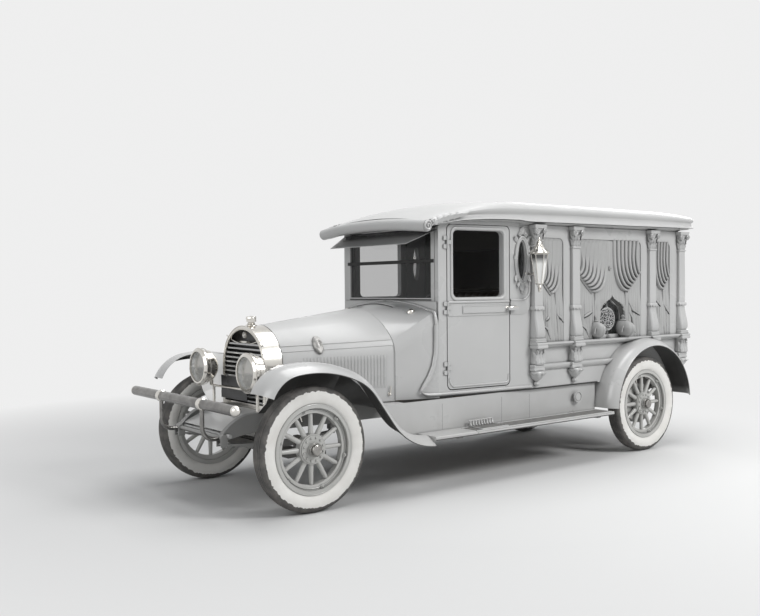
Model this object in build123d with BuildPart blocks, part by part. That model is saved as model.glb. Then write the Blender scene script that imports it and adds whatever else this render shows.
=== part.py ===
"""Carved-panel motor hearse of the early 1920s, modelled as an assembly of separate pieces.

The frame is X forward, Y to the vehicle's left, Z up, in millimetres. The origin is on the ground under
the middle of the vehicle's length. Stations along the vehicle are distances aft of the front axle, turned
into X by aft(). Every piece is written to parts/ as one STEP file whose name is the node's name.
"""

import os
from math import asin, atan2, cos, degrees, radians, sin, sqrt, tan

from build123d import *

# Overall layout
WHEELBASE = 3607.0
FRONT_OVERHANG = 628.0
REAR_OVERHANG = 773.0
TRACK = 1422.0
FRONT_AXLE_X = (WHEELBASE + REAR_OVERHANG - FRONT_OVERHANG) / 2
REAR_AXLE_X = FRONT_AXLE_X - WHEELBASE

# Fits between pieces
SEAT_GAP = 0.3
BEARING_GAP = 0.05
DOOR_GAP = 8.0
DRUM_GAP = 6.0

# Wheels
TYRE_RADIUS = 422.5
TYRE_HALF_WIDTH = 64.0
BEAD_RADIUS = 307.0
RIM_RADIUS = 292.0
RIM_HALF_WIDTH = 50.0
RIM_LIP = 14.0
FELLOE_OUTER = 276.0
FELLOE_INNER = 240.0
FELLOE_HALF_WIDTH = 27.0
SPOKE_COUNT = 12
SPOKE_TIP_RADIUS = 14.0
SPOKE_ROOT_RADIUS = 19.0
SPOKE_START = 82.0
NAVE_RADIUS = 102.0
NAVE_HALF_WIDTH = 27.0
HUB_FLANGE_RADIUS = 92.0
HUB_FLANGE = 7.0
HUB_BARREL_RADIUS = 46.0
HUB_STEP = 22.0
HUB_CAP_RADIUS = 37.0
HUB_CAP_REACH = 76.0
HUB_INBOARD = 52.0
SPINDLE_RADIUS = 20.0
SPINDLE_REACH = 40.0
BRAKE_DRUM_RADIUS = 178.0
BRAKE_DRUM_WIDTH = 62.0
BRAKE_DRUM_WALL = 8.0

# Axles and steering
KINGPIN_INSET = 105.0
KINGPIN_Y = TRACK / 2 - KINGPIN_INSET
KINGPIN_RADIUS = 16.0
KINGPIN_HEAD = 4.0
KNUCKLE_RADIUS = 27.0
KNUCKLE_HEIGHT = 92.0
YOKE_GAP = 4.0
YOKE_EAR = 20.0
YOKE_POST_WIDTH = 36.0
YOKE_POST_Y = (KINGPIN_Y - 82.0, KINGPIN_Y - 38.0)
AXLE_DROP = 70.0
AXLE_BEAM_HEIGHT = 62.0
AXLE_BEAM_STRAIGHT_Y = KINGPIN_Y - 166.0
STEER_ARM_LENGTH = 170.0
STEER_ARM_Z = 392.0
STEER_ARM_THICKNESS = 20.0
STEER_PIN_RADIUS = 9.0
TIE_ROD_RADIUS = 13.0
TIE_ROD_EYE_RADIUS = 22.0
TIE_ROD_Z = 340.0
TIE_ROD_GAP = 5.0
AXLE_TUBE_RADIUS = 44.0
AXLE_HOUSING_RADIUS = 132.0
AXLE_HOUSING_WIDTH = 150.0
TORQUE_TUBE_RADIUS = 38.0
BACKPLATE_RADIUS = 172.0
BACKPLATE = 4.0

# Chassis frame and running gear
RAIL_HEIGHT = 130.0
RAIL_WIDTH = 44.0
RAIL_WEB = 7.0
RAIL_TOP_Z = 640.0
REAR_SPRING_INSET = 189.0
REAR_SPRING_Y = TRACK / 2 - REAR_SPRING_INSET
RAIL_FRONT_Y = 308.0
RAIL_REAR_Y = REAR_SPRING_Y - 92.0
HORN_BOSS_RADIUS = 26.0
SHACKLE_CHEEK = 8.0
SPRING_WIDTH = 50.0
SPRING_LEAF = 7.5
SPRING_EYE_RADIUS = 15.0
FRONT_SPRING_Y = 318.0
FRONT_SPRING_HALF = 450.0
FRONT_SPRING_SAG = 24.0
FRONT_SPRING_LEAVES = 6
REAR_SPRING_HALF = 600.0
REAR_SPRING_SAG = 40.0
REAR_SPRING_LEAVES = 8
HANGER_LENGTH = 50.0
CROSS_LOW_Z = 570.0
CROSS_HIGH_Z = 630.0
CROSS_LENGTH = 50.0
ENGINE_LENGTH = 680.0
ENGINE_HALF_WIDTH = 180.0
ENGINE_TOP_Z = 1000.0
SUMP_HALF_WIDTH = 140.0
SUMP_LOW_Z = 470.0
GEARBOX_LENGTH = 680.0
GEARBOX_HALF_WIDTH = 110.0
GEARBOX_TOP_Z = 635.0
EXHAUST_RADIUS = 24.0
MUFFLER_RADIUS = 75.0
MUFFLER_LENGTH = 600.0
TANK_RADIUS = 120.0
TANK_HALF_LENGTH = 300.0


def aft(distance):
    """X of a station that lies this far behind the front axle."""
    return FRONT_AXLE_X - distance


# Stations along the body
HORN_TIP = aft(-FRONT_SPRING_HALF)
RADIATOR_FRONT = aft(-100)
RADIATOR_REAR = aft(45)
HOOD_FRONT = aft(50)
HOOD_REAR = aft(900)
COWL_FRONT = aft(905)
WINDSCREEN = aft(1250)
DOOR_FRONT = aft(1335)
DOOR_REAR = aft(1952)
CAB_REAR = aft(2198)
PARTITION_FRONT = aft(2206)
BODY_REAR = aft(4236)
ROOF_FRONT = aft(1075)
ROOF_REAR = REAR_AXLE_X - REAR_OVERHANG
ENGINE_FRONT = aft(140)
ENGINE_REAR = ENGINE_FRONT - ENGINE_LENGTH
GEARBOX_REAR = ENGINE_REAR - GEARBOX_LENGTH
MUFFLER_STATION = aft(2450)
TANK_STATION = aft(4020)
CROSS_STATIONS = (
    ENGINE_FRONT - CROSS_LENGTH / 2,
    ENGINE_REAR + CROSS_LENGTH / 2,
    MUFFLER_STATION,
    aft(3050),
    TANK_STATION,
    aft(4200),
)
BRACKET_STATIONS = (aft(1250), aft(2050), aft(2850))
COLUMN_STATIONS = (aft(2228), aft(2697), aft(3765), aft(4222))

# Body shell
SILL_Z = 650.0
EAVES_Z = 1985.0
WALL = 44.0
COWL_WALL = 24.0
COWL_Y = 600.0
SIDE_Y = 682.0
SIDE_LEAN = atan2(SIDE_Y - COWL_Y, WINDSCREEN - CAB_REAR)
FLOOR_THICKNESS = 40.0
SILL_BEAM = 60.0
SILL_TUCK = 28.0
DECK_Z = 830.0
DECK_THICKNESS = 40.0
PARTITION_THICKNESS = 30.0
DOOR_LOW_Z = 707.0
DOOR_HIGH_Z = 1966.0
DOOR_CORNER = 40.0
WINDOW_FRONT = aft(1391)
WINDOW_REAR = aft(1888)
WINDOW_LOW_Z = 1410.0
WINDOW_HIGH_Z = 1925.0
WINDOW_CORNER = 40.0
OVAL_STATION = aft(2085)
OVAL_Z = 1700.0
OVAL_HALF_WIDTH = 42.0
OVAL_HALF_HEIGHT = 150.0
GLASS_THICKNESS = 5.0
HANDLE_STATION = aft(1926)
HANDLE_Z = 1312.0
REAR_DOOR_HALF = 530.0
REAR_DOOR_LOW_Z = 842.0
REAR_DOOR_HIGH_Z = 1880.0
REAR_GLASS_HALF = 300.0
REAR_GLASS_LOW_Z = 1320.0
REAR_GLASS_HIGH_Z = 1740.0
REAR_GLASS_CORNER = 60.0
HINGE_OUT = 12.0
HINGE_RADIUS = 9.0
HINGE_PIN_RADIUS = 5.0
HINGE_LENGTH = 96.0
HINGE_LEAF_REACH = 36.0
HINGE_LEVELS = (870.0, 1330.0, 1830.0)
REAR_HINGE_LEVELS = (960.0, 1360.0, 1760.0)
SCREEN_DEPTH = 40.0
SCREEN_BORDER = 40.0
SCREEN_LOW_Z = 1352.0
SCREEN_GLASS_LOW_Z = 1406.0
SCREEN_BAR_Z = 1690.0
SCREEN_BAR = 24.0
VISOR_FRONT = aft(1025)
VISOR_LOW_Z = 1815.0
VISOR_HIGH_Z = 1925.0
VISOR_LOW_HALF = 488.0
VISOR_HIGH_HALF = 590.0
VISOR_SKIN = 4.0

# Hood, cowl and radiator sections: half width, top of the upright, shoulder Y and Z, top Z
FRONT_SECTION = (300.0, 928.0, 258.0, 1083.0, 1226.0)
REAR_SECTION = (500.0, 985.0, 470.0, 1100.0, 1330.0)
SCREEN_SECTION = (600.0, 1200.0, 565.0, 1310.0, 1380.0)
HOOD_SKIN = 4.0
HOOD_LOW_Z = 646.0
HOOD_ROD_RADIUS = 5.0
HOOD_ROD_GAP = 3.0
HOOD_EYE_RADIUS = 7.5
HOOD_EYE_LENGTH = 60.0
HOOD_LEFT_EYES = (0.06, 0.46, 0.84)
HOOD_RIGHT_EYES = (0.14, 0.54, 0.92)
FIREWALL = 12.0
RADIATOR_SHELL = 30.0
CORE_DEPTH = 60.0
SLAT_COUNT = 13
SLAT_TOP_Z = 1080.0
SLAT_DEPTH = 34.0
SLAT_THICKNESS = 4.0

# Fenders and running boards
FENDER_SKIN = 3.5
FENDER_INNER_Y = TRACK / 2 - 51.0
FENDER_CROWN_Y = TRACK / 2 + 34.0
FENDER_LIP_Y = TRACK / 2 + 157.0
FENDER_LIP_DROP = 62.0
FENDER_INNER_DROP = 8.0
FENDER_BEAD = 6.0
FENDER_TOP_X = aft(-70)
FENDER_TOP_Z = 1005.0
BROW_RADIUS = 950.0
BROW_FORWARD = 8.0
BROW_BACK = 24.0
NOSE_RADIUS = 300.0
NOSE_TURN = 58.0
FALL_RADIUS = 450.0
FALL_SLOPE = 53.0
SWEEP_RADIUS = 420.0
REAR_FENDER_RADIUS = 592.0
REAR_FENDER_INNER_Y = TRACK / 2 - 111.0
REAR_FENDER_WALL_LOW = 330.0
REAR_FENDER_BACK = 85.0
REAR_FENDER_TURN = 174.0
BOARD_TOP_Z = 415.0
BOARD_THICKNESS = 30.0
BOARD_OUTER_Y = FENDER_LIP_Y
VALANCE = 3.5
BRACKET_WIDTH = 40.0

# Front fittings
BUMPER_Z = 732.0
BUMPER_RADIUS = 35.0
BUMPER_HALF = 761.0
BUMPER_ARM_RADIUS = 15.0
BUMPER_ARM_Y = 312.0
LAMP_Y = 352.0
LAMP_Z = 918.0
LAMP_RIM_X = aft(-284)
LAMP_RIM_RADIUS = 135.0
LAMP_RIM_DEPTH = 26.0
LAMP_GLASS_RADIUS = 112.0
LAMP_GLASS_DEPTH = 22.0
LAMP_BODY_RADIUS = 118.0
LAMP_BODY_DEPTH = 130.0
LAMP_BAR_X = aft(-170)
LAMP_BAR_Z = 778.0
LAMP_BAR_RADIUS = 9.0
LAMP_POST_RADIUS = 11.0

# Steering column, steering wheel and seat
STEER_Y = 325.0
STEER_BOX_X = aft(640)
STEER_BOX_Z = 684.0
STEER_WHEEL_X = aft(1560)
STEER_WHEEL_Z = 1250.0
STEER_WHEEL_RADIUS = 205.0
STEER_RIM_RADIUS = 13.0
STEER_COLUMN_RADIUS = 21.0
STEER_SHAFT_RADIUS = 9.0
STEER_HUB_RADIUS = 30.0
STEER_HUB_DEPTH = 44.0
STEER_SPOKE = 16.0
SEAT_FRONT = aft(1735)
SEAT_BACK_FRONT = aft(2075)
SEAT_HALF = 515.0
SEAT_BASE_TOP_Z = 880.0
SEAT_TOP_Z = 1010.0
SEAT_BACK_TOP_Z = 1480.0

# Roof
ROOF_TOP_Z = 2195.0
ROOF_LEVEL_FRONT = aft(2000)
ROOF_LEVEL_REAR = aft(3600)
ROOF_BROW_RADIUS = 2675.0
ROOF_FALL_RADIUS = 9000.0
ROOF_BOW = 30.0
ROOF_TRIM = 50.0
ROOF_MASS = 400.0
ROOF_DIP_Z = 1938.0
ROOF_DIP_START = 8.0
ROOF_CROSS_DROP = 55.0
ROOF_HALF_WIDTH = 812.0
ROOF_FRONT_HALF = 668.0
ROOF_EDGE_RADIUS = 44.0
ROOF_SHELL = 40.0
ROOF_ROLL_RADIUS = 44.0
ROOF_ROLL_Z = 1966.0
ROOF_ROLL_RISE = 12.0
ROOF_ROLL_TUCK = 8.0

# Carved work on the sides
LEDGE_Y = 752.0
LEDGE_LOW_Z = 985.0
LEDGE_HIGH_Z = 1030.0
LEDGE_ROOT = 8.0
LOWER_MOULD_LOW_Z = 800.0
LOWER_MOULD_HIGH_Z = 852.0
LOWER_MOULD_DEPTH = 34.0
COLUMN_Y = 702.0
COLUMN_FOOT_RADIUS = 60.0
COLUMN_FOOT = 36.0
COLUMN_VASE_RADIUS = 56.0
COLUMN_SHAFT_RADIUS = 32.0
COLUMN_LEAF_Z = 1304.0
COLUMN_LEAF = 20.0
COLUMN_NECK_Z = 1806.0
COLUMN_CAPITAL_Z = 1945.0
BACKING_HALF = 46.0
BACKING_DEPTH = 14.0
BRACKET_HALF = 50.0
BREAK_OUT = 16.0
DROP_RADIUS = 56.0
DROP_LENGTH = 118.0
PANEL_DEPTH = 12.0
PANEL_TOP_Z = 1880.0
PANEL_BORDER = 34.0
PANEL_CORNER = 90.0
OGEE_STATION = aft(3194)
OGEE_HALF_WIDTH = 148.0
OGEE_LOW_Z = 1062.0
OGEE_SPRING_Z = 1236.0
OGEE_TOP_Z = 1408.0
OGEE_FRAME = 26.0
COACH_LAMP_Y = 812.0
COACH_LAMP_LOW_Z = 1440.0
COACH_LAMP_GLASS_Z = 1502.0
COACH_LAMP_CAP_Z = 1754.0
COACH_LAMP_TOP_Z = 1880.0
COACH_LAMP_FOOT_RADIUS = 42.0
COACH_LAMP_HEAD_RADIUS = 66.0
COACH_LAMP_CAP_RADIUS = 88.0
COACH_LAMP_BRACKET_Z = 1592.0
COACH_LAMP_BRACKET = 24.0
COACH_LAMP_X = aft(2140)

parts = {}


def keep(builder, name):
    """Labels a finished piece and files it under its node's name."""
    builder.part.label = name
    parts[name] = builder.part


def keep_both_sides(builder, stem):
    """Files a left-hand piece and its mirror image as two nodes."""
    keep(builder, stem + "_left")
    twin = mirror(builder.part, about=Plane.XZ)
    twin.label = stem + "_right"
    parts[twin.label] = twin


def side_view(y):
    """The plane of a side view at this Y: local x is X, local y is Z, and it faces the right-hand side."""
    return Plane.XZ.offset(-y)


def front_view(x):
    """The plane of a cross section at this X: local x is Y and local y is Z, and it faces forward."""
    return Plane.YZ.offset(x)


def span_box(x_range, y_range, z_range, mode=Mode.ADD):
    """A box between two X, two Y and two Z values."""
    centre = (sum(x_range) / 2, sum(y_range) / 2, sum(z_range) / 2)
    size = [abs(pair[1] - pair[0]) for pair in (x_range, y_range, z_range)]
    with Locations(centre):
        Box(*size, mode=mode)


# Wheels and tyres


def wheel_plane(x, side):
    """A plane at a wheel's centre whose Z runs outboard along the axle."""
    return Plane(origin=(x, side * TRACK / 2, TYRE_RADIUS), x_dir=(1, 0, 0), z_dir=(0, side, 0))


def tyre_solid():
    """A tyre with a crowned tread, round shoulders and bulging walls that close on the rim."""
    tread_half = TYRE_HALF_WIDTH * 0.66
    shoulder = TYRE_RADIUS - 12
    bulge = (TYRE_RADIUS + BEAD_RADIUS) / 2 + 4
    bead_half = RIM_HALF_WIDTH - 6
    with BuildPart() as made:
        with BuildSketch(Plane.XZ):
            with BuildLine():
                ThreePointArc((shoulder, -tread_half), (TYRE_RADIUS, 0), (shoulder, tread_half))
                ThreePointArc((shoulder, tread_half), (bulge, TYRE_HALF_WIDTH), (BEAD_RADIUS, bead_half))
                Polyline(
                    (BEAD_RADIUS, bead_half),
                    (RIM_RADIUS, bead_half),
                    (RIM_RADIUS, -bead_half),
                    (BEAD_RADIUS, -bead_half),
                )
                ThreePointArc((BEAD_RADIUS, -bead_half), (bulge, -TYRE_HALF_WIDTH), (shoulder, -tread_half))
            make_face()
        revolve(axis=Axis.Z)
    return made.part


def wheel_solid(driven):
    """A wooden artillery wheel: rim, felloe, tapered spokes, nave, hub barrel, cap and, driven, a drum."""
    rim = (
        (FELLOE_INNER, 5 - FELLOE_HALF_WIDTH),
        (FELLOE_OUTER, -FELLOE_HALF_WIDTH),
        (FELLOE_OUTER, -RIM_HALF_WIDTH),
        (RIM_RADIUS + RIM_LIP, -RIM_HALF_WIDTH),
        (RIM_RADIUS + RIM_LIP, 5 - RIM_HALF_WIDTH),
        (RIM_RADIUS - SEAT_GAP, 5 - RIM_HALF_WIDTH),
        (RIM_RADIUS - SEAT_GAP, RIM_HALF_WIDTH - 5),
        (RIM_RADIUS + RIM_LIP, RIM_HALF_WIDTH - 5),
        (RIM_RADIUS + RIM_LIP, RIM_HALF_WIDTH),
        (FELLOE_OUTER, RIM_HALF_WIDTH),
        (FELLOE_OUTER, FELLOE_HALF_WIDTH),
        (FELLOE_INNER, FELLOE_HALF_WIDTH - 5),
    )
    bore = SPINDLE_RADIUS + BEARING_GAP
    drum_edge = -NAVE_HALF_WIDTH - BRAKE_DRUM_WIDTH
    drum = (
        (HUB_BARREL_RADIUS, -NAVE_HALF_WIDTH - BRAKE_DRUM_WALL),
        (BRAKE_DRUM_RADIUS - BRAKE_DRUM_WALL, -NAVE_HALF_WIDTH - BRAKE_DRUM_WALL),
        (BRAKE_DRUM_RADIUS - BRAKE_DRUM_WALL, drum_edge),
        (BRAKE_DRUM_RADIUS, drum_edge),
        (BRAKE_DRUM_RADIUS, -NAVE_HALF_WIDTH),
    )
    hub = (
        (bore, SPINDLE_REACH),
        (bore, -HUB_INBOARD),
        (HUB_BARREL_RADIUS, -HUB_INBOARD),
        *(drum if driven else ((HUB_BARREL_RADIUS, -NAVE_HALF_WIDTH),)),
        (NAVE_RADIUS, -NAVE_HALF_WIDTH),
        (NAVE_RADIUS, NAVE_HALF_WIDTH),
        (HUB_FLANGE_RADIUS, NAVE_HALF_WIDTH),
        (HUB_FLANGE_RADIUS, NAVE_HALF_WIDTH + HUB_FLANGE),
        (HUB_BARREL_RADIUS, NAVE_HALF_WIDTH + HUB_FLANGE),
        (HUB_BARREL_RADIUS, NAVE_HALF_WIDTH + HUB_STEP),
        (HUB_CAP_RADIUS, NAVE_HALF_WIDTH + HUB_STEP),
        (HUB_CAP_RADIUS, HUB_CAP_REACH - 9),
        (HUB_CAP_RADIUS - 9, HUB_CAP_REACH),
        (0, HUB_CAP_REACH),
        (0, SPINDLE_REACH),
    )
    with BuildPart() as made:
        for outline in (rim, hub):
            with BuildSketch(Plane.XZ):
                with BuildLine():
                    Polyline(*outline, close=True)
                make_face()
            revolve(axis=Axis.Z)
        with PolarLocations(SPOKE_START, SPOKE_COUNT):
            Cone(
                SPOKE_ROOT_RADIUS,
                SPOKE_TIP_RADIUS,
                FELLOE_INNER + 10 - SPOKE_START,
                rotation=(0, 90, 0),
                align=(Align.CENTER, Align.CENTER, Align.MIN),
            )
    return made.part


def make_wheels():
    """Four tyres and four wheels, placed on their axle ends."""
    tyre = tyre_solid()
    wheels = {driven: wheel_solid(driven) for driven in (False, True)}
    corners = (
        ("front_left", FRONT_AXLE_X, 1, False),
        ("front_right", FRONT_AXLE_X, -1, False),
        ("rear_left", REAR_AXLE_X, 1, True),
        ("rear_right", REAR_AXLE_X, -1, True),
    )
    for name, x, side, driven in corners:
        for stem, shape in (("tyre_", tyre), ("wheel_", wheels[driven])):
            placed = wheel_plane(x, side) * shape
            placed.label = stem + name
            parts[placed.label] = placed


# Axles, steering and springs


def make_front_axle():
    """A dropped forged beam with a yoke at each end that takes the kingpin."""
    low = TYRE_RADIUS - AXLE_DROP - AXLE_BEAM_HEIGHT / 2
    top = low + AXLE_BEAM_HEIGHT
    inner, outer = YOKE_POST_Y
    ear_low = KNUCKLE_HEIGHT / 2 + YOKE_GAP
    ear_high = ear_low + YOKE_EAR
    with BuildPart() as axle:
        with BuildSketch(front_view(FRONT_AXLE_X)):
            with BuildLine():
                Polyline(
                    (0, low),
                    (AXLE_BEAM_STRAIGHT_Y + 20, low),
                    (outer, TYRE_RADIUS - ear_high),
                    (outer, TYRE_RADIUS + ear_high),
                    (inner, TYRE_RADIUS + ear_high),
                    (inner, TYRE_RADIUS - ear_low),
                    (AXLE_BEAM_STRAIGHT_Y, top),
                    (0, top),
                )
                mirror(about=Plane.YZ)
            make_face()
        extrude(amount=YOKE_POST_WIDTH / 2, both=True)
        for level in (1, -1):
            ear_z = TYRE_RADIUS + level * (ear_low + ear_high) / 2
            with BuildSketch(Plane.XY.offset(ear_z)):
                for side in (1, -1):
                    with Locations((FRONT_AXLE_X, side * KINGPIN_Y)):
                        Circle(KNUCKLE_RADIUS)
                    with Locations((FRONT_AXLE_X, side * (KINGPIN_Y + inner) / 2)):
                        Rectangle(YOKE_POST_WIDTH, KINGPIN_Y - inner)
            extrude(amount=YOKE_EAR / 2, both=True)
        with Locations(*[(FRONT_AXLE_X, side * KINGPIN_Y, TYRE_RADIUS) for side in (1, -1)]):
            Cylinder(KINGPIN_RADIUS + BEARING_GAP, 2 * ear_high + 10, mode=Mode.SUBTRACT)
    keep(axle, "front_axle")


def make_knuckles():
    """Kingpin boss with its pin, wheel spindle and the steering arm that runs aft to the tie rod's pin."""
    ear_high = KNUCKLE_HEIGHT / 2 + YOKE_GAP + YOKE_EAR
    hub_face = TRACK / 2 - HUB_INBOARD - 2
    spindle_end = TRACK / 2 + SPINDLE_REACH - 2
    pin_low = TIE_ROD_Z - TIE_ROD_RADIUS - 4
    arm_half = TIE_ROD_EYE_RADIUS - 6
    with BuildPart() as knuckle:
        with Locations((FRONT_AXLE_X, KINGPIN_Y, TYRE_RADIUS)):
            Cylinder(KNUCKLE_RADIUS, KNUCKLE_HEIGHT)
            Cylinder(KINGPIN_RADIUS, 2 * (ear_high + KINGPIN_HEAD))
        for radius, end in ((SPINDLE_RADIUS, spindle_end), (KNUCKLE_RADIUS, hub_face)):
            with Locations((FRONT_AXLE_X, (KINGPIN_Y + end) / 2, TYRE_RADIUS)):
                Cylinder(radius, end - KINGPIN_Y, rotation=(90, 0, 0))
        with BuildSketch(Plane.XY.offset(STEER_ARM_Z)):
            with Locations((FRONT_AXLE_X - STEER_ARM_LENGTH / 2, KINGPIN_Y)):
                Rectangle(STEER_ARM_LENGTH, 2 * arm_half)
            with Locations((FRONT_AXLE_X - STEER_ARM_LENGTH, KINGPIN_Y)):
                Circle(arm_half)
        extrude(amount=STEER_ARM_THICKNESS / 2, both=True)
        with Locations((FRONT_AXLE_X - STEER_ARM_LENGTH, KINGPIN_Y, STEER_ARM_Z)):
            Cylinder(STEER_PIN_RADIUS, STEER_ARM_Z - pin_low, align=(Align.CENTER, Align.CENTER, Align.MAX))
    keep_both_sides(knuckle, "knuckle")


def make_tie_rod():
    """A tube between two tall eyes that hang on the steering arms' pins."""
    eye_top = STEER_ARM_Z - STEER_ARM_THICKNESS / 2 - TIE_ROD_GAP
    eye_low = TIE_ROD_Z - TIE_ROD_RADIUS - 2
    pin_x = FRONT_AXLE_X - STEER_ARM_LENGTH
    with BuildPart() as rod:
        with Locations((pin_x, 0, TIE_ROD_Z)):
            Cylinder(TIE_ROD_RADIUS, 2 * KINGPIN_Y, rotation=(90, 0, 0))
        with Locations(*[(pin_x, side * KINGPIN_Y, eye_low) for side in (1, -1)]):
            Cylinder(TIE_ROD_EYE_RADIUS, eye_top - eye_low, align=(Align.CENTER, Align.CENTER, Align.MIN))
            Cylinder(STEER_PIN_RADIUS + BEARING_GAP, 4 * (eye_top - eye_low), mode=Mode.SUBTRACT)
    keep(rod, "tie_rod")


def make_rear_axle():
    """Round-cornered housing, tubes to the rear spindles, brake backplates and the torque tube."""
    plate_y = TRACK / 2 - NAVE_HALF_WIDTH - BRAKE_DRUM_WIDTH - DRUM_GAP - BACKPLATE / 2
    nose = Vector(GEARBOX_REAR - 3, 0, (SUMP_LOW_Z + GEARBOX_TOP_Z) / 2)
    root = Vector(REAR_AXLE_X, 0, TYRE_RADIUS)
    with BuildPart() as axle:
        with Locations((REAR_AXLE_X, 0, TYRE_RADIUS)):
            Cylinder(AXLE_HOUSING_RADIUS, AXLE_HOUSING_WIDTH, rotation=(90, 0, 0))
        fillet(axle.edges().filter_by(GeomType.CIRCLE), AXLE_HOUSING_WIDTH / 3)
        with Locations((REAR_AXLE_X, 0, TYRE_RADIUS)):
            Cylinder(AXLE_TUBE_RADIUS, 2 * plate_y, rotation=(90, 0, 0))
            Cylinder(SPINDLE_RADIUS, TRACK + 2 * SPINDLE_REACH - 4, rotation=(90, 0, 0))
        with Locations(*[(REAR_AXLE_X, side * plate_y, TYRE_RADIUS) for side in (1, -1)]):
            Cylinder(BACKPLATE_RADIUS, BACKPLATE, rotation=(90, 0, 0))
        with BuildSketch(Plane(origin=nose, z_dir=root - nose)):
            Circle(TORQUE_TUBE_RADIUS)
        extrude(amount=(root - nose).length)
    keep(axle, "rear_axle")


def spring_rows():
    """Spring layout: station, Y, seat height, half length, sag, leaf count."""
    front_seat = TYRE_RADIUS - AXLE_DROP + AXLE_BEAM_HEIGHT / 2 + SEAT_GAP
    rear_seat = TYRE_RADIUS + AXLE_TUBE_RADIUS + SEAT_GAP
    return (
        (FRONT_AXLE_X, FRONT_SPRING_Y, front_seat, FRONT_SPRING_HALF, FRONT_SPRING_SAG, FRONT_SPRING_LEAVES),
        (REAR_AXLE_X, REAR_SPRING_Y, rear_seat, REAR_SPRING_HALF, REAR_SPRING_SAG, REAR_SPRING_LEAVES),
    )


def eye_heights():
    """Heights of the front and the rear springs' eyes."""
    return [row[2] + row[5] * SPRING_LEAF + row[4] - SPRING_LEAF / 2 for row in spring_rows()]


def spring_side(plane, x, seat_z, half, sag, leaves):
    """Side view of a leaf pack that rests on seat_z: stepped leaves on one centre, an eye at each end."""
    radius = half * half / (2 * sag)
    mid_top = seat_z + leaves * SPRING_LEAF
    centre = (x, mid_top + radius)
    reach = degrees(atan2(half, radius - sag))
    eye_z = mid_top + sag - SPRING_LEAF / 2
    with BuildSketch(plane) as pack:
        for number in range(leaves):
            turn = reach * (1 - 0.8 * number / leaves)
            inner = radius + number * SPRING_LEAF
            with BuildLine():
                top = CenterArc(centre, inner, 270 - turn, 2 * turn)
                low = CenterArc(centre, inner + SPRING_LEAF, 270 - turn, 2 * turn)
                Line(top @ 0, low @ 0)
                Line(top @ 1, low @ 1)
            make_face()
        with Locations((x - half, eye_z), (x + half, eye_z)):
            Circle(SPRING_EYE_RADIUS)
    return pack.sketch


def make_springs():
    """Four leaf packs that rest on the axles."""
    with BuildPart() as springs:
        for x, y, seat_z, half, sag, leaves in spring_rows():
            for side in (1, -1):
                pack = spring_side(side_view(side * y), x, seat_z, half, sag, leaves)
                extrude(pack, amount=SPRING_WIDTH / 2, both=True)
    keep(springs, "leaf_springs")


# Chassis frame, engine and what hangs below


def rail_y(x):
    """Distance of a frame rail's centre from the vehicle's middle at this station."""
    return RAIL_FRONT_Y + (RAIL_REAR_Y - RAIL_FRONT_Y) * (HORN_TIP - x) / (HORN_TIP - BODY_REAR)


def horn_boss_z():
    """Height of the cross tube through the horn tips, just above the front spring eyes."""
    return eye_heights()[0] + SPRING_EYE_RADIUS + SEAT_GAP + HORN_BOSS_RADIUS


def rail_side(plane, inset):
    """Side view of a rail from the horn tip aft, shrunk by the channel's wall."""
    spread = (RAIL_REAR_Y - RAIL_FRONT_Y) / (HORN_TIP - BODY_REAR)
    rear = -(HORN_TIP - BODY_REAR) * sqrt(1 + spread * spread)
    top = RAIL_TOP_Z - inset
    low = RAIL_TOP_Z - RAIL_HEIGHT + inset
    tip_top = (0, horn_boss_z() + HORN_BOSS_RADIUS - inset)
    tip_low = (0, horn_boss_z() - HORN_BOSS_RADIUS + inset)
    with BuildSketch(plane) as rail:
        with BuildLine():
            Polyline((-330, low), (rear, low), (rear, top), (-260, top))
            TangentArc((-260, top), tip_top, tangent=(1, 0))
            Line(tip_top, tip_low)
            TangentArc((-330, low), tip_low, tangent=(1, 0))
        make_face()
    return rail.sketch


def spring_hangers():
    """Cheeks at the horn and hangers from the rail that carry the left-hand springs' eyes."""
    front_eye, rear_eye = eye_heights()
    cheek = SPRING_WIDTH / 2 + SEAT_GAP
    for y in (FRONT_SPRING_Y - cheek - SHACKLE_CHEEK, FRONT_SPRING_Y + cheek):
        span_box(
            (HORN_TIP - HORN_BOSS_RADIUS, HORN_TIP + HORN_BOSS_RADIUS),
            (y, y + SHACKLE_CHEEK),
            (front_eye - SPRING_EYE_RADIUS, horn_boss_z()),
        )
    shackle = aft(FRONT_SPRING_HALF)
    span_box(
        (shackle - HANGER_LENGTH / 2, shackle + HANGER_LENGTH / 2),
        (FRONT_SPRING_Y - SPRING_WIDTH / 2, FRONT_SPRING_Y + SPRING_WIDTH / 2),
        (front_eye + SPRING_EYE_RADIUS + SEAT_GAP, RAIL_TOP_Z - RAIL_HEIGHT + RAIL_WEB),
    )
    for end in (1, -1):
        x = REAR_AXLE_X + end * REAR_SPRING_HALF
        span_box(
            (x - HANGER_LENGTH / 2, x + HANGER_LENGTH / 2),
            (rail_y(x) + RAIL_WIDTH / 2 - RAIL_WEB, REAR_SPRING_Y + SPRING_WIDTH / 2),
            (rear_eye + SPRING_EYE_RADIUS + SEAT_GAP, RAIL_TOP_Z - 5),
        )


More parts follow.
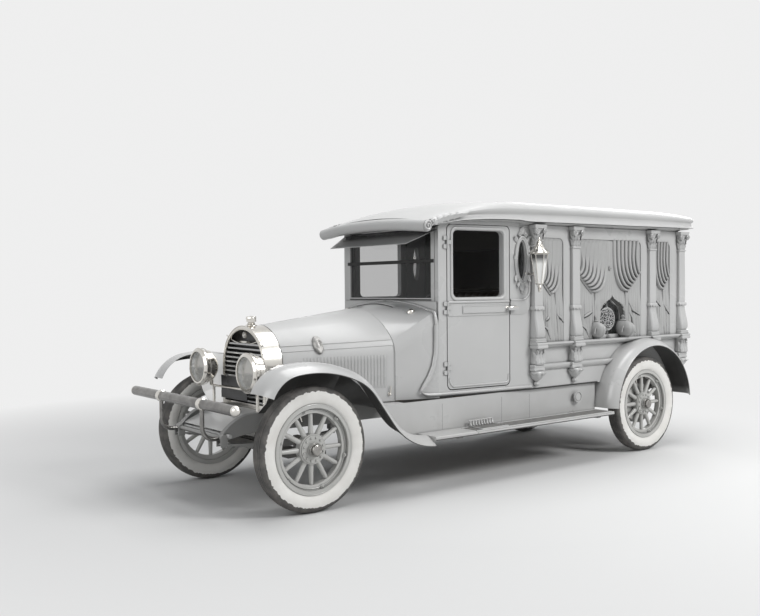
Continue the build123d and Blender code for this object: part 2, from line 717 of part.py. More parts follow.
def board_brackets():
    """Three arms that reach down and out from the left rail to carry the running board."""
    board_low = BOARD_TOP_Z - BOARD_THICKNESS - SEAT_GAP
    for x in BRACKET_STATIONS:
        root = rail_y(x) + RAIL_WIDTH / 2 - RAIL_WEB
        with BuildSketch(front_view(x)) as arm:
            with BuildLine():
                Polyline(
                    (root, RAIL_TOP_Z - 30),
                    (root, RAIL_TOP_Z - RAIL_HEIGHT),
                    (FENDER_INNER_Y - 30, board_low - 24),
                    (BOARD_OUTER_Y - 30, board_low - 12),
                    (BOARD_OUTER_Y - 30, board_low),
                    (FENDER_INNER_Y - 20, board_low),
                    close=True,
                )
            make_face()
        extrude(arm.sketch, amount=BRACKET_WIDTH / 2, both=True)


def make_chassis():
    """Two channel rails that spread aft, curved horns, cross members, spring hangers and board brackets."""
    spread = (RAIL_REAR_Y - RAIL_FRONT_Y) / (HORN_TIP - BODY_REAR)
    along_rail = Plane(origin=(HORN_TIP, RAIL_FRONT_Y, 0), x_dir=(1, -spread, 0), z_dir=(-spread, -1, 0))
    with BuildPart() as frame:
        extrude(rail_side(along_rail.offset(-RAIL_WIDTH / 2), 0), amount=RAIL_WIDTH)
        hollow = rail_side(along_rail.offset(RAIL_WEB - RAIL_WIDTH / 2), RAIL_WEB)
        extrude(hollow, amount=RAIL_WIDTH, mode=Mode.SUBTRACT)
        with Locations((HORN_TIP, FRONT_SPRING_Y, horn_boss_z())):
            Cylinder(HORN_BOSS_RADIUS, SPRING_WIDTH + 2 * (SEAT_GAP + SHACKLE_CHEEK), rotation=(90, 0, 0))
        spring_hangers()
        board_brackets()
        mirror(about=Plane.XZ)
        for x in CROSS_STATIONS:
            half = rail_y(x) + RAIL_WIDTH / 2 - RAIL_WEB + 1
            span_box(
                (x - CROSS_LENGTH / 2, x + CROSS_LENGTH / 2),
                (-half, half),
                (CROSS_LOW_Z, CROSS_HIGH_Z),
            )
        with Locations((HORN_TIP, 0, horn_boss_z())):
            Cylinder(HORN_BOSS_RADIUS * 0.6, 2 * RAIL_FRONT_Y, rotation=(90, 0, 0))
    keep(frame, "chassis_frame")


def make_engine():
    """Engine block on its sump, and the clutch housing with the gearbox behind: plain masses."""
    with BuildPart() as engine:
        span_box(
            (ENGINE_REAR, ENGINE_FRONT),
            (-ENGINE_HALF_WIDTH, ENGINE_HALF_WIDTH),
            (CROSS_HIGH_Z + SEAT_GAP, ENGINE_TOP_Z),
        )
        span_box(
            (ENGINE_REAR + CROSS_LENGTH + SEAT_GAP, ENGINE_FRONT - CROSS_LENGTH - SEAT_GAP),
            (-SUMP_HALF_WIDTH, SUMP_HALF_WIDTH),
            (SUMP_LOW_Z, CROSS_HIGH_Z + 5),
        )
        span_box(
            (GEARBOX_REAR, ENGINE_REAR + 20),
            (-GEARBOX_HALF_WIDTH, GEARBOX_HALF_WIDTH),
            (CROSS_HIGH_Z + SEAT_GAP, GEARBOX_TOP_Z),
        )
        span_box(
            (GEARBOX_REAR, ENGINE_REAR - SEAT_GAP),
            (-GEARBOX_HALF_WIDTH, GEARBOX_HALF_WIDTH),
            (SUMP_LOW_Z, GEARBOX_TOP_Z),
        )
    keep(engine, "engine")


def make_exhaust():
    """Down pipe from the engine's right side, a pipe aft, a round muffler and a short tail pipe."""
    y = -ENGINE_HALF_WIDTH - SEAT_GAP - EXHAUST_RADIUS
    z = CROSS_LOW_Z - SEAT_GAP - MUFFLER_RADIUS
    with BuildPart() as exhaust:
        with BuildLine():
            route = FilletPolyline(
                (aft(420), y, ENGINE_TOP_Z - 250),
                (aft(520), y, z),
                (aft(2900), y, z),
                radius=90,
            )
        with BuildSketch(Plane(origin=route @ 0, z_dir=route % 0)):
            Circle(EXHAUST_RADIUS)
        sweep(path=route)
        with Locations((MUFFLER_STATION, y, z)):
            Cylinder(MUFFLER_RADIUS, MUFFLER_LENGTH, rotation=(0, 90, 0))
    keep(exhaust, "exhaust")


def make_tank():
    """A round-ended fuel tank slung across the frame behind the rear axle."""
    with BuildPart() as tank:
        with Locations((TANK_STATION, 0, CROSS_LOW_Z - SEAT_GAP - TANK_RADIUS)):
            Cylinder(TANK_RADIUS, 2 * TANK_HALF_LENGTH, rotation=(90, 0, 0))
        fillet(tank.edges().filter_by(GeomType.CIRCLE), 30)
    keep(tank, "fuel_tank")


# Hood, radiator and cowl


def section_points(values, inset=0.0, low_z=HOOD_LOW_Z):
    """The left half of a hood section as four points: foot, end of the upright, shoulder, top."""
    half_width, upright_z, shoulder_y, shoulder_z, top_z = values
    lean = atan2(shoulder_z - upright_z, half_width - shoulder_y)
    return (
        (half_width - inset, low_z),
        (half_width - inset, upright_z),
        (shoulder_y - inset * sin(lean), shoulder_z - inset * cos(lean)),
        (0, top_z - inset),
    )


def whole_section(x, values, inset, low_z):
    """A closed hood-shaped cross section, both halves, at this station."""
    foot, upright, shoulder, top = section_points(values, inset, low_z)
    with BuildSketch(front_view(x)) as section:
        with BuildLine():
            Line(foot, upright)
            TangentArc(upright, shoulder, tangent=(0, 1))
            TangentArc(top, shoulder, tangent=(1, 0))
            mirror(about=Plane.YZ)
            Line(foot, (-foot[0], foot[1]))
        make_face()
    return section.sketch


def make_radiator():
    """The shell that frames the core, and the dark header and shutter slats inside it."""
    depth = RADIATOR_FRONT - RADIATOR_REAR
    with BuildPart() as shell:
        extrude(whole_section(RADIATOR_REAR, FRONT_SECTION, 0, RAIL_TOP_Z + SEAT_GAP), amount=depth)
        opening = whole_section(RADIATOR_REAR, FRONT_SECTION, RADIATOR_SHELL, RAIL_TOP_Z + RADIATOR_SHELL)
        extrude(opening, amount=depth, mode=Mode.SUBTRACT)
        with Locations(((RADIATOR_FRONT + RADIATOR_REAR) / 2, 0, FRONT_SECTION[4] - 5)):
            Cylinder(24, 40, align=(Align.CENTER, Align.CENTER, Align.MIN))
        with Locations(((RADIATOR_FRONT + RADIATOR_REAR) / 2, 0, FRONT_SECTION[4] + 26)):
            Cylinder(36, 38, align=(Align.CENTER, Align.CENTER, Align.MIN))
    keep(shell, "radiator_shell")
    clear = RADIATOR_SHELL + SEAT_GAP
    slat_low = RAIL_TOP_Z + RADIATOR_SHELL + SEAT_GAP
    pitch = (SLAT_TOP_Z - slat_low) / SLAT_COUNT
    core_front = RADIATOR_REAR + 20 + CORE_DEPTH
    with BuildPart() as grille:
        for number in range(SLAT_COUNT):
            z = slat_low + (number + 0.5) * pitch
            with BuildSketch(side_view(0)):
                with BuildLine():
                    Polyline(
                        (core_front - 1, z),
                        (core_front + SLAT_DEPTH, z - pitch * 0.3),
                        (core_front + SLAT_DEPTH, z - pitch * 0.3 + SLAT_THICKNESS),
                        (core_front - 1, z + SLAT_THICKNESS),
                        close=True,
                    )
                make_face()
            extrude(amount=FRONT_SECTION[0], both=True)
        with Locations((core_front - CORE_DEPTH / 2, 0, FRONT_SECTION[4] / 2)):
            Box(CORE_DEPTH, 2 * FRONT_SECTION[0], FRONT_SECTION[4])
        opening = whole_section(RADIATOR_REAR, FRONT_SECTION, clear, slat_low)
        extrude(opening, amount=depth, mode=Mode.INTERSECT)
    keep(grille, "radiator_shutters")


def hood_section(x, values):
    """One hood half's thin cross section at this station, from the hinge rod down to the sill."""
    foot, upright, shoulder, top = section_points(values)
    foot_in, upright_in, shoulder_in, top_in = section_points(values, HOOD_SKIN)
    edge = HOOD_ROD_RADIUS + HOOD_ROD_GAP
    with BuildSketch(front_view(x)) as section:
        with BuildLine():
            Line(foot, upright)
            TangentArc(upright, shoulder, tangent=(0, 1))
            TangentArc((edge, top[1]), shoulder, tangent=(1, 0))
            Line((edge, top[1]), (edge, top_in[1]))
            TangentArc((edge, top_in[1]), shoulder_in, tangent=(1, 0))
            TangentArc(upright_in, shoulder_in, tangent=(0, 1))
            Line(upright_in, foot_in)
            Line(foot_in, foot)
        make_face()
    return section.sketch


def hood_rod():
    """The two ends of the hinge rod's axis at the hood's rear and front edges."""
    rear = Vector(HOOD_REAR, 0, REAR_SECTION[4] - HOOD_ROD_RADIUS)
    return rear, Vector(HOOD_FRONT, 0, FRONT_SECTION[4] - HOOD_ROD_RADIUS)


def hood_eyes(shares):
    """Rolled eyes round the rod, at these shares of its length, each on a tab to the left half's edge."""
    rear, front = hood_rod()
    tab = 2 * HOOD_ROD_GAP
    for share in shares:
        start = rear + (front - rear) * share
        with BuildSketch(Plane(origin=start, x_dir=(0, 1, 0), z_dir=front - rear)) as eye:
            Circle(HOOD_EYE_RADIUS)
            with Locations((HOOD_ROD_RADIUS + tab / 2, HOOD_ROD_RADIUS - HOOD_SKIN / 2)):
                Rectangle(tab, HOOD_SKIN)
            Circle(HOOD_ROD_RADIUS + BEARING_GAP, mode=Mode.SUBTRACT)
        extrude(eye.sketch, amount=HOOD_EYE_LENGTH)


def make_hood():
    """Two hood halves, each one thin sheet from its eyes on the centre rod over the shoulder to the sill."""
    for side, shares in (("left", HOOD_LEFT_EYES), ("right", HOOD_RIGHT_EYES)):
        with BuildPart() as half:
            loft([hood_section(HOOD_FRONT, FRONT_SECTION), hood_section(HOOD_REAR, REAR_SECTION)], ruled=True)
            hood_eyes(shares)
            if side == "right":
                mirror(about=Plane.XZ, mode=Mode.REPLACE)
        keep(half, "hood_" + side)


def steer_plane():
    """Plane at the steering wheel's centre whose Z runs up the column."""
    up = Vector(STEER_WHEEL_X - STEER_BOX_X, 0, STEER_WHEEL_Z - STEER_BOX_Z)
    return Plane(origin=(STEER_WHEEL_X, STEER_Y, STEER_WHEEL_Z), x_dir=(0, 1, 0), z_dir=up)


def make_cowl():
    """Cowl that flares from the hood to the windscreen, its firewall, and the hood's hinge rod."""
    rear, front = hood_rod()
    unit = (front - rear).normalized()
    with BuildPart() as cowl:
        for inset, low_z, mode in ((0, SILL_Z, Mode.ADD), (COWL_WALL, SILL_Z - 20, Mode.SUBTRACT)):
            ends = [
                whole_section(COWL_FRONT, REAR_SECTION, inset, low_z),
                whole_section(WINDSCREEN, SCREEN_SECTION, inset, low_z),
            ]
            loft(ends, ruled=True, mode=mode)
        extrude(whole_section(COWL_FRONT, REAR_SECTION, COWL_WALL - 1, SILL_Z), amount=-FIREWALL)
        with BuildSketch(steer_plane()):
            Circle(STEER_COLUMN_RADIUS + 5)
        extrude(amount=-900, mode=Mode.SUBTRACT)
        with BuildSketch(Plane(origin=rear - unit * 16, z_dir=unit)):
            Circle(HOOD_ROD_RADIUS)
        extrude(amount=(front - rear).length + 20)
    keep(cowl, "cowl")


# Fenders and boards


def fall_length():
    """Length of the straight fall that brings the fender's foot level with the board's top."""
    back, slope = radians(BROW_BACK), radians(FALL_SLOPE)
    arcs = BROW_RADIUS * (1 - cos(back)) + FALL_RADIUS * (cos(back) - cos(slope))
    sweep_drop = SWEEP_RADIUS * (1 - cos(slope))
    return (FENDER_TOP_Z - BOARD_TOP_Z - arcs - sweep_drop) / sin(slope)


def fender_foot():
    """X of the front fender's foot, where the running board begins."""
    back, slope = radians(BROW_BACK), radians(FALL_SLOPE)
    arcs = BROW_RADIUS * sin(back) + FALL_RADIUS * (sin(slope) - sin(back))
    return FENDER_TOP_X - arcs - fall_length() * cos(slope) - SWEEP_RADIUS * sin(slope)


def fender_path():
    """The front fender's crown line from its nose: nose arc, brow, shoulder, straight fall, sweep."""
    brow, nose = radians(BROW_FORWARD), radians(BROW_FORWARD + NOSE_TURN)
    nose_x = FENDER_TOP_X + BROW_RADIUS * sin(brow) + NOSE_RADIUS * (sin(nose) - sin(brow))
    nose_z = FENDER_TOP_Z - BROW_RADIUS * (1 - cos(brow)) - NOSE_RADIUS * (cos(brow) - cos(nose))
    with BuildLine(side_view(FENDER_CROWN_Y)) as crown:
        first = JernArc((nose_x, nose_z), (-cos(nose), sin(nose)), NOSE_RADIUS, NOSE_TURN)
        top = JernArc(first @ 1, (-cos(brow), sin(brow)), BROW_RADIUS, BROW_FORWARD + BROW_BACK)
        back, slope = radians(BROW_BACK), radians(FALL_SLOPE)
        third = JernArc(top @ 1, (-cos(back), -sin(back)), FALL_RADIUS, FALL_SLOPE - BROW_BACK)
        fall = Line(third @ 1, third @ 1 + Vector(-cos(slope), 0, -sin(slope)) * fall_length())
        JernArc(fall @ 1, (-cos(slope), -sin(slope)), SWEEP_RADIUS, -FALL_SLOPE)
    return crown.line


def fender_section(plane):
    """The front fender's thin cross section, with its crown at the plane's origin."""
    inner = FENDER_CROWN_Y - FENDER_INNER_Y
    lip = FENDER_LIP_Y - FENDER_CROWN_Y
    with BuildSketch(plane) as section:
        with BuildLine():
            TangentArc((0, 0), (-inner, -FENDER_INNER_DROP), tangent=(-1, 0))
            TangentArc((0, 0), (lip, -FENDER_LIP_DROP), tangent=(1, 0))
            Line((lip, -FENDER_LIP_DROP), (lip - FENDER_SKIN, -FENDER_LIP_DROP))
            TangentArc((0, -FENDER_SKIN), (lip - FENDER_SKIN, -FENDER_LIP_DROP), tangent=(1, 0))
            TangentArc((0, -FENDER_SKIN), (-inner, -FENDER_INNER_DROP - FENDER_SKIN), tangent=(-1, 0))
            Line((-inner, -FENDER_INNER_DROP - FENDER_SKIN), (-inner, -FENDER_INNER_DROP))
        make_face()
        with Locations((lip - FENDER_BEAD, -FENDER_LIP_DROP)):
            Circle(FENDER_BEAD)
    return section.sketch


def hood_half_width(x):
    """Half width of the hood's foot at this station."""
    share = (HOOD_FRONT - x) / (HOOD_FRONT - HOOD_REAR)
    return FRONT_SECTION[0] + (REAR_SECTION[0] - FRONT_SECTION[0]) * share


# Apron under the hood's foot. Columns: station, knee Y, knee Z, edge Y, edge Z
APRON_ROWS = (
    (aft(-185), 450.0, 716.0, 661.0, 990.0),
    (aft(0), 490.0, 752.0, 661.0, 995.0),
    (aft(150), 500.0, 750.0, 661.0, 968.0),
    (aft(300), 498.0, 725.0, 661.0, 918.0),
    (aft(450), 500.0, 684.0, 661.0, 812.0),
    (aft(600), 520.0, 642.0, 655.5, 640.0),
    (aft(902), 530.0, 642.0, 655.5, 640.0),
)


def apron_section(x, knee_y, knee_z, edge_y, edge_z):
    """The apron's thin cross section: a ledge beside the rail, a rise to the knee, then to the fender."""
    root = rail_y(x) + RAIL_WIDTH / 2 + 1
    ledge = max(root + 6, hood_half_width(x) + 8)
    with BuildSketch(front_view(x)) as section:
        with BuildLine():
            Polyline(
                (root, RAIL_TOP_Z),
                (ledge, RAIL_TOP_Z),
                (knee_y, knee_z),
                (edge_y, edge_z),
                (edge_y, edge_z - FENDER_SKIN * 1.5),
                (knee_y, knee_z - FENDER_SKIN * 1.5),
                (ledge, RAIL_TOP_Z - FENDER_SKIN),
                (root, RAIL_TOP_Z - FENDER_SKIN),
                close=True,
            )
        make_face()
    return section.sketch


def make_front_fenders():
    """Swept crown from the nose to the board, and the apron that joins it to the frame."""
    path = fender_path()
    start = Plane(origin=path @ 0, x_dir=(0, 1, 0), z_dir=-(path % 0))
    with BuildPart() as fender:
        sweep(fender_section(start), path=path)
        for ends in zip(APRON_ROWS, APRON_ROWS[1:]):
            loft([apron_section(*row) for row in ends], ruled=True)
        mirror(about=Plane.XZ)
    keep(fender, "front_fenders")


def make_rear_fenders():
    """Half-round fenders that pass through the body side to a wall inboard of the tyre."""
    hub_z = TYRE_RADIUS
    top = hub_z + REAR_FENDER_RADIUS
    lip_z = top - FENDER_LIP_DROP
    wall_y = REAR_FENDER_INNER_Y + FENDER_SKIN
    hub_axis = Axis((REAR_AXLE_X, 0, TYRE_RADIUS), (0, 1, 0))
    with BuildPart() as arch:
        with BuildSketch(front_view(REAR_AXLE_X)):
            with BuildLine():
                Line((REAR_FENDER_INNER_Y, top), (FENDER_CROWN_Y, top))
                TangentArc((FENDER_CROWN_Y, top), (FENDER_LIP_Y, lip_z), tangent=(1, 0))
                Line((FENDER_LIP_Y, lip_z), (FENDER_LIP_Y - FENDER_SKIN, lip_z))
                TangentArc(
                    (FENDER_CROWN_Y, top - FENDER_SKIN), (FENDER_LIP_Y - FENDER_SKIN, lip_z), tangent=(1, 0)
                )
                Polyline(
                    (FENDER_CROWN_Y, top - FENDER_SKIN),
                    (wall_y, top - FENDER_SKIN),
                    (wall_y, hub_z + REAR_FENDER_WALL_LOW),
                    (REAR_FENDER_INNER_Y, hub_z + REAR_FENDER_WALL_LOW),
                    (REAR_FENDER_INNER_Y, top),
                )
            make_face()
            with Locations((FENDER_LIP_Y - FENDER_BEAD, lip_z)):
                Circle(FENDER_BEAD)
        revolve(axis=hub_axis, revolution_arc=REAR_FENDER_TURN)
    with BuildPart() as both:
        add(arch.part.rotate(hub_axis, -REAR_FENDER_BACK))
        mirror(about=Plane.XZ)
    keep(both, "rear_fenders")


def make_boards():
    """Running boards with the valance that rises from each to the body's sill."""
    front = fender_foot() - SEAT_GAP
    rear = REAR_AXLE_X + REAR_FENDER_RADIUS + SEAT_GAP
    low = BOARD_TOP_Z - BOARD_THICKNESS
    inner = FENDER_INNER_Y - SEAT_GAP - VALANCE
    with BuildPart() as boards:
        span_box((rear, front), (inner, BOARD_OUTER_Y), (low, BOARD_TOP_Z))
        fillet(boards.edges().filter_by(Axis.X).group_by(Axis.Y)[-1], BOARD_THICKNESS / 3)
        with BuildSketch(side_view(inner)):
            with BuildLine():
                Polyline(
                    (rear, low),
                    (rear, SILL_Z),
                    (front + 370, SILL_Z),
                    (front + 300, BOARD_TOP_Z + 116),
                    (front + 150, BOARD_TOP_Z + 6),
                    (front, low),
                    close=True,
                )
            make_face()
        extrude(amount=-VALANCE)
        mirror(about=Plane.XZ)
    keep(boards, "running_boards")


# Bumper, lamps and splash pan


def make_bumper():
    """Round bar with domed ends on two arms that curve up from the frame horns."""
    bar_x = FRONT_AXLE_X + FRONT_OVERHANG - BUMPER_RADIUS
    boss_z = horn_boss_z()
    start_x = HORN_TIP + HORN_BOSS_RADIUS + SEAT_GAP
    with BuildPart() as bumper:
        with Locations((bar_x, 0, BUMPER_Z)):
            Cylinder(BUMPER_RADIUS, 2 * BUMPER_HALF, rotation=(90, 0, 0))
        with Locations(*[(bar_x, side * BUMPER_HALF, BUMPER_Z) for side in (1, -1)]):
            Sphere(BUMPER_RADIUS)
        for side in (1, -1):
            with BuildLine(side_view(side * BUMPER_ARM_Y)):
                arm = FilletPolyline((start_x, boss_z), (bar_x, boss_z), (bar_x, BUMPER_Z), radius=85)
            with BuildSketch(Plane(origin=arm @ 0, z_dir=arm % 0)):
                Circle(BUMPER_ARM_RADIUS)
            sweep(path=arm)
    keep(bumper, "bumper")


def make_headlamps():
    """Drum lamps on a tie bar whose posts stand on the frame, with wide rims and flat glasses."""
    rim_back = LAMP_RIM_X - LAMP_RIM_DEPTH
    back = rim_back - LAMP_BODY_DEPTH
    lamp_axis = Axis((0, LAMP_Y, LAMP_Z), (1, 0, 0))
    lamp_plane = Plane(origin=(0, LAMP_Y, LAMP_Z), x_dir=(1, 0, 0), z_dir=(0, -1, 0))
    with BuildPart() as lamps:
        with BuildSketch(lamp_plane):
            with BuildLine():
                ThreePointArc((back, 0), (back + 22, LAMP_BODY_RADIUS * 0.62), (back + 70, LAMP_BODY_RADIUS))
                Polyline(
                    (back + 70, LAMP_BODY_RADIUS),
                    (rim_back, LAMP_BODY_RADIUS),
                    (rim_back, 0),
                    (back, 0),
                )
            make_face()
        revolve(axis=lamp_axis)
        with Locations((LAMP_BAR_X, LAMP_Y, LAMP_BAR_Z)):
            Cylinder(
                LAMP_POST_RADIUS + 3,
                LAMP_Z - LAMP_BODY_RADIUS + 20 - LAMP_BAR_Z,
                align=(Align.CENTER, Align.CENTER, Align.MIN),
            )
        with Locations((LAMP_BAR_X, rail_y(LAMP_BAR_X), RAIL_TOP_Z + SEAT_GAP)):
            Cylinder(
                LAMP_POST_RADIUS, LAMP_BAR_Z - RAIL_TOP_Z, align=(Align.CENTER, Align.CENTER, Align.MIN)
            )
        mirror(about=Plane.XZ)
        with Locations((LAMP_BAR_X, 0, LAMP_BAR_Z)):
            Cylinder(LAMP_BAR_RADIUS, 2 * LAMP_Y, rotation=(90, 0, 0))
    keep(lamps, "headlamps")
    front = LAMP_RIM_X + 6
    with BuildPart() as rims:
        with BuildSketch(lamp_plane):
            with BuildLine():
                Polyline(
                    (rim_back + SEAT_GAP, LAMP_GLASS_RADIUS),
                    (front, LAMP_GLASS_RADIUS),
                    (front, LAMP_RIM_RADIUS - 12),
                    (front - 12, LAMP_RIM_RADIUS),
                    (rim_back + SEAT_GAP, LAMP_RIM_RADIUS),
                    close=True,
                )
            make_face()
        revolve(axis=lamp_axis)
        mirror(about=Plane.XZ)
    keep(rims, "headlamp_rims")
    with BuildPart() as glasses:
        with Locations(*[(rim_back + SEAT_GAP, side * LAMP_Y, LAMP_Z) for side in (1, -1)]):
            Cylinder(
                LAMP_GLASS_RADIUS - SEAT_GAP,
                LAMP_GLASS_DEPTH,
                rotation=(0, 90, 0),
                align=(Align.CENTER, Align.CENTER, Align.MIN),
            )
    keep(glasses, "headlamp_glasses")


def make_splash_pan():
    """Curved pan between the horns, from under the radiator down to the cross tube."""
    tip = HORN_TIP - 20
    back = RADIATOR_FRONT + 5
    wide = rail_y(back) - RAIL_WIDTH / 2 - SEAT_GAP
    narrow = FRONT_SPRING_Y - SPRING_WIDTH / 2 - 2 * SEAT_GAP - SHACKLE_CHEEK
    with BuildPart() as pan:
        with BuildSketch(side_view(0)):
            with BuildLine():
                outer = ThreePointArc((back, RAIL_TOP_Z - 2), (tip - 140, 590), (tip, 530))
                inner = ThreePointArc((back, RAIL_TOP_Z - 6), (tip - 142, 586), (tip - 4, 528))
                Line(outer @ 0, inner @ 0)
                Line(outer @ 1, inner @ 1)
            make_face()
        extrude(amount=400, both=True)
        with BuildSketch(Plane.XY):
            with BuildLine():
                Polyline((back, wide), (tip, narrow), (tip, -narrow), (back, -wide), close=True)
            make_face()
        extrude(amount=RAIL_TOP_Z, mode=Mode.INTERSECT)
    keep(pan, "splash_pan")


# Body shell


def side_plane():
    """The cab side's outer face: local x is the distance aft of the windscreen, local y up, Z outboard."""
    return Plane(
        origin=(WINDSCREEN, COWL_Y, 0),
        x_dir=(-cos(SIDE_LEAN), sin(SIDE_LEAN), 0),
        z_dir=(sin(SIDE_LEAN), cos(SIDE_LEAN), 0),
    )


def rear_plane():
    """The body's rear face: local x runs to the vehicle's right, local y up, Z rearward."""
    return Plane(origin=(BODY_REAR, 0, 0), x_dir=(0, -1, 0), z_dir=(-1, 0, 0))


def along_side(x):
    """Distance of a station along the cab's side face, from the windscreen."""
    return (WINDSCREEN - x) / cos(SIDE_LEAN)


def cut_window(plane, x_range, z_range, corner):
    """Cuts a round-cornered window through the wall behind this face."""
    with BuildSketch(plane) as light:
        with Locations((sum(x_range) / 2, sum(z_range) / 2)):
            RectangleRounded(x_range[1] - x_range[0], z_range[1] - z_range[0], corner)
    extrude(light.sketch, amount=2 * WALL, both=True, mode=Mode.SUBTRACT)


def door_edges(grow):
    """The door's X and Z ranges in the side plane's coordinates, grown by this much all round."""
    return (
        (along_side(DOOR_FRONT) - grow, along_side(DOOR_REAR) + grow),
        (DOOR_LOW_Z - grow, DOOR_HIGH_Z + grow),
    )


def hinge_stack(plane, edge, levels, moving):
    """Hinges on a face: the door's middle knuckles, or the fixed outer knuckles with their pin."""
    third = HINGE_LENGTH / 3
    leaf_side = Align.MIN if moving else Align.MAX
    for level in levels:
        axis_plane = Plane(
            origin=plane.from_local_coords(Vector(edge, level, HINGE_OUT)), x_dir=plane.x_dir, z_dir=(0, 0, 1)
        )
        for step in (0,) if moving else (-third, third):
            with BuildSketch(axis_plane.offset(step)) as knuckle:
                Circle(HINGE_RADIUS)
                Rectangle(HINGE_LEAF_REACH, HINGE_OUT + 1, align=(leaf_side, Align.MIN))
                if moving:
                    Circle(HINGE_PIN_RADIUS + BEARING_GAP, mode=Mode.SUBTRACT)
            extrude(knuckle.sketch, amount=third / 2 - SEAT_GAP, both=True)
        if not moving:
            with BuildSketch(axis_plane.offset(-third)) as pin:
                Circle(HINGE_PIN_RADIUS)
            extrude(pin.sketch, amount=2 * third)


def lever_handle(plane, x, z, way):
    """A boss with a short lever that points one way along the face."""
    with BuildSketch(plane) as boss:
        with Locations((x, z)):
            Circle(14)
    extrude(boss.sketch, amount=34)
    with BuildSketch(plane.offset(33)) as lever:
        with Locations((x + 38 * way, z)):
            RectangleRounded(108, 20, 9)
    extrude(lever.sketch, amount=12)


def ogee(y, grow):
    """A pointed arch at this Y: upright sides, then an arc and its reversed arc to the point."""
    half = OGEE_HALF_WIDTH + grow
    low = OGEE_LOW_Z - grow
    top = OGEE_TOP_Z + grow * 1.5
    haunch = (OGEE_SPRING_Z + top) / 2
    x = OGEE_STATION
    with BuildSketch(side_view(y)) as arch:
        with BuildLine():
            Line((x - half, low), (x + half, low))
            for side in (1, -1):
                spring = (x + side * half, OGEE_SPRING_Z)
                Line((x + side * half, low), spring)
                shoulder = (x + side * half * 0.5, haunch)
                TangentArc(spring, shoulder, tangent=(0, 1))
                ThreePointArc(shoulder, (x + side * half * 0.18, haunch + (top - haunch) * 0.4), (x, top))
        make_face()
    return arch.sketch


def make_body_sides():
    """Cab side with its door and oval window, and the long load side with the wheel arch and ogee."""
    plane = side_plane()
    end = along_side(CAB_REAR)
    arch = REAR_FENDER_RADIUS + SEAT_GAP
    with BuildPart() as side:
        with BuildSketch(plane):
            with Locations((end / 2, (SILL_Z + EAVES_Z) / 2)):
                Rectangle(end, EAVES_Z - SILL_Z)
        extrude(amount=-WALL)
        span_box((BODY_REAR, CAB_REAR + 8), (SIDE_Y - WALL, SIDE_Y), (SILL_Z, EAVES_Z))
        cut_window(plane, *door_edges(DOOR_GAP), DOOR_CORNER + DOOR_GAP)
        with BuildSketch(plane):
            with Locations((along_side(OVAL_STATION), OVAL_Z)):
                Ellipse(OVAL_HALF_WIDTH, OVAL_HALF_HEIGHT)
        extrude(amount=2 * WALL, both=True, mode=Mode.SUBTRACT)
        extrude(ogee(SIDE_Y, 0), amount=2 * WALL, both=True, mode=Mode.SUBTRACT)
        with Locations((REAR_AXLE_X, SIDE_Y, TYRE_RADIUS)):
            Cylinder(arch, 4 * WALL, rotation=(90, 0, 0), mode=Mode.SUBTRACT)
        hinge_stack(plane, along_side(DOOR_FRONT) - DOOR_GAP / 2, HINGE_LEVELS, moving=False)
    keep_both_sides(side, "body_side")


def make_doors():
    """Front-hinged cab doors, a full wall thick, with the window cut through and a lever handle."""
    plane = side_plane()
    with BuildPart() as door:
        x_range, z_range = door_edges(0)
        with BuildSketch(plane):
            with Locations((sum(x_range) / 2, sum(z_range) / 2)):
                RectangleRounded(x_range[1] - x_range[0], z_range[1] - z_range[0], DOOR_CORNER)
        extrude(amount=-WALL)
        cut_window(
            plane,
            (along_side(WINDOW_FRONT), along_side(WINDOW_REAR)),
            (WINDOW_LOW_Z, WINDOW_HIGH_Z),
            WINDOW_CORNER,
        )
        hinge_stack(plane, along_side(DOOR_FRONT) - DOOR_GAP / 2, HINGE_LEVELS, moving=True)
        lever_handle(plane, along_side(HANDLE_STATION), HANDLE_Z, 1)
    keep_both_sides(door, "door")


def make_body_rear():
    """Rear wall between the two sides, with the doorway cut through it."""
    half = SIDE_Y - WALL - SEAT_GAP
    with BuildPart() as wall:
        span_box((BODY_REAR, BODY_REAR + WALL), (-half, half), (SILL_Z, EAVES_Z))
        span_box(
            (BODY_REAR - WALL, BODY_REAR + 2 * WALL),
            (-REAR_DOOR_HALF, REAR_DOOR_HALF),
            (REAR_DOOR_LOW_Z, REAR_DOOR_HIGH_Z),
            mode=Mode.SUBTRACT,
        )
        hinge_stack(rear_plane(), DOOR_GAP / 2 - REAR_DOOR_HALF, REAR_HINGE_LEVELS, moving=False)
    keep(wall, "body_rear")


def make_rear_door():
    """One wide rear door, hinged at the left, with a glazed upper half."""
    half = REAR_DOOR_HALF - DOOR_GAP
    glass_x = (-REAR_GLASS_HALF, REAR_GLASS_HALF)
    with BuildPart() as door:
        span_box(
            (BODY_REAR, BODY_REAR + WALL),
            (-half, half),
            (REAR_DOOR_LOW_Z + DOOR_GAP, REAR_DOOR_HIGH_Z - DOOR_GAP),
        )
        cut_window(rear_plane(), glass_x, (REAR_GLASS_LOW_Z, REAR_GLASS_HIGH_Z), REAR_GLASS_CORNER)
        hinge_stack(rear_plane(), DOOR_GAP / 2 - REAR_DOOR_HALF, REAR_HINGE_LEVELS, moving=True)
        lever_handle(rear_plane(), half - 50, REAR_GLASS_LOW_Z - 80, -1)
    keep(door, "rear_door")
    with BuildPart() as glass:
        with BuildSketch(rear_plane().offset(-WALL / 2)):
            with Locations((0, (REAR_GLASS_LOW_Z + REAR_GLASS_HIGH_Z) / 2)):
                RectangleRounded(
                    2 * (REAR_GLASS_HALF - SEAT_GAP),
                    REAR_GLASS_HIGH_Z - REAR_GLASS_LOW_Z - 2 * SEAT_GAP,
                    REAR_GLASS_CORNER - SEAT_GAP,
                )
        extrude(amount=GLASS_THICKNESS / 2, both=True)
    keep(glass, "rear_door_glass")


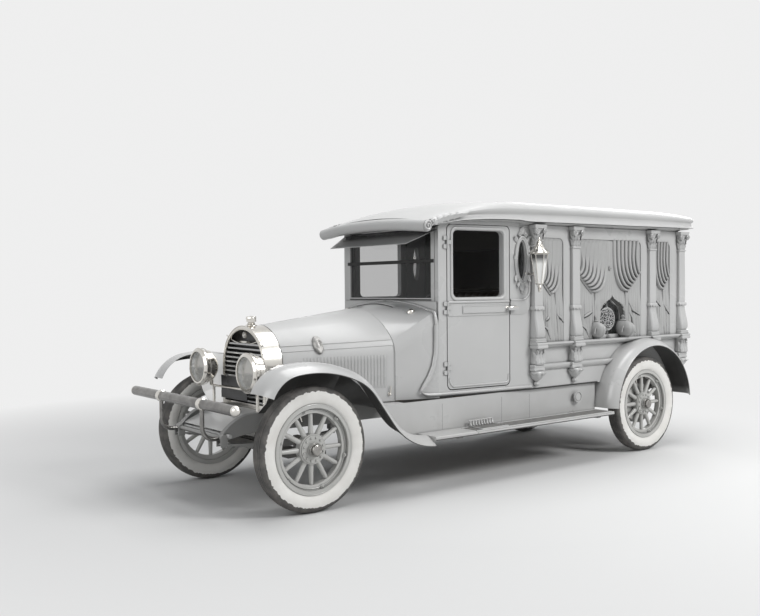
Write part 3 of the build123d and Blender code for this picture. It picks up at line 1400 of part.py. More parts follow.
def side_outer_y(x):
    """Outer face of the body side at this station."""
    return SIDE_Y if x < CAB_REAR else COWL_Y + (WINDSCREEN - x) * tan(SIDE_LEAN)


def make_floor():
    """Cab floor on cross sills, and the load deck on risers, notched round the wheel housings."""
    cab_rear = PARTITION_FRONT - PARTITION_THICKNESS
    cab_front = COWL_FRONT - FIREWALL - 1
    house_y = REAR_FENDER_INNER_Y - 1
    house_x = (REAR_AXLE_X - REAR_FENDER_RADIUS - 2, REAR_AXLE_X + REAR_FENDER_RADIUS + 2)
    deck_half = SIDE_Y - WALL - 1
    deck_low = DECK_Z - DECK_THICKNESS
    with BuildPart() as floor:
        with BuildSketch(Plane.XY.offset(SILL_Z)):
            with BuildLine():
                Polyline(
                    (cab_front, 0),
                    (cab_front, REAR_SECTION[0] - COWL_WALL - 1),
                    (WINDSCREEN, COWL_Y - WALL - 3),
                    (CAB_REAR, deck_half - 4),
                    (cab_rear, deck_half - 4),
                    (cab_rear, 0),
                )
                mirror(about=Plane.XZ)
            make_face()
        extrude(amount=FLOOR_THICKNESS)
        for x in (cab_front - SILL_BEAM, aft(1450), aft(1950)):
            half = (REAR_SECTION[0] if x > WINDSCREEN else side_outer_y(x)) - SILL_TUCK
            span_box((x - SILL_BEAM / 2, x + SILL_BEAM / 2), (-half, half), (RAIL_TOP_Z, SILL_Z))
        deck_run = (BODY_REAR + WALL + SEAT_GAP, cab_rear - SEAT_GAP)
        span_box(deck_run, (-deck_half, deck_half), (deck_low, DECK_Z))
        for x in (aft(2300), aft(2700), aft(3300), aft(3900), BODY_REAR + WALL + SILL_BEAM):
            near_wheel = house_x[0] < x < house_x[1]
            half = house_y if near_wheel else deck_half
            foot = rail_y(x) + RAIL_WIDTH if near_wheel else side_outer_y(x) - SILL_TUCK
            span_box((x - SILL_BEAM / 2, x + SILL_BEAM / 2), (-half, half), (SILL_Z, deck_low))
            span_box((x - SILL_BEAM / 2, x + SILL_BEAM / 2), (-foot, foot), (RAIL_TOP_Z, SILL_Z))
        for side in (1, -1):
            span_box(house_x, (side * house_y, side * SIDE_Y), (SILL_Z, DECK_Z + 1), Mode.SUBTRACT)
    keep(floor, "floor")


def make_partition():
    """Wall between the cab and the load space, with a window in its upper half."""
    half = SIDE_Y - WALL - 1
    rear = PARTITION_FRONT - PARTITION_THICKNESS
    with BuildPart() as wall:
        span_box((rear, PARTITION_FRONT), (-half, half), (SILL_Z + FLOOR_THICKNESS, EAVES_Z))
        span_box((rear - 10, PARTITION_FRONT + 10), (-400, 400), (1450, 1800), Mode.SUBTRACT)
    keep(wall, "partition")


def make_windscreen():
    """Screen frame between the front posts, with a dividing bar; all the fixed panes are one node."""
    front = WINDSCREEN - SEAT_GAP
    half = COWL_Y - WALL - 1
    glass_half = half - SCREEN_BORDER
    lights = (
        (SCREEN_GLASS_LOW_Z, SCREEN_BAR_Z - SCREEN_BAR / 2),
        (SCREEN_BAR_Z + SCREEN_BAR / 2, EAVES_Z - SCREEN_BORDER),
    )
    with BuildPart() as frame:
        span_box((front - SCREEN_DEPTH, front), (-half, half), (SCREEN_LOW_Z, EAVES_Z))
        for light in lights:
            span_box((front - 2 * SCREEN_DEPTH, front + 5), (-glass_half, glass_half), light, Mode.SUBTRACT)
    keep(frame, "windscreen_frame")
    pane_x = front - SCREEN_DEPTH / 2
    pane_y = glass_half - SEAT_GAP
    with BuildPart() as panes:
        extrude(ogee(SIDE_Y - WALL / 2, -SEAT_GAP), amount=GLASS_THICKNESS / 2, both=True)
        with BuildSketch(side_plane().offset(-WALL / 2)):
            with Locations((along_side(OVAL_STATION), OVAL_Z)):
                Ellipse(OVAL_HALF_WIDTH - SEAT_GAP, OVAL_HALF_HEIGHT - SEAT_GAP)
        extrude(amount=GLASS_THICKNESS / 2, both=True)
        mirror(about=Plane.XZ)
        for low, high in lights:
            span_box(
                (pane_x - GLASS_THICKNESS / 2, pane_x + GLASS_THICKNESS / 2),
                (-pane_y, pane_y),
                (low + SEAT_GAP, high - SEAT_GAP),
            )
    keep(panes, "window_glass")


def make_visor():
    """Fixed sun visor that slopes forward and down from the head of the windscreen."""
    back = WINDSCREEN + SEAT_GAP
    with BuildPart() as visor:
        with BuildSketch(side_view(0)):
            with BuildLine():
                Polyline(
                    (back, VISOR_HIGH_Z),
                    (VISOR_FRONT, VISOR_LOW_Z),
                    (VISOR_FRONT, VISOR_LOW_Z + VISOR_SKIN),
                    (back, VISOR_HIGH_Z + VISOR_SKIN),
                    close=True,
                )
            make_face()
        extrude(amount=COWL_Y, both=True)
        with BuildSketch(Plane.XY):
            with BuildLine():
                Polyline(
                    (back, VISOR_HIGH_HALF),
                    (VISOR_FRONT, VISOR_LOW_HALF),
                    (VISOR_FRONT, -VISOR_LOW_HALF),
                    (back, -VISOR_HIGH_HALF),
                    close=True,
                )
            make_face()
        extrude(amount=EAVES_Z, mode=Mode.INTERSECT)
    keep(visor, "sun_visor")


# Roof


def roof_plan():
    """Plan of the roof: narrow in front, swelling aft, with a bowed rear end."""
    corner_x = ROOF_REAR + 50
    corner_y = ROOF_HALF_WIDTH - 20
    swell = ((corner_x + ROOF_FRONT) / 2 - 350, ROOF_HALF_WIDTH)
    brow = (ROOF_FRONT + ROOF_BOW, 0)
    with BuildSketch(Plane.XY.offset(ROOF_DIP_Z - ROOF_TRIM)) as plan:
        with BuildLine():
            ThreePointArc((corner_x, -corner_y), (ROOF_REAR, 0), (corner_x, corner_y))
            side = ThreePointArc((corner_x, corner_y), swell, (ROOF_FRONT, ROOF_FRONT_HALF))
            mirror(side, about=Plane.XZ)
            ThreePointArc((ROOF_FRONT, ROOF_FRONT_HALF), brow, (ROOF_FRONT, -ROOF_FRONT_HALF))
        make_face()
    return plan.sketch


def cabin_plan():
    """Plan of the hollow below the roof, just inside the tops of the walls."""
    inner = SIDE_Y - WALL / 2
    front = COWL_Y - WALL / 2
    with BuildSketch(Plane.XY.offset(EAVES_Z - 20)) as plan:
        with BuildLine():
            Polyline(
                (WINDSCREEN - SCREEN_DEPTH / 2, 0),
                (WINDSCREEN - SCREEN_DEPTH / 2, front),
                (CAB_REAR, inner),
                (BODY_REAR + WALL / 2, inner),
                (BODY_REAR + WALL / 2, 0),
            )
            mirror(about=Plane.XZ)
        make_face()
    return plan.sketch


def ridge_line(top):
    """The roof's ridge at this height: a brow that falls to the front, a level run and a slight fall aft."""
    brow = asin((ROOF_FRONT + ROOF_TRIM - ROOF_LEVEL_FRONT) / ROOF_BROW_RADIUS)
    fall = degrees(asin((ROOF_LEVEL_REAR - ROOF_REAR + ROOF_TRIM) / ROOF_FALL_RADIUS))
    start = (ROOF_FRONT + ROOF_TRIM, top - ROOF_BROW_RADIUS * (1 - cos(brow)))
    with BuildLine(side_view(0)) as ridge:
        first = JernArc(start, (-cos(brow), sin(brow)), ROOF_BROW_RADIUS, degrees(brow))
        level = Line(first @ 1, first @ 1 - Vector(ROOF_LEVEL_FRONT - ROOF_LEVEL_REAR, 0, 0))
        JernArc(level @ 1, (-1, 0), ROOF_FALL_RADIUS, fall)
    return ridge.line


def crowned_form(drop):
    """The roof's mass, arched across and along, lowered by this much and not yet trimmed to a plan."""
    ridge = ridge_line(ROOF_TOP_Z - drop)
    wide = ROOF_HALF_WIDTH + 20
    with BuildPart() as form:
        with BuildSketch(Plane(origin=ridge @ 0, x_dir=(0, -1, 0), z_dir=ridge % 0)) as section:
            with BuildLine():
                ThreePointArc((-wide, -ROOF_CROSS_DROP), (0, 0), (wide, -ROOF_CROSS_DROP))
                Polyline(
                    (wide, -ROOF_CROSS_DROP), (wide, -ROOF_MASS), (-wide, -ROOF_MASS), (-wide, -ROOF_CROSS_DROP)
                )
            make_face()
        sweep(section.sketch, path=ridge)
    return form.part


def below_eaves():
    """Everything below the roof: level over the body, dipping under the brow ahead of the windscreen."""
    eaves = EAVES_Z + SEAT_GAP
    with BuildPart() as below:
        with BuildSketch(side_view(0)):
            with BuildLine():
                Polyline(
                    (ROOF_REAR - ROOF_TRIM, ROOF_DIP_Z - ROOF_MASS),
                    (ROOF_REAR - ROOF_TRIM, eaves),
                    (WINDSCREEN + ROOF_DIP_START, eaves),
                    (ROOF_FRONT - ROOF_ROLL_RADIUS, ROOF_DIP_Z),
                    (ROOF_FRONT + 2 * ROOF_TRIM, ROOF_DIP_Z),
                    (ROOF_FRONT + 2 * ROOF_TRIM, ROOF_DIP_Z - ROOF_MASS),
                    close=True,
                )
            make_face()
        extrude(amount=ROOF_HALF_WIDTH + ROOF_TRIM, both=True)
    return below.part


def make_roof():
    """Crowned roof that overhangs the sides, rounded at the edges, hollow below, with a rolled brow."""
    with BuildPart() as hollow:
        add(crowned_form(ROOF_SHELL))
        extrude(cabin_plan(), amount=ROOF_MASS, mode=Mode.INTERSECT)
    with BuildPart() as roof:
        add(crowned_form(0))
        extrude(roof_plan(), amount=ROOF_MASS, mode=Mode.INTERSECT)
        tops = roof.faces().filter_by(lambda face: face.normal_at().Z > 0.9)
        rim = tops.edges().filter_by(
            lambda edge: abs(edge.center().Y) > ROOF_TRIM or edge.center().X < ROOF_REAR + 4 * ROOF_TRIM
        )
        fillet(rim, ROOF_EDGE_RADIUS)
        add(below_eaves(), mode=Mode.SUBTRACT)
        add(hollow.part, mode=Mode.SUBTRACT)
        half = ROOF_FRONT_HALF - ROOF_ROLL_TUCK
        with BuildLine():
            brow = ThreePointArc(
                (ROOF_FRONT - ROOF_ROLL_TUCK, -half, ROOF_ROLL_Z),
                (ROOF_FRONT + ROOF_BOW - ROOF_ROLL_TUCK, 0, ROOF_ROLL_Z + ROOF_ROLL_RISE),
                (ROOF_FRONT - ROOF_ROLL_TUCK, half, ROOF_ROLL_Z),
            )
        with BuildSketch(Plane(origin=brow @ 0, z_dir=brow % 0)):
            Circle(ROOF_ROLL_RADIUS)
        sweep(path=brow)
    keep(roof, "roof")


# Carved work


def make_mouldings():
    """Ledge and lower moulding along each side, stepped out under the columns, broken by the fender."""
    face = SIDE_Y + SEAT_GAP
    low_y = SIDE_Y + LOWER_MOULD_DEPTH
    rows = (
        (CAB_REAR - 10, BODY_REAR, LEDGE_Y, LEDGE_LOW_Z, LEDGE_HIGH_Z),
        (CAB_REAR - 10, BODY_REAR, low_y, LOWER_MOULD_LOW_Z, LOWER_MOULD_HIGH_Z),
    )
    with BuildPart() as rails:
        for front, rear, outer, low, high in rows:
            nosing = (outer, high - (high - low) / 3)
            root = (face + LEDGE_ROOT, low)
            belly = (face + (outer - face) * 0.66, low + (high - low) * 0.24)
            with BuildSketch(front_view(rear)):
                with BuildLine():
                    Polyline(root, (face, low), (face, high), (outer, high), nosing)
                    ThreePointArc(nosing, belly, root)
                make_face()
            extrude(amount=front - rear)
            for x in COLUMN_STATIONS:
                ends = (x - COLUMN_FOOT_RADIUS, x + COLUMN_FOOT_RADIUS)
                span_box(ends, (face, outer + BREAK_OUT), (low, high))
        with Locations((REAR_AXLE_X, SIDE_Y, TYRE_RADIUS)):
            Cylinder(REAR_FENDER_RADIUS + SEAT_GAP, 400, rotation=(90, 0, 0), mode=Mode.SUBTRACT)
        mirror(about=Plane.XZ)
    keep(rails, "side_mouldings")


def column_profile(plane):
    """Half profile of an engaged column: foot, vase, leaf ring, tapered shaft, necking, capital."""
    base = LEDGE_HIGH_Z + SEAT_GAP
    top = EAVES_Z - SEAT_GAP
    foot, vase, shaft = COLUMN_FOOT_RADIUS, COLUMN_VASE_RADIUS, COLUMN_SHAFT_RADIUS
    leaf_top = COLUMN_LEAF_Z + COLUMN_LEAF
    low, waist = (vase - 5, base + COLUMN_FOOT + 6), (shaft + 4, COLUMN_LEAF_Z)
    with BuildSketch(plane) as profile:
        with BuildLine():
            Polyline((0, top), (0, base), (foot, base), (foot, base + COLUMN_FOOT), low)
            ThreePointArc(low, (vase - 2, low[1] + (COLUMN_LEAF_Z - low[1]) * 0.45), waist)
            Polyline(
                waist,
                (vase - 2, COLUMN_LEAF_Z),
                (vase - 2, leaf_top),
                (shaft, leaf_top + 6),
                (shaft - 2, COLUMN_NECK_Z),
                (shaft + 10, COLUMN_NECK_Z),
                (shaft + 10, COLUMN_NECK_Z + 14),
            )
            ThreePointArc(
                (shaft + 10, COLUMN_NECK_Z + 14),
                (shaft + 13, (COLUMN_NECK_Z + COLUMN_CAPITAL_Z) / 2),
                (foot, COLUMN_CAPITAL_Z),
            )
            Polyline((foot, COLUMN_CAPITAL_Z), (foot, top), (0, top))
        make_face()
    return profile.sketch


def column_bracket(x):
    """The bracket below the ledge under a column, and the turned drop below the lower moulding."""
    face = SIDE_Y + SEAT_GAP
    low = LOWER_MOULD_HIGH_Z + SEAT_GAP
    high = LEDGE_LOW_Z - SEAT_GAP
    with BuildSketch(front_view(x)) as bracket:
        with BuildLine():
            Polyline((face + 14, low), (face, low), (face, high), (LEDGE_Y - 8, high))
            TangentArc((LEDGE_Y - 8, high), (face + 14, low), tangent=(0, -1))
        make_face()
    extrude(bracket.sketch, amount=BRACKET_HALF, both=True)
    top = LOWER_MOULD_LOW_Z - SEAT_GAP
    cup = (DROP_RADIUS, top - 14)
    throat = (DROP_RADIUS * 0.3, top - DROP_LENGTH * 0.62)
    tip = (0, top - DROP_LENGTH)
    with BuildSketch(Plane(origin=(x, SIDE_Y, 0), x_dir=(1, 0, 0), z_dir=(0, -1, 0))) as drop:
        with BuildLine():
            Polyline(tip, (0, top), (DROP_RADIUS, top), cup)
            ThreePointArc(cup, (DROP_RADIUS * 0.78, top - DROP_LENGTH * 0.44), throat)
            ThreePointArc(throat, (DROP_RADIUS * 0.4, top - DROP_LENGTH * 0.82), tip)
        make_face()
    revolve(drop.sketch, axis=Axis((x, SIDE_Y, 0), (0, 0, 1)))


def make_columns():
    """Engaged columns along each load side, each on a backing strip, with a bracket and a drop below."""
    face = SIDE_Y + SEAT_GAP
    backing = (LEDGE_HIGH_Z + SEAT_GAP, EAVES_Z - SEAT_GAP)
    with BuildPart() as columns:
        for x in COLUMN_STATIONS:
            plane = Plane(origin=(x, COLUMN_Y, 0), x_dir=(1, 0, 0), z_dir=(0, -1, 0))
            revolve(column_profile(plane), axis=Axis((x, COLUMN_Y, 0), (0, 0, 1)))
            span_box((x - BACKING_HALF, x + BACKING_HALF), (face, face + BACKING_DEPTH), backing)
            if abs(x - REAR_AXLE_X) > REAR_FENDER_RADIUS - 40:
                column_bracket(x)
        span_box((BODY_REAR - 100, CAB_REAR + 100), (face, face + 200), (SILL_Z, EAVES_Z), Mode.INTERSECT)
        mirror(about=Plane.XZ)
    keep(columns, "columns")


def make_panels():
    """Raised panel frames between the columns, round-cornered, and the ogee window's surround."""
    face = SIDE_Y + SEAT_GAP
    low = LEDGE_HIGH_Z + SEAT_GAP
    height = PANEL_TOP_Z - low
    with BuildPart() as panels:
        for front, rear in zip(COLUMN_STATIONS, COLUMN_STATIONS[1:]):
            width = front - rear - 2 * (COLUMN_FOOT_RADIUS + 6)
            with BuildSketch(side_view(face)):
                with Locations(((front + rear) / 2, (low + PANEL_TOP_Z) / 2)):
                    Rectangle(width, height)
                    RectangleRounded(
                        width - 2 * PANEL_BORDER, height - 2 * PANEL_BORDER, PANEL_CORNER, mode=Mode.SUBTRACT
                    )
            extrude(amount=-PANEL_DEPTH)
        extrude(ogee(face, OGEE_FRAME) - ogee(face, 0), amount=-2 * PANEL_DEPTH)
        mirror(about=Plane.XZ)
    keep(panels, "carved_panels")


def make_coach_lamps():
    """Pagoda-topped side lamps on brackets at the first columns."""
    x, y = COACH_LAMP_X, COACH_LAMP_Y
    low, glass, cap, top = COACH_LAMP_LOW_Z, COACH_LAMP_GLASS_Z, COACH_LAMP_CAP_Z, COACH_LAMP_TOP_Z
    foot, head, eave = COACH_LAMP_FOOT_RADIUS, COACH_LAMP_HEAD_RADIUS, COACH_LAMP_CAP_RADIUS
    half = COACH_LAMP_BRACKET / 2
    with BuildPart() as lamps:
        with BuildSketch(Plane(origin=(x, y, 0), x_dir=(1, 0, 0), z_dir=(0, -1, 0))):
            with BuildLine():
                Polyline(
                    (0, low),
                    (10, low + 12),
                    (14, low + 35),
                    (foot + 6, glass - 10),
                    (foot + 6, glass),
                    (foot, glass + 4),
                    (head, cap - 6),
                    (eave, cap),
                    (eave, cap + 10),
                )
                ThreePointArc((eave, cap + 10), (eave * 0.55, cap + 32), (26, cap + 72))
                Polyline((26, cap + 72), (14, cap + 84), (14, cap + 102), (0, top), (0, low))
            make_face()
        revolve(axis=Axis((x, y, 0), (0, 0, 1)))
        root = side_outer_y(x - half) + SEAT_GAP
        span_box((x - half, x + half), (root, y), (COACH_LAMP_BRACKET_Z - half, COACH_LAMP_BRACKET_Z + half))
        mirror(about=Plane.XZ)
    keep(lamps, "coach_lamps")


# Cab fittings


def make_seat():
    """Bench seat: a box base on the floor, a deep cushion and a back against the partition."""
    rear = PARTITION_FRONT + SEAT_GAP
    floor_top = SILL_Z + FLOOR_THICKNESS + SEAT_GAP
    base_top = SEAT_BASE_TOP_Z + SEAT_GAP
    with BuildPart() as base:
        span_box((rear, SEAT_FRONT - 20), (-SEAT_HALF, SEAT_HALF), (floor_top, SEAT_BASE_TOP_Z))
    keep(base, "seat_base")
    with BuildPart() as cushion:
        span_box((SEAT_BACK_FRONT + SEAT_GAP, SEAT_FRONT), (-SEAT_HALF, SEAT_HALF), (base_top, SEAT_TOP_Z))
        fillet(cushion.edges(), 28)
    keep(cushion, "seat_cushion")
    with BuildPart() as back:
        span_box((rear, SEAT_BACK_FRONT), (-SEAT_HALF, SEAT_HALF), (base_top, SEAT_BACK_TOP_Z))
        fillet(back.edges(), 28)
    keep(back, "seat_back")


def make_steering():
    """Steering box on the left rail, the raked column, and the four-spoked wheel on its shaft."""
    top = steer_plane()
    run = Vector(STEER_WHEEL_X - STEER_BOX_X, 0, STEER_WHEEL_Z - STEER_BOX_Z).length
    hub_low = -STEER_HUB_DEPTH / 2
    socket = STEER_HUB_DEPTH * 0.8
    with BuildPart() as column:
        with BuildSketch(top.offset(hub_low - 1)):
            Circle(STEER_COLUMN_RADIUS)
        extrude(amount=-(run + hub_low - 1))
        with BuildSketch(top.offset(hub_low - 10)):
            Circle(STEER_SHAFT_RADIUS)
        extrude(amount=socket)
        span_box(
            (STEER_BOX_X - 60, STEER_BOX_X + 60),
            (STEER_Y - 34, STEER_Y + 34),
            (RAIL_TOP_Z + SEAT_GAP, STEER_BOX_Z + 40),
        )
    keep(column, "steering_column")
    with BuildPart() as wheel:
        Torus(STEER_WHEEL_RADIUS, STEER_RIM_RADIUS)
        with BuildSketch():
            with PolarLocations(STEER_WHEEL_RADIUS / 2, 4, start_angle=45):
                Rectangle(STEER_WHEEL_RADIUS - 10, STEER_SPOKE)
        extrude(amount=STEER_SPOKE / 4, both=True)
        Cylinder(STEER_HUB_RADIUS, STEER_HUB_DEPTH)
        with Locations((0, 0, hub_low)):
            Cylinder(
                STEER_SHAFT_RADIUS + BEARING_GAP,
                socket,
                align=(Align.CENTER, Align.CENTER, Align.MIN),
                mode=Mode.SUBTRACT,
            )
    placed = top * wheel.part
    placed.label = "steering_wheel"
    parts[placed.label] = placed


def make_all():
    """Builds every piece in the order of the vehicle's own assembly."""
    make_wheels()
    make_front_axle()
    make_knuckles()
    make_tie_rod()
    make_rear_axle()
    make_springs()
    make_chassis()
    make_engine()
    make_exhaust()
    make_tank()
    make_radiator()
    make_hood()
    make_cowl()
    make_front_fenders()
    make_rear_fenders()
    make_boards()
    make_bumper()
    make_headlamps()
    make_splash_pan()
    make_body_sides()
    make_doors()
    make_body_rear()
    make_rear_door()
    make_floor()
    make_partition()
    make_windscreen()
    make_visor()
    make_roof()
    make_mouldings()
    make_columns()
    make_panels()
    make_coach_lamps()
    make_seat()
    make_steering()


os.makedirs("parts", exist_ok=True)
make_all()
for node, shape in parts.items():
    export_step(shape, f"parts/{node}.step")
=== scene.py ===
"""Looks of a carved-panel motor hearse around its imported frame. Metres, X forward, Y left, Z up."""

from math import atan2, cos, pi, radians, sin, sqrt, tan

import bmesh
import bpy
from mathutils import Matrix, Vector


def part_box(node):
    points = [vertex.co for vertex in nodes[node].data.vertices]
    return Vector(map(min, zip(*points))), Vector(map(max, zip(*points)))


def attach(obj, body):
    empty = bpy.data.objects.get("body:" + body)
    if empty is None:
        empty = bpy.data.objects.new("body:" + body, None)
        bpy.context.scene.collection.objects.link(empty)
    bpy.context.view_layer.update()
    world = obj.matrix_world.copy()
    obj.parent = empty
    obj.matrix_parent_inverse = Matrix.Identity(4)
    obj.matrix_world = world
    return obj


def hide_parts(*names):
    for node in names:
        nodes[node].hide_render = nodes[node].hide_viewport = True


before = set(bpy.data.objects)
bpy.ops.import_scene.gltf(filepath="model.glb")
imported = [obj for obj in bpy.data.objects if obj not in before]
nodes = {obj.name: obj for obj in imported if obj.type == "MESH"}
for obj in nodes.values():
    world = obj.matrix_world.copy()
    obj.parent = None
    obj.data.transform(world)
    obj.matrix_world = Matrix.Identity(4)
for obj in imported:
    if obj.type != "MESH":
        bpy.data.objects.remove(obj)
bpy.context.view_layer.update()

# Places shared by several pieces
FRONT_AXLE_X = 1.876
REAR_AXLE_X = -1.731
AXLE_Z = 0.4225
WHEEL_Y = 0.711
HOOD_FRONT_X = 1.826
HOOD_REAR_X = 0.976
SCREEN_X = 0.626
CAB_REAR_X = -0.322
REAR_X = -2.36
COWL_Y = 0.6
SIDE_Y = 0.682
SIDE_LEAN = atan2(0.082, 0.948)
SIDE_OUT = Vector((sin(SIDE_LEAN), cos(SIDE_LEAN), 0))
COLUMN_X = (-0.352, -0.821, -1.889, -2.346)
BRACKET_REACH = 0.552
LEDGE_Z = 1.03
X_AXIS, Y_AXIS, Z_AXIS = Vector((1, 0, 0)), Vector((0, 1, 0)), Vector((0, 0, 1))


def side_y(x):
    """Outer face of the body side at this X: it leans out along the cab and runs straight behind it."""
    if x < CAB_REAR_X:
        return SIDE_Y
    return COWL_Y + (SCREEN_X - x) * tan(SIDE_LEAN)


def on_side(x, z, lift=0.0):
    """A point on the left side of the body, lifted off it."""
    lean = SIDE_LEAN if x > CAB_REAR_X else 0.0
    return Vector((x + sin(lean) * lift, side_y(x) + cos(lean) * lift, z))


def on_rear(y, z, lift=0.0):
    """A point on the rear wall, lifted off it."""
    return Vector((REAR_X - lift, y, z))


def cowl_point(x, y, lift=0.0):
    """A point on top of the cowl, whose crown is an arc between edges that rise towards the windscreen."""
    share = (HOOD_REAR_X - x) / (HOOD_REAR_X - SCREEN_X)
    top = 1.33 + 0.05 * share
    edge_y, edge_z = 0.47 + 0.095 * share, 1.1 + 0.21 * share
    radius = (edge_y**2 + (top - edge_z) ** 2) / (2 * (top - edge_z))
    return Vector((x, y, top - radius + sqrt(radius**2 - y * y) + lift))


# Materials


def node(tree, kind, inputs=(), **settings):
    """A new shader node; inputs gives its sockets plain values, or the sockets that feed them."""
    made = tree.nodes.new("ShaderNode" + kind)
    for name, value in settings.items():
        setattr(made, name, value)
    for socket, value in dict(inputs).items():
        if isinstance(value, bpy.types.NodeSocket):
            tree.links.new(value, made.inputs[socket])
        else:
            made.inputs[socket].default_value = value
    return made


def dimmed(colour, share):
    """The colour at this share of its brightness."""
    return tuple(channel * share for channel in colour)


class Finish:
    """A material in the making: its node tree, its shader, and the nodes that feed it."""

    def __init__(self, name, base, roughness, metallic=0.0, **sockets):
        self.material = bpy.data.materials.new(name)
        self.material.use_nodes = True
        self.tree = self.material.node_tree
        self.shader = self.tree.nodes["Principled BSDF"]
        plain = {"Base_Color": (*base, 1), "Roughness": roughness, "Metallic": metallic, **sockets}
        for socket, value in plain.items():
            self.shader.inputs[socket.replace("_", " ")].default_value = value

    def spot(self):
        """The piece's own coordinates."""
        return node(self.tree, "TexCoord").outputs["Object"]

    def axis(self, name):
        """One of the piece's own coordinates."""
        return node(self.tree, "SeparateXYZ", {"Vector": self.spot()}).outputs[name]

    def reach(self, along):
        """Distance from the piece's origin, counting only the axes that are 1."""
        flat = node(self.tree, "VectorMath", {0: self.spot(), 1: along}, operation="MULTIPLY")
        return node(self.tree, "VectorMath", {0: flat.outputs["Vector"]}, operation="LENGTH").outputs["Value"]

    def noise(self, scale, detail=4.0, stretch=(1, 1, 1)):
        """Noise on the piece's own coordinates."""
        place = node(self.tree, "Mapping", {"Vector": self.spot(), "Scale": stretch}).outputs["Vector"]
        return node(self.tree, "TexNoise", {"Vector": place, "Scale": scale, "Detail": detail}).outputs["Fac"]

    def math(self, operation, *values):
        """The result of an operation on sockets and numbers."""
        return node(self.tree, "Math", enumerate(values), operation=operation).outputs[0]

    def remap(self, value, low, high, out_low=0.0, out_high=1.0):
        """The value from low..high carried to out_low..out_high."""
        ends = {"From Min": low, "From Max": high, "To Min": out_low, "To Max": out_high}
        return node(self.tree, "MapRange", {"Value": value, **ends}).outputs["Result"]

    def mix(self, factor, first, second):
        """A blend of two colours, plain or from sockets, by the factor's socket."""
        blend = node(self.tree, "Mix", {"Factor": factor}, data_type="RGBA")
        for name, colour in (("A", first), ("B", second)):
            socket = next(s for s in blend.inputs if s.name == name and s.type == "RGBA")
            if isinstance(colour, tuple):
                socket.default_value = (*colour, 1)
            else:
                self.tree.links.new(colour, socket)
        return next(s for s in blend.outputs if s.type == "RGBA")

    def feed(self, socket, value):
        """Links a value to one of the shader's sockets."""
        self.tree.links.new(value, self.shader.inputs[socket])

    def bump(self, height, strength, distance=0.002):
        """Bump from a height socket."""
        relief = node(self.tree, "Bump", {"Height": height, "Strength": strength, "Distance": distance})
        self.feed("Normal", relief.outputs["Normal"])


def paint(name, base, roughness=0.3, dust_top=0.75, gloss=0.5, reach=0.025, recess_shade=0.45, under=None):
    """Brushed coach paint: faint unevenness, painted shade in the recesses from ambient occlusion, road dust that thins
    out with height, and painted shade on downward faces where an underside colour is given.
    """
    finish = Finish(name, base, roughness, Coat_Weight=gloss, Coat_Roughness=0.12)
    cloud = finish.noise(2.2, 5.0)
    clean = finish.mix(finish.remap(cloud, 0.35, 0.7), base, dimmed(base, 0.93))
    low = finish.remap(finish.axis("Z"), 0.15, dust_top, 0.55, 0.0)
    patches = finish.remap(finish.noise(9.0, 6.0), 0.3, 0.7, 0.4, 1.0)
    dusty = finish.mix(finish.math("MULTIPLY", low, patches), clean, (0.36, 0.35, 0.33))
    # Painted shade: ambient occlusion within the reach darkens recesses, creases and corners towards a dimmed base.
    occlusion_shade = node(finish.tree, "AmbientOcclusion", {"Distance": reach}, samples=6).outputs["AO"]
    colour = finish.mix(finish.remap(occlusion_shade, 0.3, 0.85), dimmed(base, recess_shade), dusty)
    # Painted shade: faces that look down take the given dark underside colour.
    if under:
        facing = node(finish.tree, "NewGeometry").outputs["Normal"]
        tilt = node(finish.tree, "SeparateXYZ", {"Vector": facing}).outputs["Z"]
        colour = finish.mix(finish.remap(tilt, -0.02, -0.2), colour, under)
    finish.feed("Base Color", colour)
    finish.feed("Roughness", finish.remap(cloud, 0.3, 0.7, roughness * 0.85, roughness * 1.25))
    finish.bump(finish.noise(60.0, 2.0), 0.06)
    return finish.material


def worn(name, base, other, roughness, metallic=0.0, scale=18.0, bump=0.25, stretch=(1, 1, 1), **sockets):
    """A surface whose colour and roughness wander between two tones."""
    finish = Finish(name, base, roughness, metallic, **sockets)
    patches = finish.noise(scale, 6.0, stretch)
    finish.feed("Base Color", finish.mix(finish.remap(patches, 0.35, 0.65), base, other))
    finish.feed("Roughness", finish.remap(patches, 0.3, 0.7, roughness * 0.8, min(1.0, roughness * 1.25)))
    finish.bump(patches, bump)
    return finish.material


def make_tyre_paint():
    """Whitened rubber up to a ragged edge, bare rubber outside it, by the distance from the wheel's centre."""
    rubber, white, edge = (0.075, 0.073, 0.07), (0.78, 0.77, 0.74), (0.4035, 0.4015)
    finish = Finish("tyre rubber and whitening", rubber, 0.75)
    ragged = finish.math("MULTIPLY_ADD", finish.noise(42.0, 9.0), 0.03, finish.reach((1, 0, 1)))
    grime = finish.remap(finish.noise(7.0, 6.0), 0.35, 0.75, 0.0, 0.3)
    soiled = finish.mix(grime, white, (0.42, 0.39, 0.35))
    dusty = finish.mix(finish.remap(finish.noise(14.0, 6.0), 0.4, 0.7), rubber, (0.15, 0.14, 0.13))
    finish.feed("Base Color", finish.mix(finish.remap(ragged, *edge), dusty, soiled))
    finish.bump(finish.noise(90.0, 4.0), 0.25)
    return finish.material


def make_bumper_plate_dark_reflection():
    """Bright plate on the bumper's ends, and along its bar a plate darkened by a painted dark reflection."""
    finish = Finish("bumper plate", (0.2, 0.2, 0.2), 0.24, 1.0)
    # Painted reflection: the bar's dark tones stand in for the dark surroundings its plate mirrors.
    bar = finish.mix(finish.remap(finish.noise(13.0, 6.0), 0.35, 0.65), (0.17, 0.165, 0.16), (0.27, 0.265, 0.255))
    ends = finish.remap(finish.math("ABSOLUTE", finish.axis("Y")), 0.755, 0.76)
    finish.feed("Base Color", finish.mix(ends, bar, (0.72, 0.7, 0.66)))
    finish.bump(finish.noise(50.0, 3.0), 0.03, 0.001)
    return finish.material


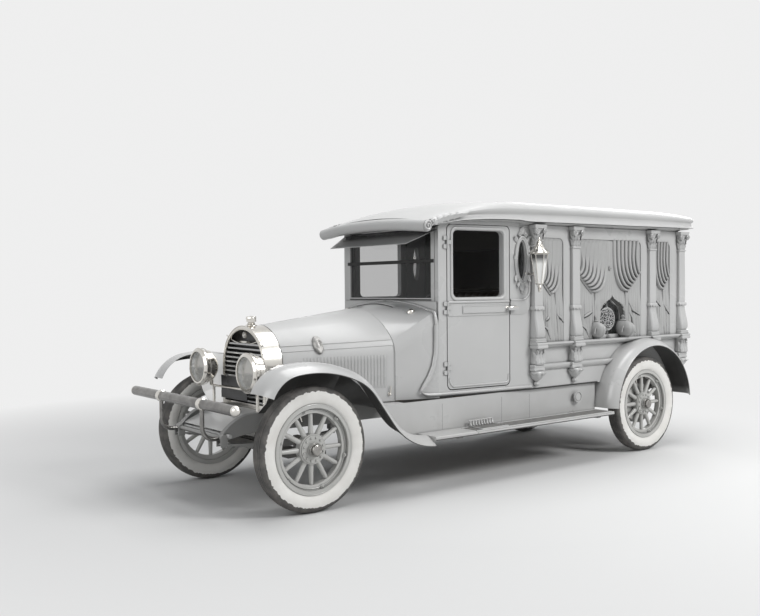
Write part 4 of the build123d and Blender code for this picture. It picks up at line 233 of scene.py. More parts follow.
def make_leather():
    """Black hide with a fine grain."""
    black = (0.035, 0.031, 0.028)
    finish = Finish("leather", black, 0.45, Coat_Weight=0.1)
    cells = node(finish.tree, "TexVoronoi", {"Vector": finish.spot(), "Scale": 260.0})
    wear = finish.remap(finish.noise(11.0), 0.45, 0.75)
    finish.feed("Base Color", finish.mix(wear, black, (0.075, 0.062, 0.05)))
    finish.bump(cells.outputs["Distance"], 0.3, 0.001)
    return finish.material


def fade_by_height(name, low_z, high_z, low, high, roughness, gloss):
    """A surface whose colour changes with height."""
    finish = Finish(name, low, roughness, Coat_Weight=gloss)
    finish.feed("Base Color", finish.mix(finish.remap(finish.axis("Z"), low_z, high_z), low, high))
    finish.bump(finish.noise(40.0, 2.0), 0.05, 0.001)
    return finish.material


BODY_GREY = (0.47, 0.47, 0.465)
# Dark colour of painted shade on the fenders' and running boards' undersides, and the plain black of the running gear.
UNDERSIDE_SHADE_AND_FRAME_BLACK = (0.045, 0.044, 0.042)

# Every coach paint here carries painted shade in its recesses, the carved grey most strongly.
body_paint = paint("coach paint, body grey", BODY_GREY)
roof_paint = paint("coach paint, roof grey", BODY_GREY, roughness=0.42, gloss=0.2)
carved_paint_and_recess_shade = paint(
    "coach paint, carved grey", (0.37, 0.37, 0.365), roughness=0.45, gloss=0.15, reach=0.03, recess_shade=0.22
)
# Painted shade: the fenders, running boards, chassis frame and springs turn dark on faces that look down.
fender_paint_and_underside_shade = paint("coach paint, fenders", BODY_GREY, under=UNDERSIDE_SHADE_AND_FRAME_BLACK)
chassis_paint_and_underside_shade = paint(
    "coach paint, chassis", (0.26, 0.26, 0.255), roughness=0.5, gloss=0.1, under=(0.06, 0.058, 0.055)
)
wheel_paint = paint("wheel paint", (0.5, 0.5, 0.48), roughness=0.38, dust_top=0.9, gloss=0.3)
nickel = worn("nickel plate", (0.72, 0.7, 0.66), (0.62, 0.6, 0.56), 0.16, 1.0, scale=5.0, bump=0.02)
dull_nickel = worn("dulled nickel", (0.4, 0.39, 0.37), (0.26, 0.25, 0.24), 0.28, 1.0, scale=16.0, bump=0.05)
frosted_nickel = worn("frosted nickel", (0.36, 0.355, 0.34), (0.24, 0.235, 0.23), 0.48, 0.6, scale=34.0, bump=0.12)
reflector = worn("silvered reflector", (0.85, 0.85, 0.83), (0.75, 0.75, 0.73), 0.18, 1.0, scale=6.0, bump=0.0)
black_enamel = worn("black enamel", (0.018, 0.018, 0.02), (0.035, 0.034, 0.032), 0.32, scale=12.0, bump=0.05)
enamel_plate = worn("plate enamel", (0.012, 0.012, 0.014), (0.022, 0.022, 0.022), 0.35, scale=20.0, bump=0.04)
shadow_gap = worn("shadow gap", (0.022, 0.022, 0.022), (0.04, 0.04, 0.038), 0.9, scale=30.0, bump=0.0)
frame_paint = worn("frame paint", UNDERSIDE_SHADE_AND_FRAME_BLACK, (0.1, 0.095, 0.085), 0.6, scale=11.0)
grey_iron = worn("grey iron", (0.2, 0.2, 0.195), (0.11, 0.11, 0.105), 0.55, 0.6, scale=14.0)
mat_rubber = worn("ribbed rubber", (0.1, 0.1, 0.098), (0.17, 0.165, 0.155), 0.8, scale=26.0)
dark_felt = worn("dark trim cloth", (0.06, 0.058, 0.055), (0.09, 0.086, 0.08), 0.9, scale=120.0, Sheen_Weight=0.3)
planks = worn("varnished boards", (0.27, 0.17, 0.09), (0.16, 0.095, 0.05), 0.4, scale=30.0, stretch=(0.08, 1, 1))
red_glass = worn(
    "red lamp glass", (0.32, 0.01, 0.008), (0.24, 0.006, 0.006), 0.12, scale=40.0, bump=0.1, Coat_Weight=0.6
)
lens_glass = Finish("lens glass", (0.34, 0.35, 0.35), 0.04, IOR=1.5, Alpha=0.34).material
window_glass = Finish("window glass", (0.02, 0.022, 0.022), 0.04, IOR=1.5, Alpha=0.3).material
lamp_panes = fade_by_height("smoked lamp glass", 1.665, 1.715, (0.84, 0.84, 0.82), (0.07, 0.07, 0.068), 0.1, 0.8)
# Painted shadow: the visor darkens towards its top, where the roof's shadow falls on it.
visor_enamel_and_roof_shadow = fade_by_height("visor enamel and painted roof shadow", 1.868, 1.915, (0.36, 0.36, 0.355), (0.05, 0.05, 0.05), 0.22, 0.4)
bumper_plate_dark_reflection = make_bumper_plate_dark_reflection()
tyre_paint = make_tyre_paint()
leather = make_leather()

# Shape building


def link(name, data):
    """A new object of this data in the scene."""
    item = bpy.data.objects.new(name, data)
    bpy.context.scene.collection.objects.link(item)
    return item


def spaced(first, last, count):
    """Even values, or points, from the first to the last."""
    return [first + (last - first) * (i / count) for i in range(count + 1)]


def around(count):
    """Even angles of a full turn."""
    return [2 * pi * i / count for i in range(count)]


def rotation_to(axis):
    """A matrix that turns Z to this axis and keeps X level where it can."""
    up = Vector(axis).normalized()
    level = Z_AXIS if abs(up.z) < 0.9 else X_AXIS
    across = level.cross(up).normalized()
    return Matrix((across, up.cross(across), up)).transposed()


def arc_points(first, tangent, last, count):
    """Points of the arc that leaves `first` along `tangent` and ends at `last`, in a plane."""
    start, end, along = Vector(first), Vector(last), Vector(tangent).normalized()
    chord = end - start
    normal = Vector((-along.y, along.x))
    reach = chord.dot(normal)
    if abs(reach) < 1e-9:
        return spaced(start, end, count)
    radius = chord.length_squared / (2 * reach)
    centre = start + normal * radius
    turn = 2 * atan2(reach, chord.dot(along))
    ray = start - centre
    return [centre + Matrix.Rotation(angle, 2) @ ray for angle in spaced(0, turn, count)]


def bezier(a, b, c, d, t):
    """A point of the cubic curve on these four points."""
    s = 1 - t
    return a * (s * s * s) + b * (3 * s * s * t) + c * (3 * s * t * t) + d * (t * t * t)


class Shape:
    """Points and faces gathered for one piece."""

    def __init__(self):
        self.points = []
        self.faces = []

    def grid(self, rows, closed=False, capped=False):
        """A skin over rows of points; closed joins each row's ends, capped fills the first and last rows."""
        start, wide = len(self.points), len(rows[0])
        for row in rows:
            self.points += [Vector(point) for point in row]
        for r in range(len(rows) - 1):
            for c in range(wide if closed else wide - 1):
                a, b = start + r * wide + c, start + r * wide + (c + 1) % wide
                self.faces.append((a, b, b + wide, a + wide))
        if capped:
            self.faces.append(tuple(start + c for c in reversed(range(wide))))
            self.faces.append(tuple(start + (len(rows) - 1) * wide + c for c in range(wide)))
        return self

    def lathe(self, profile, origin, axis, count=32, wave=None, squash=1.0):
        """Turns (radius, height) pairs about an axis; wave(angle, share) scales the radius."""
        turn, base = rotation_to(axis), Vector(origin)
        rows = []
        for k, (radius, height) in enumerate(profile):
            row = []
            for angle in around(count):
                r = radius * (wave(angle, k / (len(profile) - 1)) if wave else 1.0)
                row.append(base + turn @ Vector((r * cos(angle), r * sin(angle) * squash, height)))
            rows.append(row)
        return self.grid(rows, closed=True)

    def tube(self, points, radius, sides=10, closed=False, radii=None):
        """A round tube along points."""
        path = [Vector(p) for p in points]
        count = len(path)
        rows, normal = [], None
        for i, p in enumerate(path):
            before = path[i - 1] if i or closed else p
            after = path[(i + 1) % count] if i < count - 1 or closed else p
            along = (after - before).normalized()
            if normal is None:
                normal = along.orthogonal().normalized()
            normal = (normal - along * normal.dot(along)).normalized()
            side = along.cross(normal)
            r = radii[i] if radii else radius
            rows.append([p + (normal * cos(angle) + side * sin(angle)) * r for angle in around(sides)])
        if closed:
            rows.append(rows[0])
        return self.grid(rows, closed=True, capped=not closed)

    def block(self, centre, size, bevel, turn=Matrix.Identity(3)):
        """A box with chamfered edges."""
        half, b = Vector(size) / 2, bevel
        rows = []
        for inset, z in ((b, -half.z), (0, -half.z + b), (0, half.z - b), (b, half.z)):
            x, y = half.x - inset, half.y - inset
            ring = []
            for right, up, corner in ((1, 1, ((b, 0), (0, b))), (1, -1, ((0, b), (b, 0)))):
                ring += [(right * (x - dx), up * (y - dy)) for dx, dy in corner]
            ring += [(-px, -py) for px, py in ring]
            rows.append([Vector(centre) + turn @ Vector((*p, z)) for p in ring])
        return self.grid(rows, closed=True, capped=True)

    def mirrored(self):
        """The same shape on the other side of the vehicle."""
        other = Shape()
        other.points = [Vector((p.x, -p.y, p.z)) for p in self.points]
        other.faces = [tuple(reversed(face)) for face in self.faces]
        return other

    def both_sides(self):
        """Adds the shape's own mirror image to it."""
        other, start = self.mirrored(), len(self.points)
        self.points += other.points
        self.faces += [tuple(i + start for i in face) for face in other.faces]
        return self

    def place(self, name, material, body="body", stands_for=None, origin=(0, 0, 0), sharp=38, smooth=True):
        """Makes the object, with its origin where its material needs it, and rides it on a body."""
        mesh = bpy.data.meshes.new(name)
        mesh.from_pydata([p - Vector(origin) for p in self.points], [], self.faces)
        mesh.validate()
        mesh.materials.append(material)
        tidy_normals(mesh)
        if smooth:
            mesh.shade_smooth()
            mesh.set_sharp_from_angle(angle=radians(sharp))
        piece = link(name, mesh)
        piece.location = origin
        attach(piece, body)
        if stands_for:
            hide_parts(stands_for)
        return piece

    def place_pair(self, stem, material, bodies=("body", "body"), **kind):
        """The left piece and its mirror image on the right."""
        self.place(stem + "_left", material, bodies[0], **kind)
        self.mirrored().place(stem + "_right", material, bodies[1], **kind)


def tidy_normals(mesh):
    """Welds doubled points and turns the faces the same way out."""
    work = bmesh.new()
    work.from_mesh(mesh)
    bmesh.ops.remove_doubles(work, verts=work.verts, dist=1e-6)
    bmesh.ops.recalc_face_normals(work, faces=work.faces)
    work.to_mesh(mesh)
    work.free()


def dress_nodes():
    """Gives every carried-over CAD node its material."""
    table = (
        (body_paint, "cowl body_side_left body_side_right body_rear"),
        (fender_paint_and_underside_shade, "front_fenders rear_fenders running_boards"),
        (body_paint, "door_left door_right rear_door windscreen_frame side_mouldings splash_pan"),
        (visor_enamel_and_roof_shadow, "sun_visor"),
        (roof_paint, "roof hood_left hood_right"),
        (carved_paint_and_recess_shade, "columns carved_panels"),
        (nickel, "radiator_shell headlamp_rims headlamps"),
        (bumper_plate_dark_reflection, "bumper"),
        (dull_nickel, "coach_lamps"),
        (black_enamel, "radiator_shutters steering_column steering_wheel"),
        (chassis_paint_and_underside_shade, "chassis_frame leaf_springs"),
        (frame_paint, "front_axle rear_axle fuel_tank knuckle_left knuckle_right tie_rod"),
        (grey_iron, "engine exhaust"),
        (planks, "floor"),
        (dark_felt, "partition seat_base"),
        (leather, "seat_cushion seat_back"),
        (window_glass, "window_glass rear_door_glass"),
        (lens_glass, "headlamp_glasses"),
        (wheel_paint, "wheel_front_left wheel_front_right wheel_rear_left wheel_rear_right"),
        (tyre_paint, "tyre_front_left tyre_front_right tyre_rear_left tyre_rear_right"),
    )
    for material, names in table:
        for name in names.split():
            mesh = nodes[name].data
            mesh.materials.clear()
            mesh.materials.append(material)


# Wheels

# rows: name, X, which side
WHEELS = (
    ("front_left", FRONT_AXLE_X, 1),
    ("front_right", FRONT_AXLE_X, -1),
    ("rear_left", REAR_AXLE_X, 1),
    ("rear_right", REAR_AXLE_X, -1),
)
# (radius, Y) from the bead to the shoulder
TYRE_WALL = ((0.307, -0.046), (0.315, -0.053), (0.345, -0.0635), (0.372, -0.064), (0.394, -0.0585))
TYRE_HALF = 0.064
TREAD_RADIUS, TREAD_HALF, TREAD_DEPTH, TREAD_RIBS = 0.4222, 0.052, 0.0065, 6


def make_tyre(name, x, side):
    """Tyre with a ribbed tread, full shoulders and a bead against the rim."""
    profile = list(TYRE_WALL)
    edges = spaced(-TREAD_HALF, TREAD_HALF, TREAD_RIBS)
    for low, high in zip(edges, edges[1:]):
        groove = [(high - 0.0012, TREAD_DEPTH), (high + 0.0012, TREAD_DEPTH)] if high < edges[-1] else []
        for y, depth in [(low + 0.0022, 0), (high - 0.0022, 0), *groove]:
            profile.append((TREAD_RADIUS - 0.014 * (y / TYRE_HALF) ** 2 - depth, y))
    profile += [(radius, -y) for radius, y in reversed(TYRE_WALL)]
    centre = Vector((x, side * WHEEL_Y, AXLE_Z))
    shape = Shape().lathe(profile, centre, Y_AXIS, count=128)
    stem = "tyre_" + name
    tyre = shape.place(stem + "_skin", tyre_paint, "wheel_" + name, stands_for=stem, origin=centre, sharp=50)


def make_wheel_fittings(name, x, side):
    """Hub bolts, the domed cap, rim clamps with their nuts, the valve stem and two rings on the rim."""
    body, out = "wheel_" + name, Y_AXIS * side
    centre = Vector((x, side * WHEEL_Y, AXLE_Z))
    ray = lambda angle: Vector((cos(angle), 0, sin(angle)))
    bolts, cap, stem, rings = Shape(), Shape(), Shape(), Shape()
    for i in range(12):
        spot = centre + ray(2 * pi * (i + 0.5) / 12) * 0.078 + out * 0.034
        bolts.lathe([(0, 0.0115), (0.0045, 0.0115), (0.007, 0.009), (0.0078, 0), (0.0078, -0.003)], spot, out, count=6)
    for i in range(6):
        away = ray(2 * pi * (i + 0.25) / 6)
        spot = centre + away * 0.263 + out * 0.027
        bolts.lathe([(0, 0.021), (0.005, 0.021), (0.0062, 0.018), (0.0062, 0.0)], spot, out, count=12)
        bolts.lathe([(0, 0.015), (0.009, 0.015), (0.0108, 0.012), (0.0108, 0.004)], spot, out, count=6)
        turn = Matrix((away.cross(out), out, away)).transposed()
        bolts.block(spot + away * 0.008 + out * 0.004, (0.03, 0.012, 0.034), 0.003, turn)
    bolts.place("wheel_bolts_" + name, wheel_paint, body)
    cap.lathe([(0.045, 0.058), (0.047, 0.061), (0.047, 0.064), (0.044, 0.067)], centre, out, count=48)
    dome = [(0.0375, 0.06), (0.038, 0.078), (0.0355, 0.083), (0.03, 0.0855)]
    dome += [(0.029, 0.084), (0.016, 0.0845), (0, 0.085)]
    cap.lathe(dome, centre, out, count=48, wave=lambda angle, share: 1 + 0.02 * cos(8 * angle) * (share < 0.4))
    cap.place("hub_cap_" + name, dull_nickel, body)
    away = ray(radians(70))
    for start, end, radius in ((0.243, 0.198, 0.004), (0.231, 0.209, 0.0052)):
        stem.tube([centre + away * start, centre + away * end], radius)
    stem.place("valve_stem_" + name, nickel, body)
    for radius, y in ((0.3, 0.0495), (0.262, 0.0285)):
        rings.tube([centre + out * y + ray(angle) * radius for angle in around(96)], 0.0032, sides=8, closed=True)
    rings.place("rim_rings_" + name, wheel_paint, body)


# Hood and radiator

# X, then half width, foot of the shoulder, shoulder Y and Z, and crown
HOOD_ENDS = ((HOOD_FRONT_X, (0.3, 0.928, 0.258, 1.083, 1.226)), (HOOD_REAR_X, (0.5, 0.985, 0.47, 1.1, 1.33)))
HOOD_LOW_Z = 0.646
HOOD_FLARE = -0.2353
# (step along the hood, height off it) across one louvre
LOUVRE = ((0.009, 0.0), (0.006, 0.003), (0.0, 0.0058), (-0.006, 0.0064), (-0.0075, 0.003), (-0.0078, 0.0))
LOUVRES, LOUVRE_FRONT_X, LOUVRE_PITCH, LOUVRE_LOW_Z, LOUVRE_HIGH_Z = 25, 1.668, 0.0255, 0.748, 0.993
# (distance from the middle, height) across the oval boss
BOSS = ((0.0, 0.013), (0.01, 0.0125), (0.016, 0.009), (0.021, 0.012), (0.027, 0.009), (0.034, 0.011), (0.04, 0.006))
BOSS += ((0.043, -0.008),)


def hood_rows(x, stations=10):
    """Left half of the hood's section at this X, foot to crown, as (y, z) points at fixed shares."""
    ends = []
    for _, (half, upright, shoulder_y, shoulder_z, top) in HOOD_ENDS:
        wall = spaced(Vector((half, HOOD_LOW_Z)), Vector((half, upright)), stations)[:-1]
        lower = arc_points((half, upright), (0, 1), (shoulder_y, shoulder_z), stations)
        upper = arc_points((0, top), (1, 0), (shoulder_y, shoulder_z), stations)
        ends.append(wall + lower + upper[-2::-1])
    share = (HOOD_FRONT_X - x) / (HOOD_FRONT_X - HOOD_REAR_X)
    return [a.lerp(b, share) for a, b in zip(*ends)]


def hood_point(x, z, lift=0.0):
    """A point on the hood's left flank at this height, lifted off the sheet, and the outward normal."""
    rows = hood_rows(x)
    for a, b in zip(rows, rows[1:]):
        if a.y <= z <= b.y:
            point = a.lerp(b, (z - a.y) / max(b.y - a.y, 1e-9))
            across = (b - a).normalized()
            normal = Vector((0, across.y, -across.x))
            return Vector((x, point.x, point.y)) + normal * lift, normal
    raise ValueError("no such height on the hood")


def make_hood_details():
    """Two belt strips, the edge strips, the louvre row, the oval boss and the latches of each hood half."""
    strips, louvres, boss, latch = Shape(), Shape(), Shape(), Shape()
    front, rear = HOOD_FRONT_X - 0.004, HOOD_REAR_X + 0.004
    for front_z, rear_z, radius in ((1.079, 1.102, 0.0035), (1.04, 1.062, 0.003)):
        stations = zip(spaced(front, rear, 32), spaced(front_z, rear_z, 32))
        strips.tube([hood_point(x, z, 0.001)[0] for x, z in stations], radius, sides=8)
    for x in (front, rear):
        strips.tube([hood_point(x, z, 0.0008)[0] for z in spaced(0.66, 1.06, 16)], 0.0028, sides=8)
    for k in range(LOUVRES):
        rows = []
        for share, z in zip(spaced(0, 1, 14), spaced(LOUVRE_LOW_Z, LOUVRE_HIGH_Z, 14)):
            rise = min(1.0, 4.2 * min(share, 1 - share) ** 0.5) if 0 < share < 1 else 0.0
            point, normal = hood_point(LOUVRE_FRONT_X - k * LOUVRE_PITCH, min(z, 0.985))
            point.z = z
            along = Vector((1, HOOD_FLARE, 0)).normalized()
            rows.append([point + along * step + normal * (height * rise + 0.0003) for step, height in LOUVRE])
        louvres.grid(rows)
    spot, normal = hood_point(1.548, 1.083, 0.002)
    turn = rotation_to(normal)
    rows = []
    for reach, height in BOSS:
        oval = [Vector((reach * 0.95 * cos(a), reach * 1.72 * sin(a), height)) for a in around(40)]
        rows.append([spot + turn @ point for point in oval])
    boss.grid(rows, closed=True)
    knob = [(0, 0.02), (0.006, 0.02), (0.009, 0.016), (0.009, 0.006), (0.014, 0.003), (0.014, 0)]
    for x in (1.6, 1.02):
        seat, normal = hood_point(x, 0.7)
        latch.lathe(knob, seat, normal, count=24)
        latch.tube([seat + normal * 0.014 - Z_AXIS * 0.004, seat + normal * 0.018 + Z_AXIS * 0.062], 0.0052)
    bodies = ("hood_left", "hood_right")
    strips.place_pair("hood_strips", roof_paint, bodies)
    louvres.place_pair("hood_louvres", body_paint, bodies)
    boss.place_pair("hood_boss", frosted_nickel, bodies)
    latch.place_pair("hood_latches", nickel, bodies)


RADIATOR_X = 1.9735
RADIATOR_CAP = (
    (0, 0.072), (0.012, 0.072), (0.022, 0.067), (0.034, 0.064), (0.037, 0.058), (0.036, 0.048), (0.03, 0.044),
    (0.02, 0.042), (0.02, 0.026), (0.026, 0.022), (0.03, 0.012), (0.044, 0.004), (0.046, -0.004),
)


def make_radiator_dressing():
    """Header shell with a plain round badge and bright crescent, slat fronts, filler cap and a bare plate."""
    crescent, badge, slats, beading, cap, plate, rim = (Shape() for _ in range(7))
    rows = []
    for y in spaced(-0.085, 0.085, 24):
        bow = 1 - (y / 0.085) ** 2
        middle, thick = 1.113 - 0.012 * bow, 0.003 + 0.01 * bow
        edges = ((0.016, -thick), (0.006, 0), (0.016, thick))
        rows.append([(RADIATOR_X - back, y, middle + rise) for back, rise in edges])
    crescent.grid(rows)
    brow = [(RADIATOR_X - 0.012, 0.0218 * i - 0.262, 1.092 + 0.055 * abs(i / 12 - 1) ** 2.2) for i in range(25)]
    crescent.tube(brow, 0.0045, sides=8)
    crescent.place("radiator_crescent", nickel)
    disc = [(0, 0.008), (0.012, 0.008), (0.015, 0.005), (0.018, 0.009), (0.022, 0.009), (0.025, 0.0)]
    badge.lathe(disc, (RADIATOR_X - 0.016, 0, 1.158), X_AXIS, count=40)
    badge.place("radiator_badge", dull_nickel)
    for k in range(14):
        slats.block((RADIATOR_X - 0.008, 0, 0.652 + k * 0.0338), (0.004, 0.53, 0.0135), 0.0015)
    slats.place("radiator_slat_fronts", body_paint)
    half, upright, shoulder_y, shoulder_z, top = HOOD_ENDS[0][1]
    for inset, radius in ((0.024, 0.004), (0.002, 0.003)):
        side, shoulder = half - inset, (shoulder_y - inset * 0.8, shoulder_z - inset * 0.45)
        wall = [Vector((side, 0.64)), Vector((side, 0.8)), Vector((side, upright))]
        lower = arc_points((side, upright), (0, 1), shoulder, 10)
        upper = arc_points((0, top - inset), (1, 0), shoulder, 14)
        left = [(RADIATOR_X + 0.002, p.x, p.y) for p in wall + lower[1:] + upper[-2::-1]]
        beading.tube(left + [(x, -y, z) for x, y, z in left[-2::-1]], radius, sides=8)
    beading.place("radiator_beading", nickel)
    fluted = lambda angle, share: 1 + 0.03 * cos(10 * angle) * (0.2 < share < 0.45)
    cap.lathe(RADIATOR_CAP, (1.906, 0, 1.222), Z_AXIS, count=48, wave=fluted)
    cap.place("radiator_cap", nickel)
    plate.block((2.036, -0.025, 0.78), (0.003, 0.37, 0.16), 0.001)
    plate.place("number_plate", enamel_plate)
    corners = ((-0.21, 0.7), (0.16, 0.7), (0.16, 0.86), (-0.21, 0.86))
    rim.tube([(2.038, y, z) for y, z in corners], 0.003, sides=6, closed=True)
    for y in (-0.12, 0.07):
        rim.tube([(2.036, y, 0.8), (2.036, y, 0.86), (2.036, y, 0.875)], 0.004, sides=8)
    rim.place("number_plate_rim", black_enamel)


def smooth(value):
    """0 below 0, 1 above 1 and an even S between."""
    value = min(1.0, max(0.0, value))
    return value * value * (3 - 2 * value)


def rolled(place, crest=0.4, gap=0.0):
    """Height of a rolled fold across one pitch: steep flanks, a round crest and a flat valley."""
    f = (place % 1.0) / (1 - gap)
    if f >= 1:
        return 0.0
    g = f / crest if f < crest else (1 - f) / (1 - crest)
    return sqrt(max(0.0, 1 - (1 - g) ** 2))


def rounded_loop(x_range, z_range, radius, inset=0.0, steps=6):
    """Outline of a rectangle with round corners, drawn in by an inset, as (x, z) pairs."""
    (x0, x1), (z0, z1) = x_range, z_range
    x0, x1, z0, z1 = x0 + inset, x1 - inset, z0 + inset, z1 - inset
    r = max(radius - inset, 0.0005)
    loop = []
    for x, z, start in ((x1 - r, z1 - r, 0), (x0 + r, z1 - r, 90), (x0 + r, z0 + r, 180), (x1 - r, z0 + r, 270)):
        for i in range(steps + 1):
            angle = radians(start + 90 * i / steps)
            loop.append((x + r * cos(angle), z + r * sin(angle)))
    return loop


def plaque(shape, x_range, z_range, radius, lift, edge, place=on_side):
    """A raised flat panel with a chamfered edge."""
    loops = ((0.0, -0.001), (0.0, lift - edge), (edge, lift))
    rows = [[place(x, z, high) for x, z in rounded_loop(x_range, z_range, radius, inset)] for inset, high in loops]
    shape.grid(rows, closed=True, capped=True)


def picture_frame(shape, x_range, z_range, radius, width, lift, place=on_side):
    """A raised rim with a rounded face round a rectangle."""
    steps = ((0.0, -0.001), (0.0, 0.55), (0.18, 0.92), (0.5, 1.0), (0.82, 0.92), (1.0, 0.55), (1.0, -0.001))
    rows = []
    for share, high in steps:
        loop = rounded_loop(x_range, z_range, radius, -width * (1 - share))
        rows.append([place(x, z, lift * high if high > 0 else high) for x, z in loop])
    shape.grid(rows + rows[:1], closed=True)


def leaf(shape, root, up, out, length, width, curl=0.3):
    """An acanthus leaf: it grows along `up`, stands off along `out` and rolls over at its tip."""
    root, up, out = Vector(root), Vector(up).normalized(), Vector(out).normalized()
    across = up.cross(out).normalized()
    rows = []
    for i in range(13):
        v = i / 12
        half = width / 2 * max(0.02, sin(pi * (0.16 + 0.84 * v))) ** 0.6 * (1 + 0.17 * cos(6 * pi * v))
        lift = length * (0.05 + curl * v**3)
        along = length * (v - 0.25 * curl * v**5)
        row = []
        for k in range(9):
            u = k / 4 - 1
            bend = 0.1 * width * (1 - abs(u)) ** 2 - 0.3 * half * u * u
            row.append(root + up * along + out * (lift + bend) + across * (half * u))
        rows.append(row)
    shape.grid(rows)


def scroll(shape, centre, axis, radius, wire, turns=1.9, hand=1):
    """A coiled volute on a shallow disc."""
    turn, centre = rotation_to(axis), Vector(centre)
    points, radii = [], []
    for i in range(37):
        share = i / 36
        angle = hand * 2 * pi * turns * share
        reach = radius * (1 - 0.88 * share)
        points.append(centre + turn @ Vector((reach * cos(angle), reach * sin(angle), 0.3 * radius * share)))
        radii.append(wire * (1 - 0.45 * share))
    shape.tube(points, wire, sides=8, radii=radii)
    disc = [(0, 0.24 * radius), (0.55 * radius, 0.08 * radius), (radius, 0.0), (radius, -0.5 * radius)]
    shape.lathe(disc, centre, axis, count=24)


def divided(points, parts):
    """The points, with each run between them cut into this many parts."""
    return [a.lerp(b, i / parts) for a, b in zip(points, points[1:]) for i in range(parts)] + [points[-1]]


def resampled(line, count):
    """Points at even places in a list of (x, z) pairs."""
    points = []
    for place in spaced(0, len(line) - 1, count):
        start, end = line[int(place)], line[min(int(place) + 1, len(line) - 1)]
        points.append(Vector(start).lerp(Vector(end), place % 1))
    return points


# Carved sides

DRAPE_Y = 0.69
DRAPE_TOP_Z = 1.885
FRAME_Y = 0.699
# rows: opening's front and rear X
BAYS = ((-0.414, -0.686), (-0.88, -1.745), (-1.95, -2.186))
# rows: first fold curve, last fold curve, folds, relief above, relief below
SWAGS = (
    (((-0.44, 1.885), (-0.452, 1.75), (-0.47, 1.6), (-0.424, 1.537)),
     ((-0.682, 1.885), (-0.694, 1.6), (-0.67, 1.42), (-0.533, 1.42)), 5, 0.003, 0.022),
    (((-0.9, 1.885), (-0.93, 1.8), (-0.95, 1.63), (-0.866, 1.598)),
     ((-1.292, 1.885), (-1.318, 1.62), (-1.29, 1.4), (-1.06, 1.427)), 7, 0.0035, 0.025),
    (((-1.345, 1.885), (-1.34, 1.64), (-1.375, 1.42), (-1.552, 1.436)),
     ((-1.738, 1.885), (-1.715, 1.76), (-1.7, 1.64), (-1.742, 1.61)), 7, 0.018, 0.029),
    (((-1.954, 1.885), (-1.94, 1.62), (-1.95, 1.44), (-2.08, 1.446)),
     ((-2.18, 1.885), (-2.165, 1.76), (-2.15, 1.62), (-2.186, 1.585)), 5, 0.017, 0.028),
)
# rows: points of a turned-over fold near the foot of the drapery, as (x, z)
CREASES = (
    ((-0.451, 1.153), (-0.493, 1.123), (-0.521, 1.05)),
    ((-0.614, 1.243), (-0.664, 1.208), (-0.684, 1.18)),
    ((-0.473, 1.199), (-0.515, 1.231)),
    ((-0.952, 1.214), (-1.059, 1.256)),
    ((-0.93, 1.142), (-0.982, 1.11), (-1.013, 1.05)),
    ((-1.579, 1.32), (-1.629, 1.257), (-1.735, 1.213)),
    ((-1.579, 1.238), (-1.62, 1.191), (-1.66, 1.06)),
    ((-1.972, 1.344), (-2.043, 1.29)),
    ((-2.096, 1.3), (-2.182, 1.212)),
    ((-1.99, 1.122), (-2.008, 1.079)),
)
CORDS = (
    ((-0.587, 1.45), (-0.593, 1.272), (-0.608, 1.18), (-0.612, 1.04)),
    ((-1.103, 1.43), (-1.102, 1.225)),
    ((-1.523, 1.435), (-1.529, 1.225)),
    ((-2.083, 1.44), (-2.087, 1.311), (-2.105, 1.2), (-2.11, 1.04)),
)
ARCH_X, ARCH_HALF, ARCH_SPRING_Z, ARCH_TOP_Z = -1.339, 0.168, 1.235, 1.412
# rows: distance from the middle and Z of the opening behind the arch
OGEE_X = -1.318
OGEE_OPENING = ((0.146, LEDGE_Z), (0.146, 1.23), (0.12, 1.3), (0.074, 1.325), (0.02, 1.36), (0.0, 1.4))
COLUMN_TOP_Z = 1.9848


def ogee_line(steps=12):
    """The pointed arch from its front foot over the point to its rear foot, as (x, z) pairs."""
    haunch = Vector((ARCH_HALF * 0.53, 1.345))
    lower = arc_points((ARCH_HALF, ARCH_SPRING_Z), (0, 1), haunch, steps)
    mid, near, point = Vector((0.055, 1.366)), Vector((0.012, 1.372)), Vector((0, ARCH_TOP_Z))
    upper = [bezier(haunch, mid, near, point, (i + 1) / steps) for i in range(steps)]
    half = [Vector((ARCH_HALF, LEDGE_Z)), *lower, *upper]
    line = [Vector((ARCH_X + p.x, p.y)) for p in half] + [Vector((ARCH_X - p.x, p.y)) for p in reversed(half[:-1])]
    middle = Vector((ARCH_X, 1.2))
    for k, p in enumerate(line[2:-2]):
        p += (p - middle).normalized() * 0.0035 * cos(2.1 * k)
    return [(p.x, p.y) for p in line]


def make_swag(shape, first, last, folds, top_relief, low_relief):
    """A gathered drape between two fold curves: fine pleats above turn into thick rolls at the tie."""
    first, last = [Vector(p) for p in first], [Vector(p) for p in last]
    deep = top_relief > 0.01
    pleats, top_gap, low_gap = (1, 0.25, 0.25) if deep else (3, 0.0, 0.12)
    skin = []
    for t in spaced(0, 1, 40):
        ease = smooth((t - 0.25) / 0.5)
        ending = sqrt(max(0.0, 1 - max(0.0, (t - 0.93) / 0.07) ** 2))
        row = []
        for share in spaced(0, 1, folds * 12):
            spot = bezier(*(p.lerp(q, share) for p, q in zip(first, last)), t)
            fine = rolled(share * folds * pleats, gap=top_gap)
            thick = rolled(share * folds, gap=low_gap) * (1 if deep else 0.92 + 0.08 * fine)
            lift = ending * (top_relief * fine * (1 - ease) + low_relief * thick * ease)
            row.append((spot.x, DRAPE_Y - 0.001 + lift, spot.y))
        skin.append(row)
    shape.grid(skin)
    tie = spaced(*(Vector((curve[3].x, DRAPE_Y + 0.005, curve[3].y)) for curve in (first, last)), 8)
    for rise in (-0.01, 0.002):
        shape.tube([p + Z_AXIS * (rise - 0.004 * sin(pi * i / 8)) for i, p in enumerate(tie)], 0.004, sides=8)


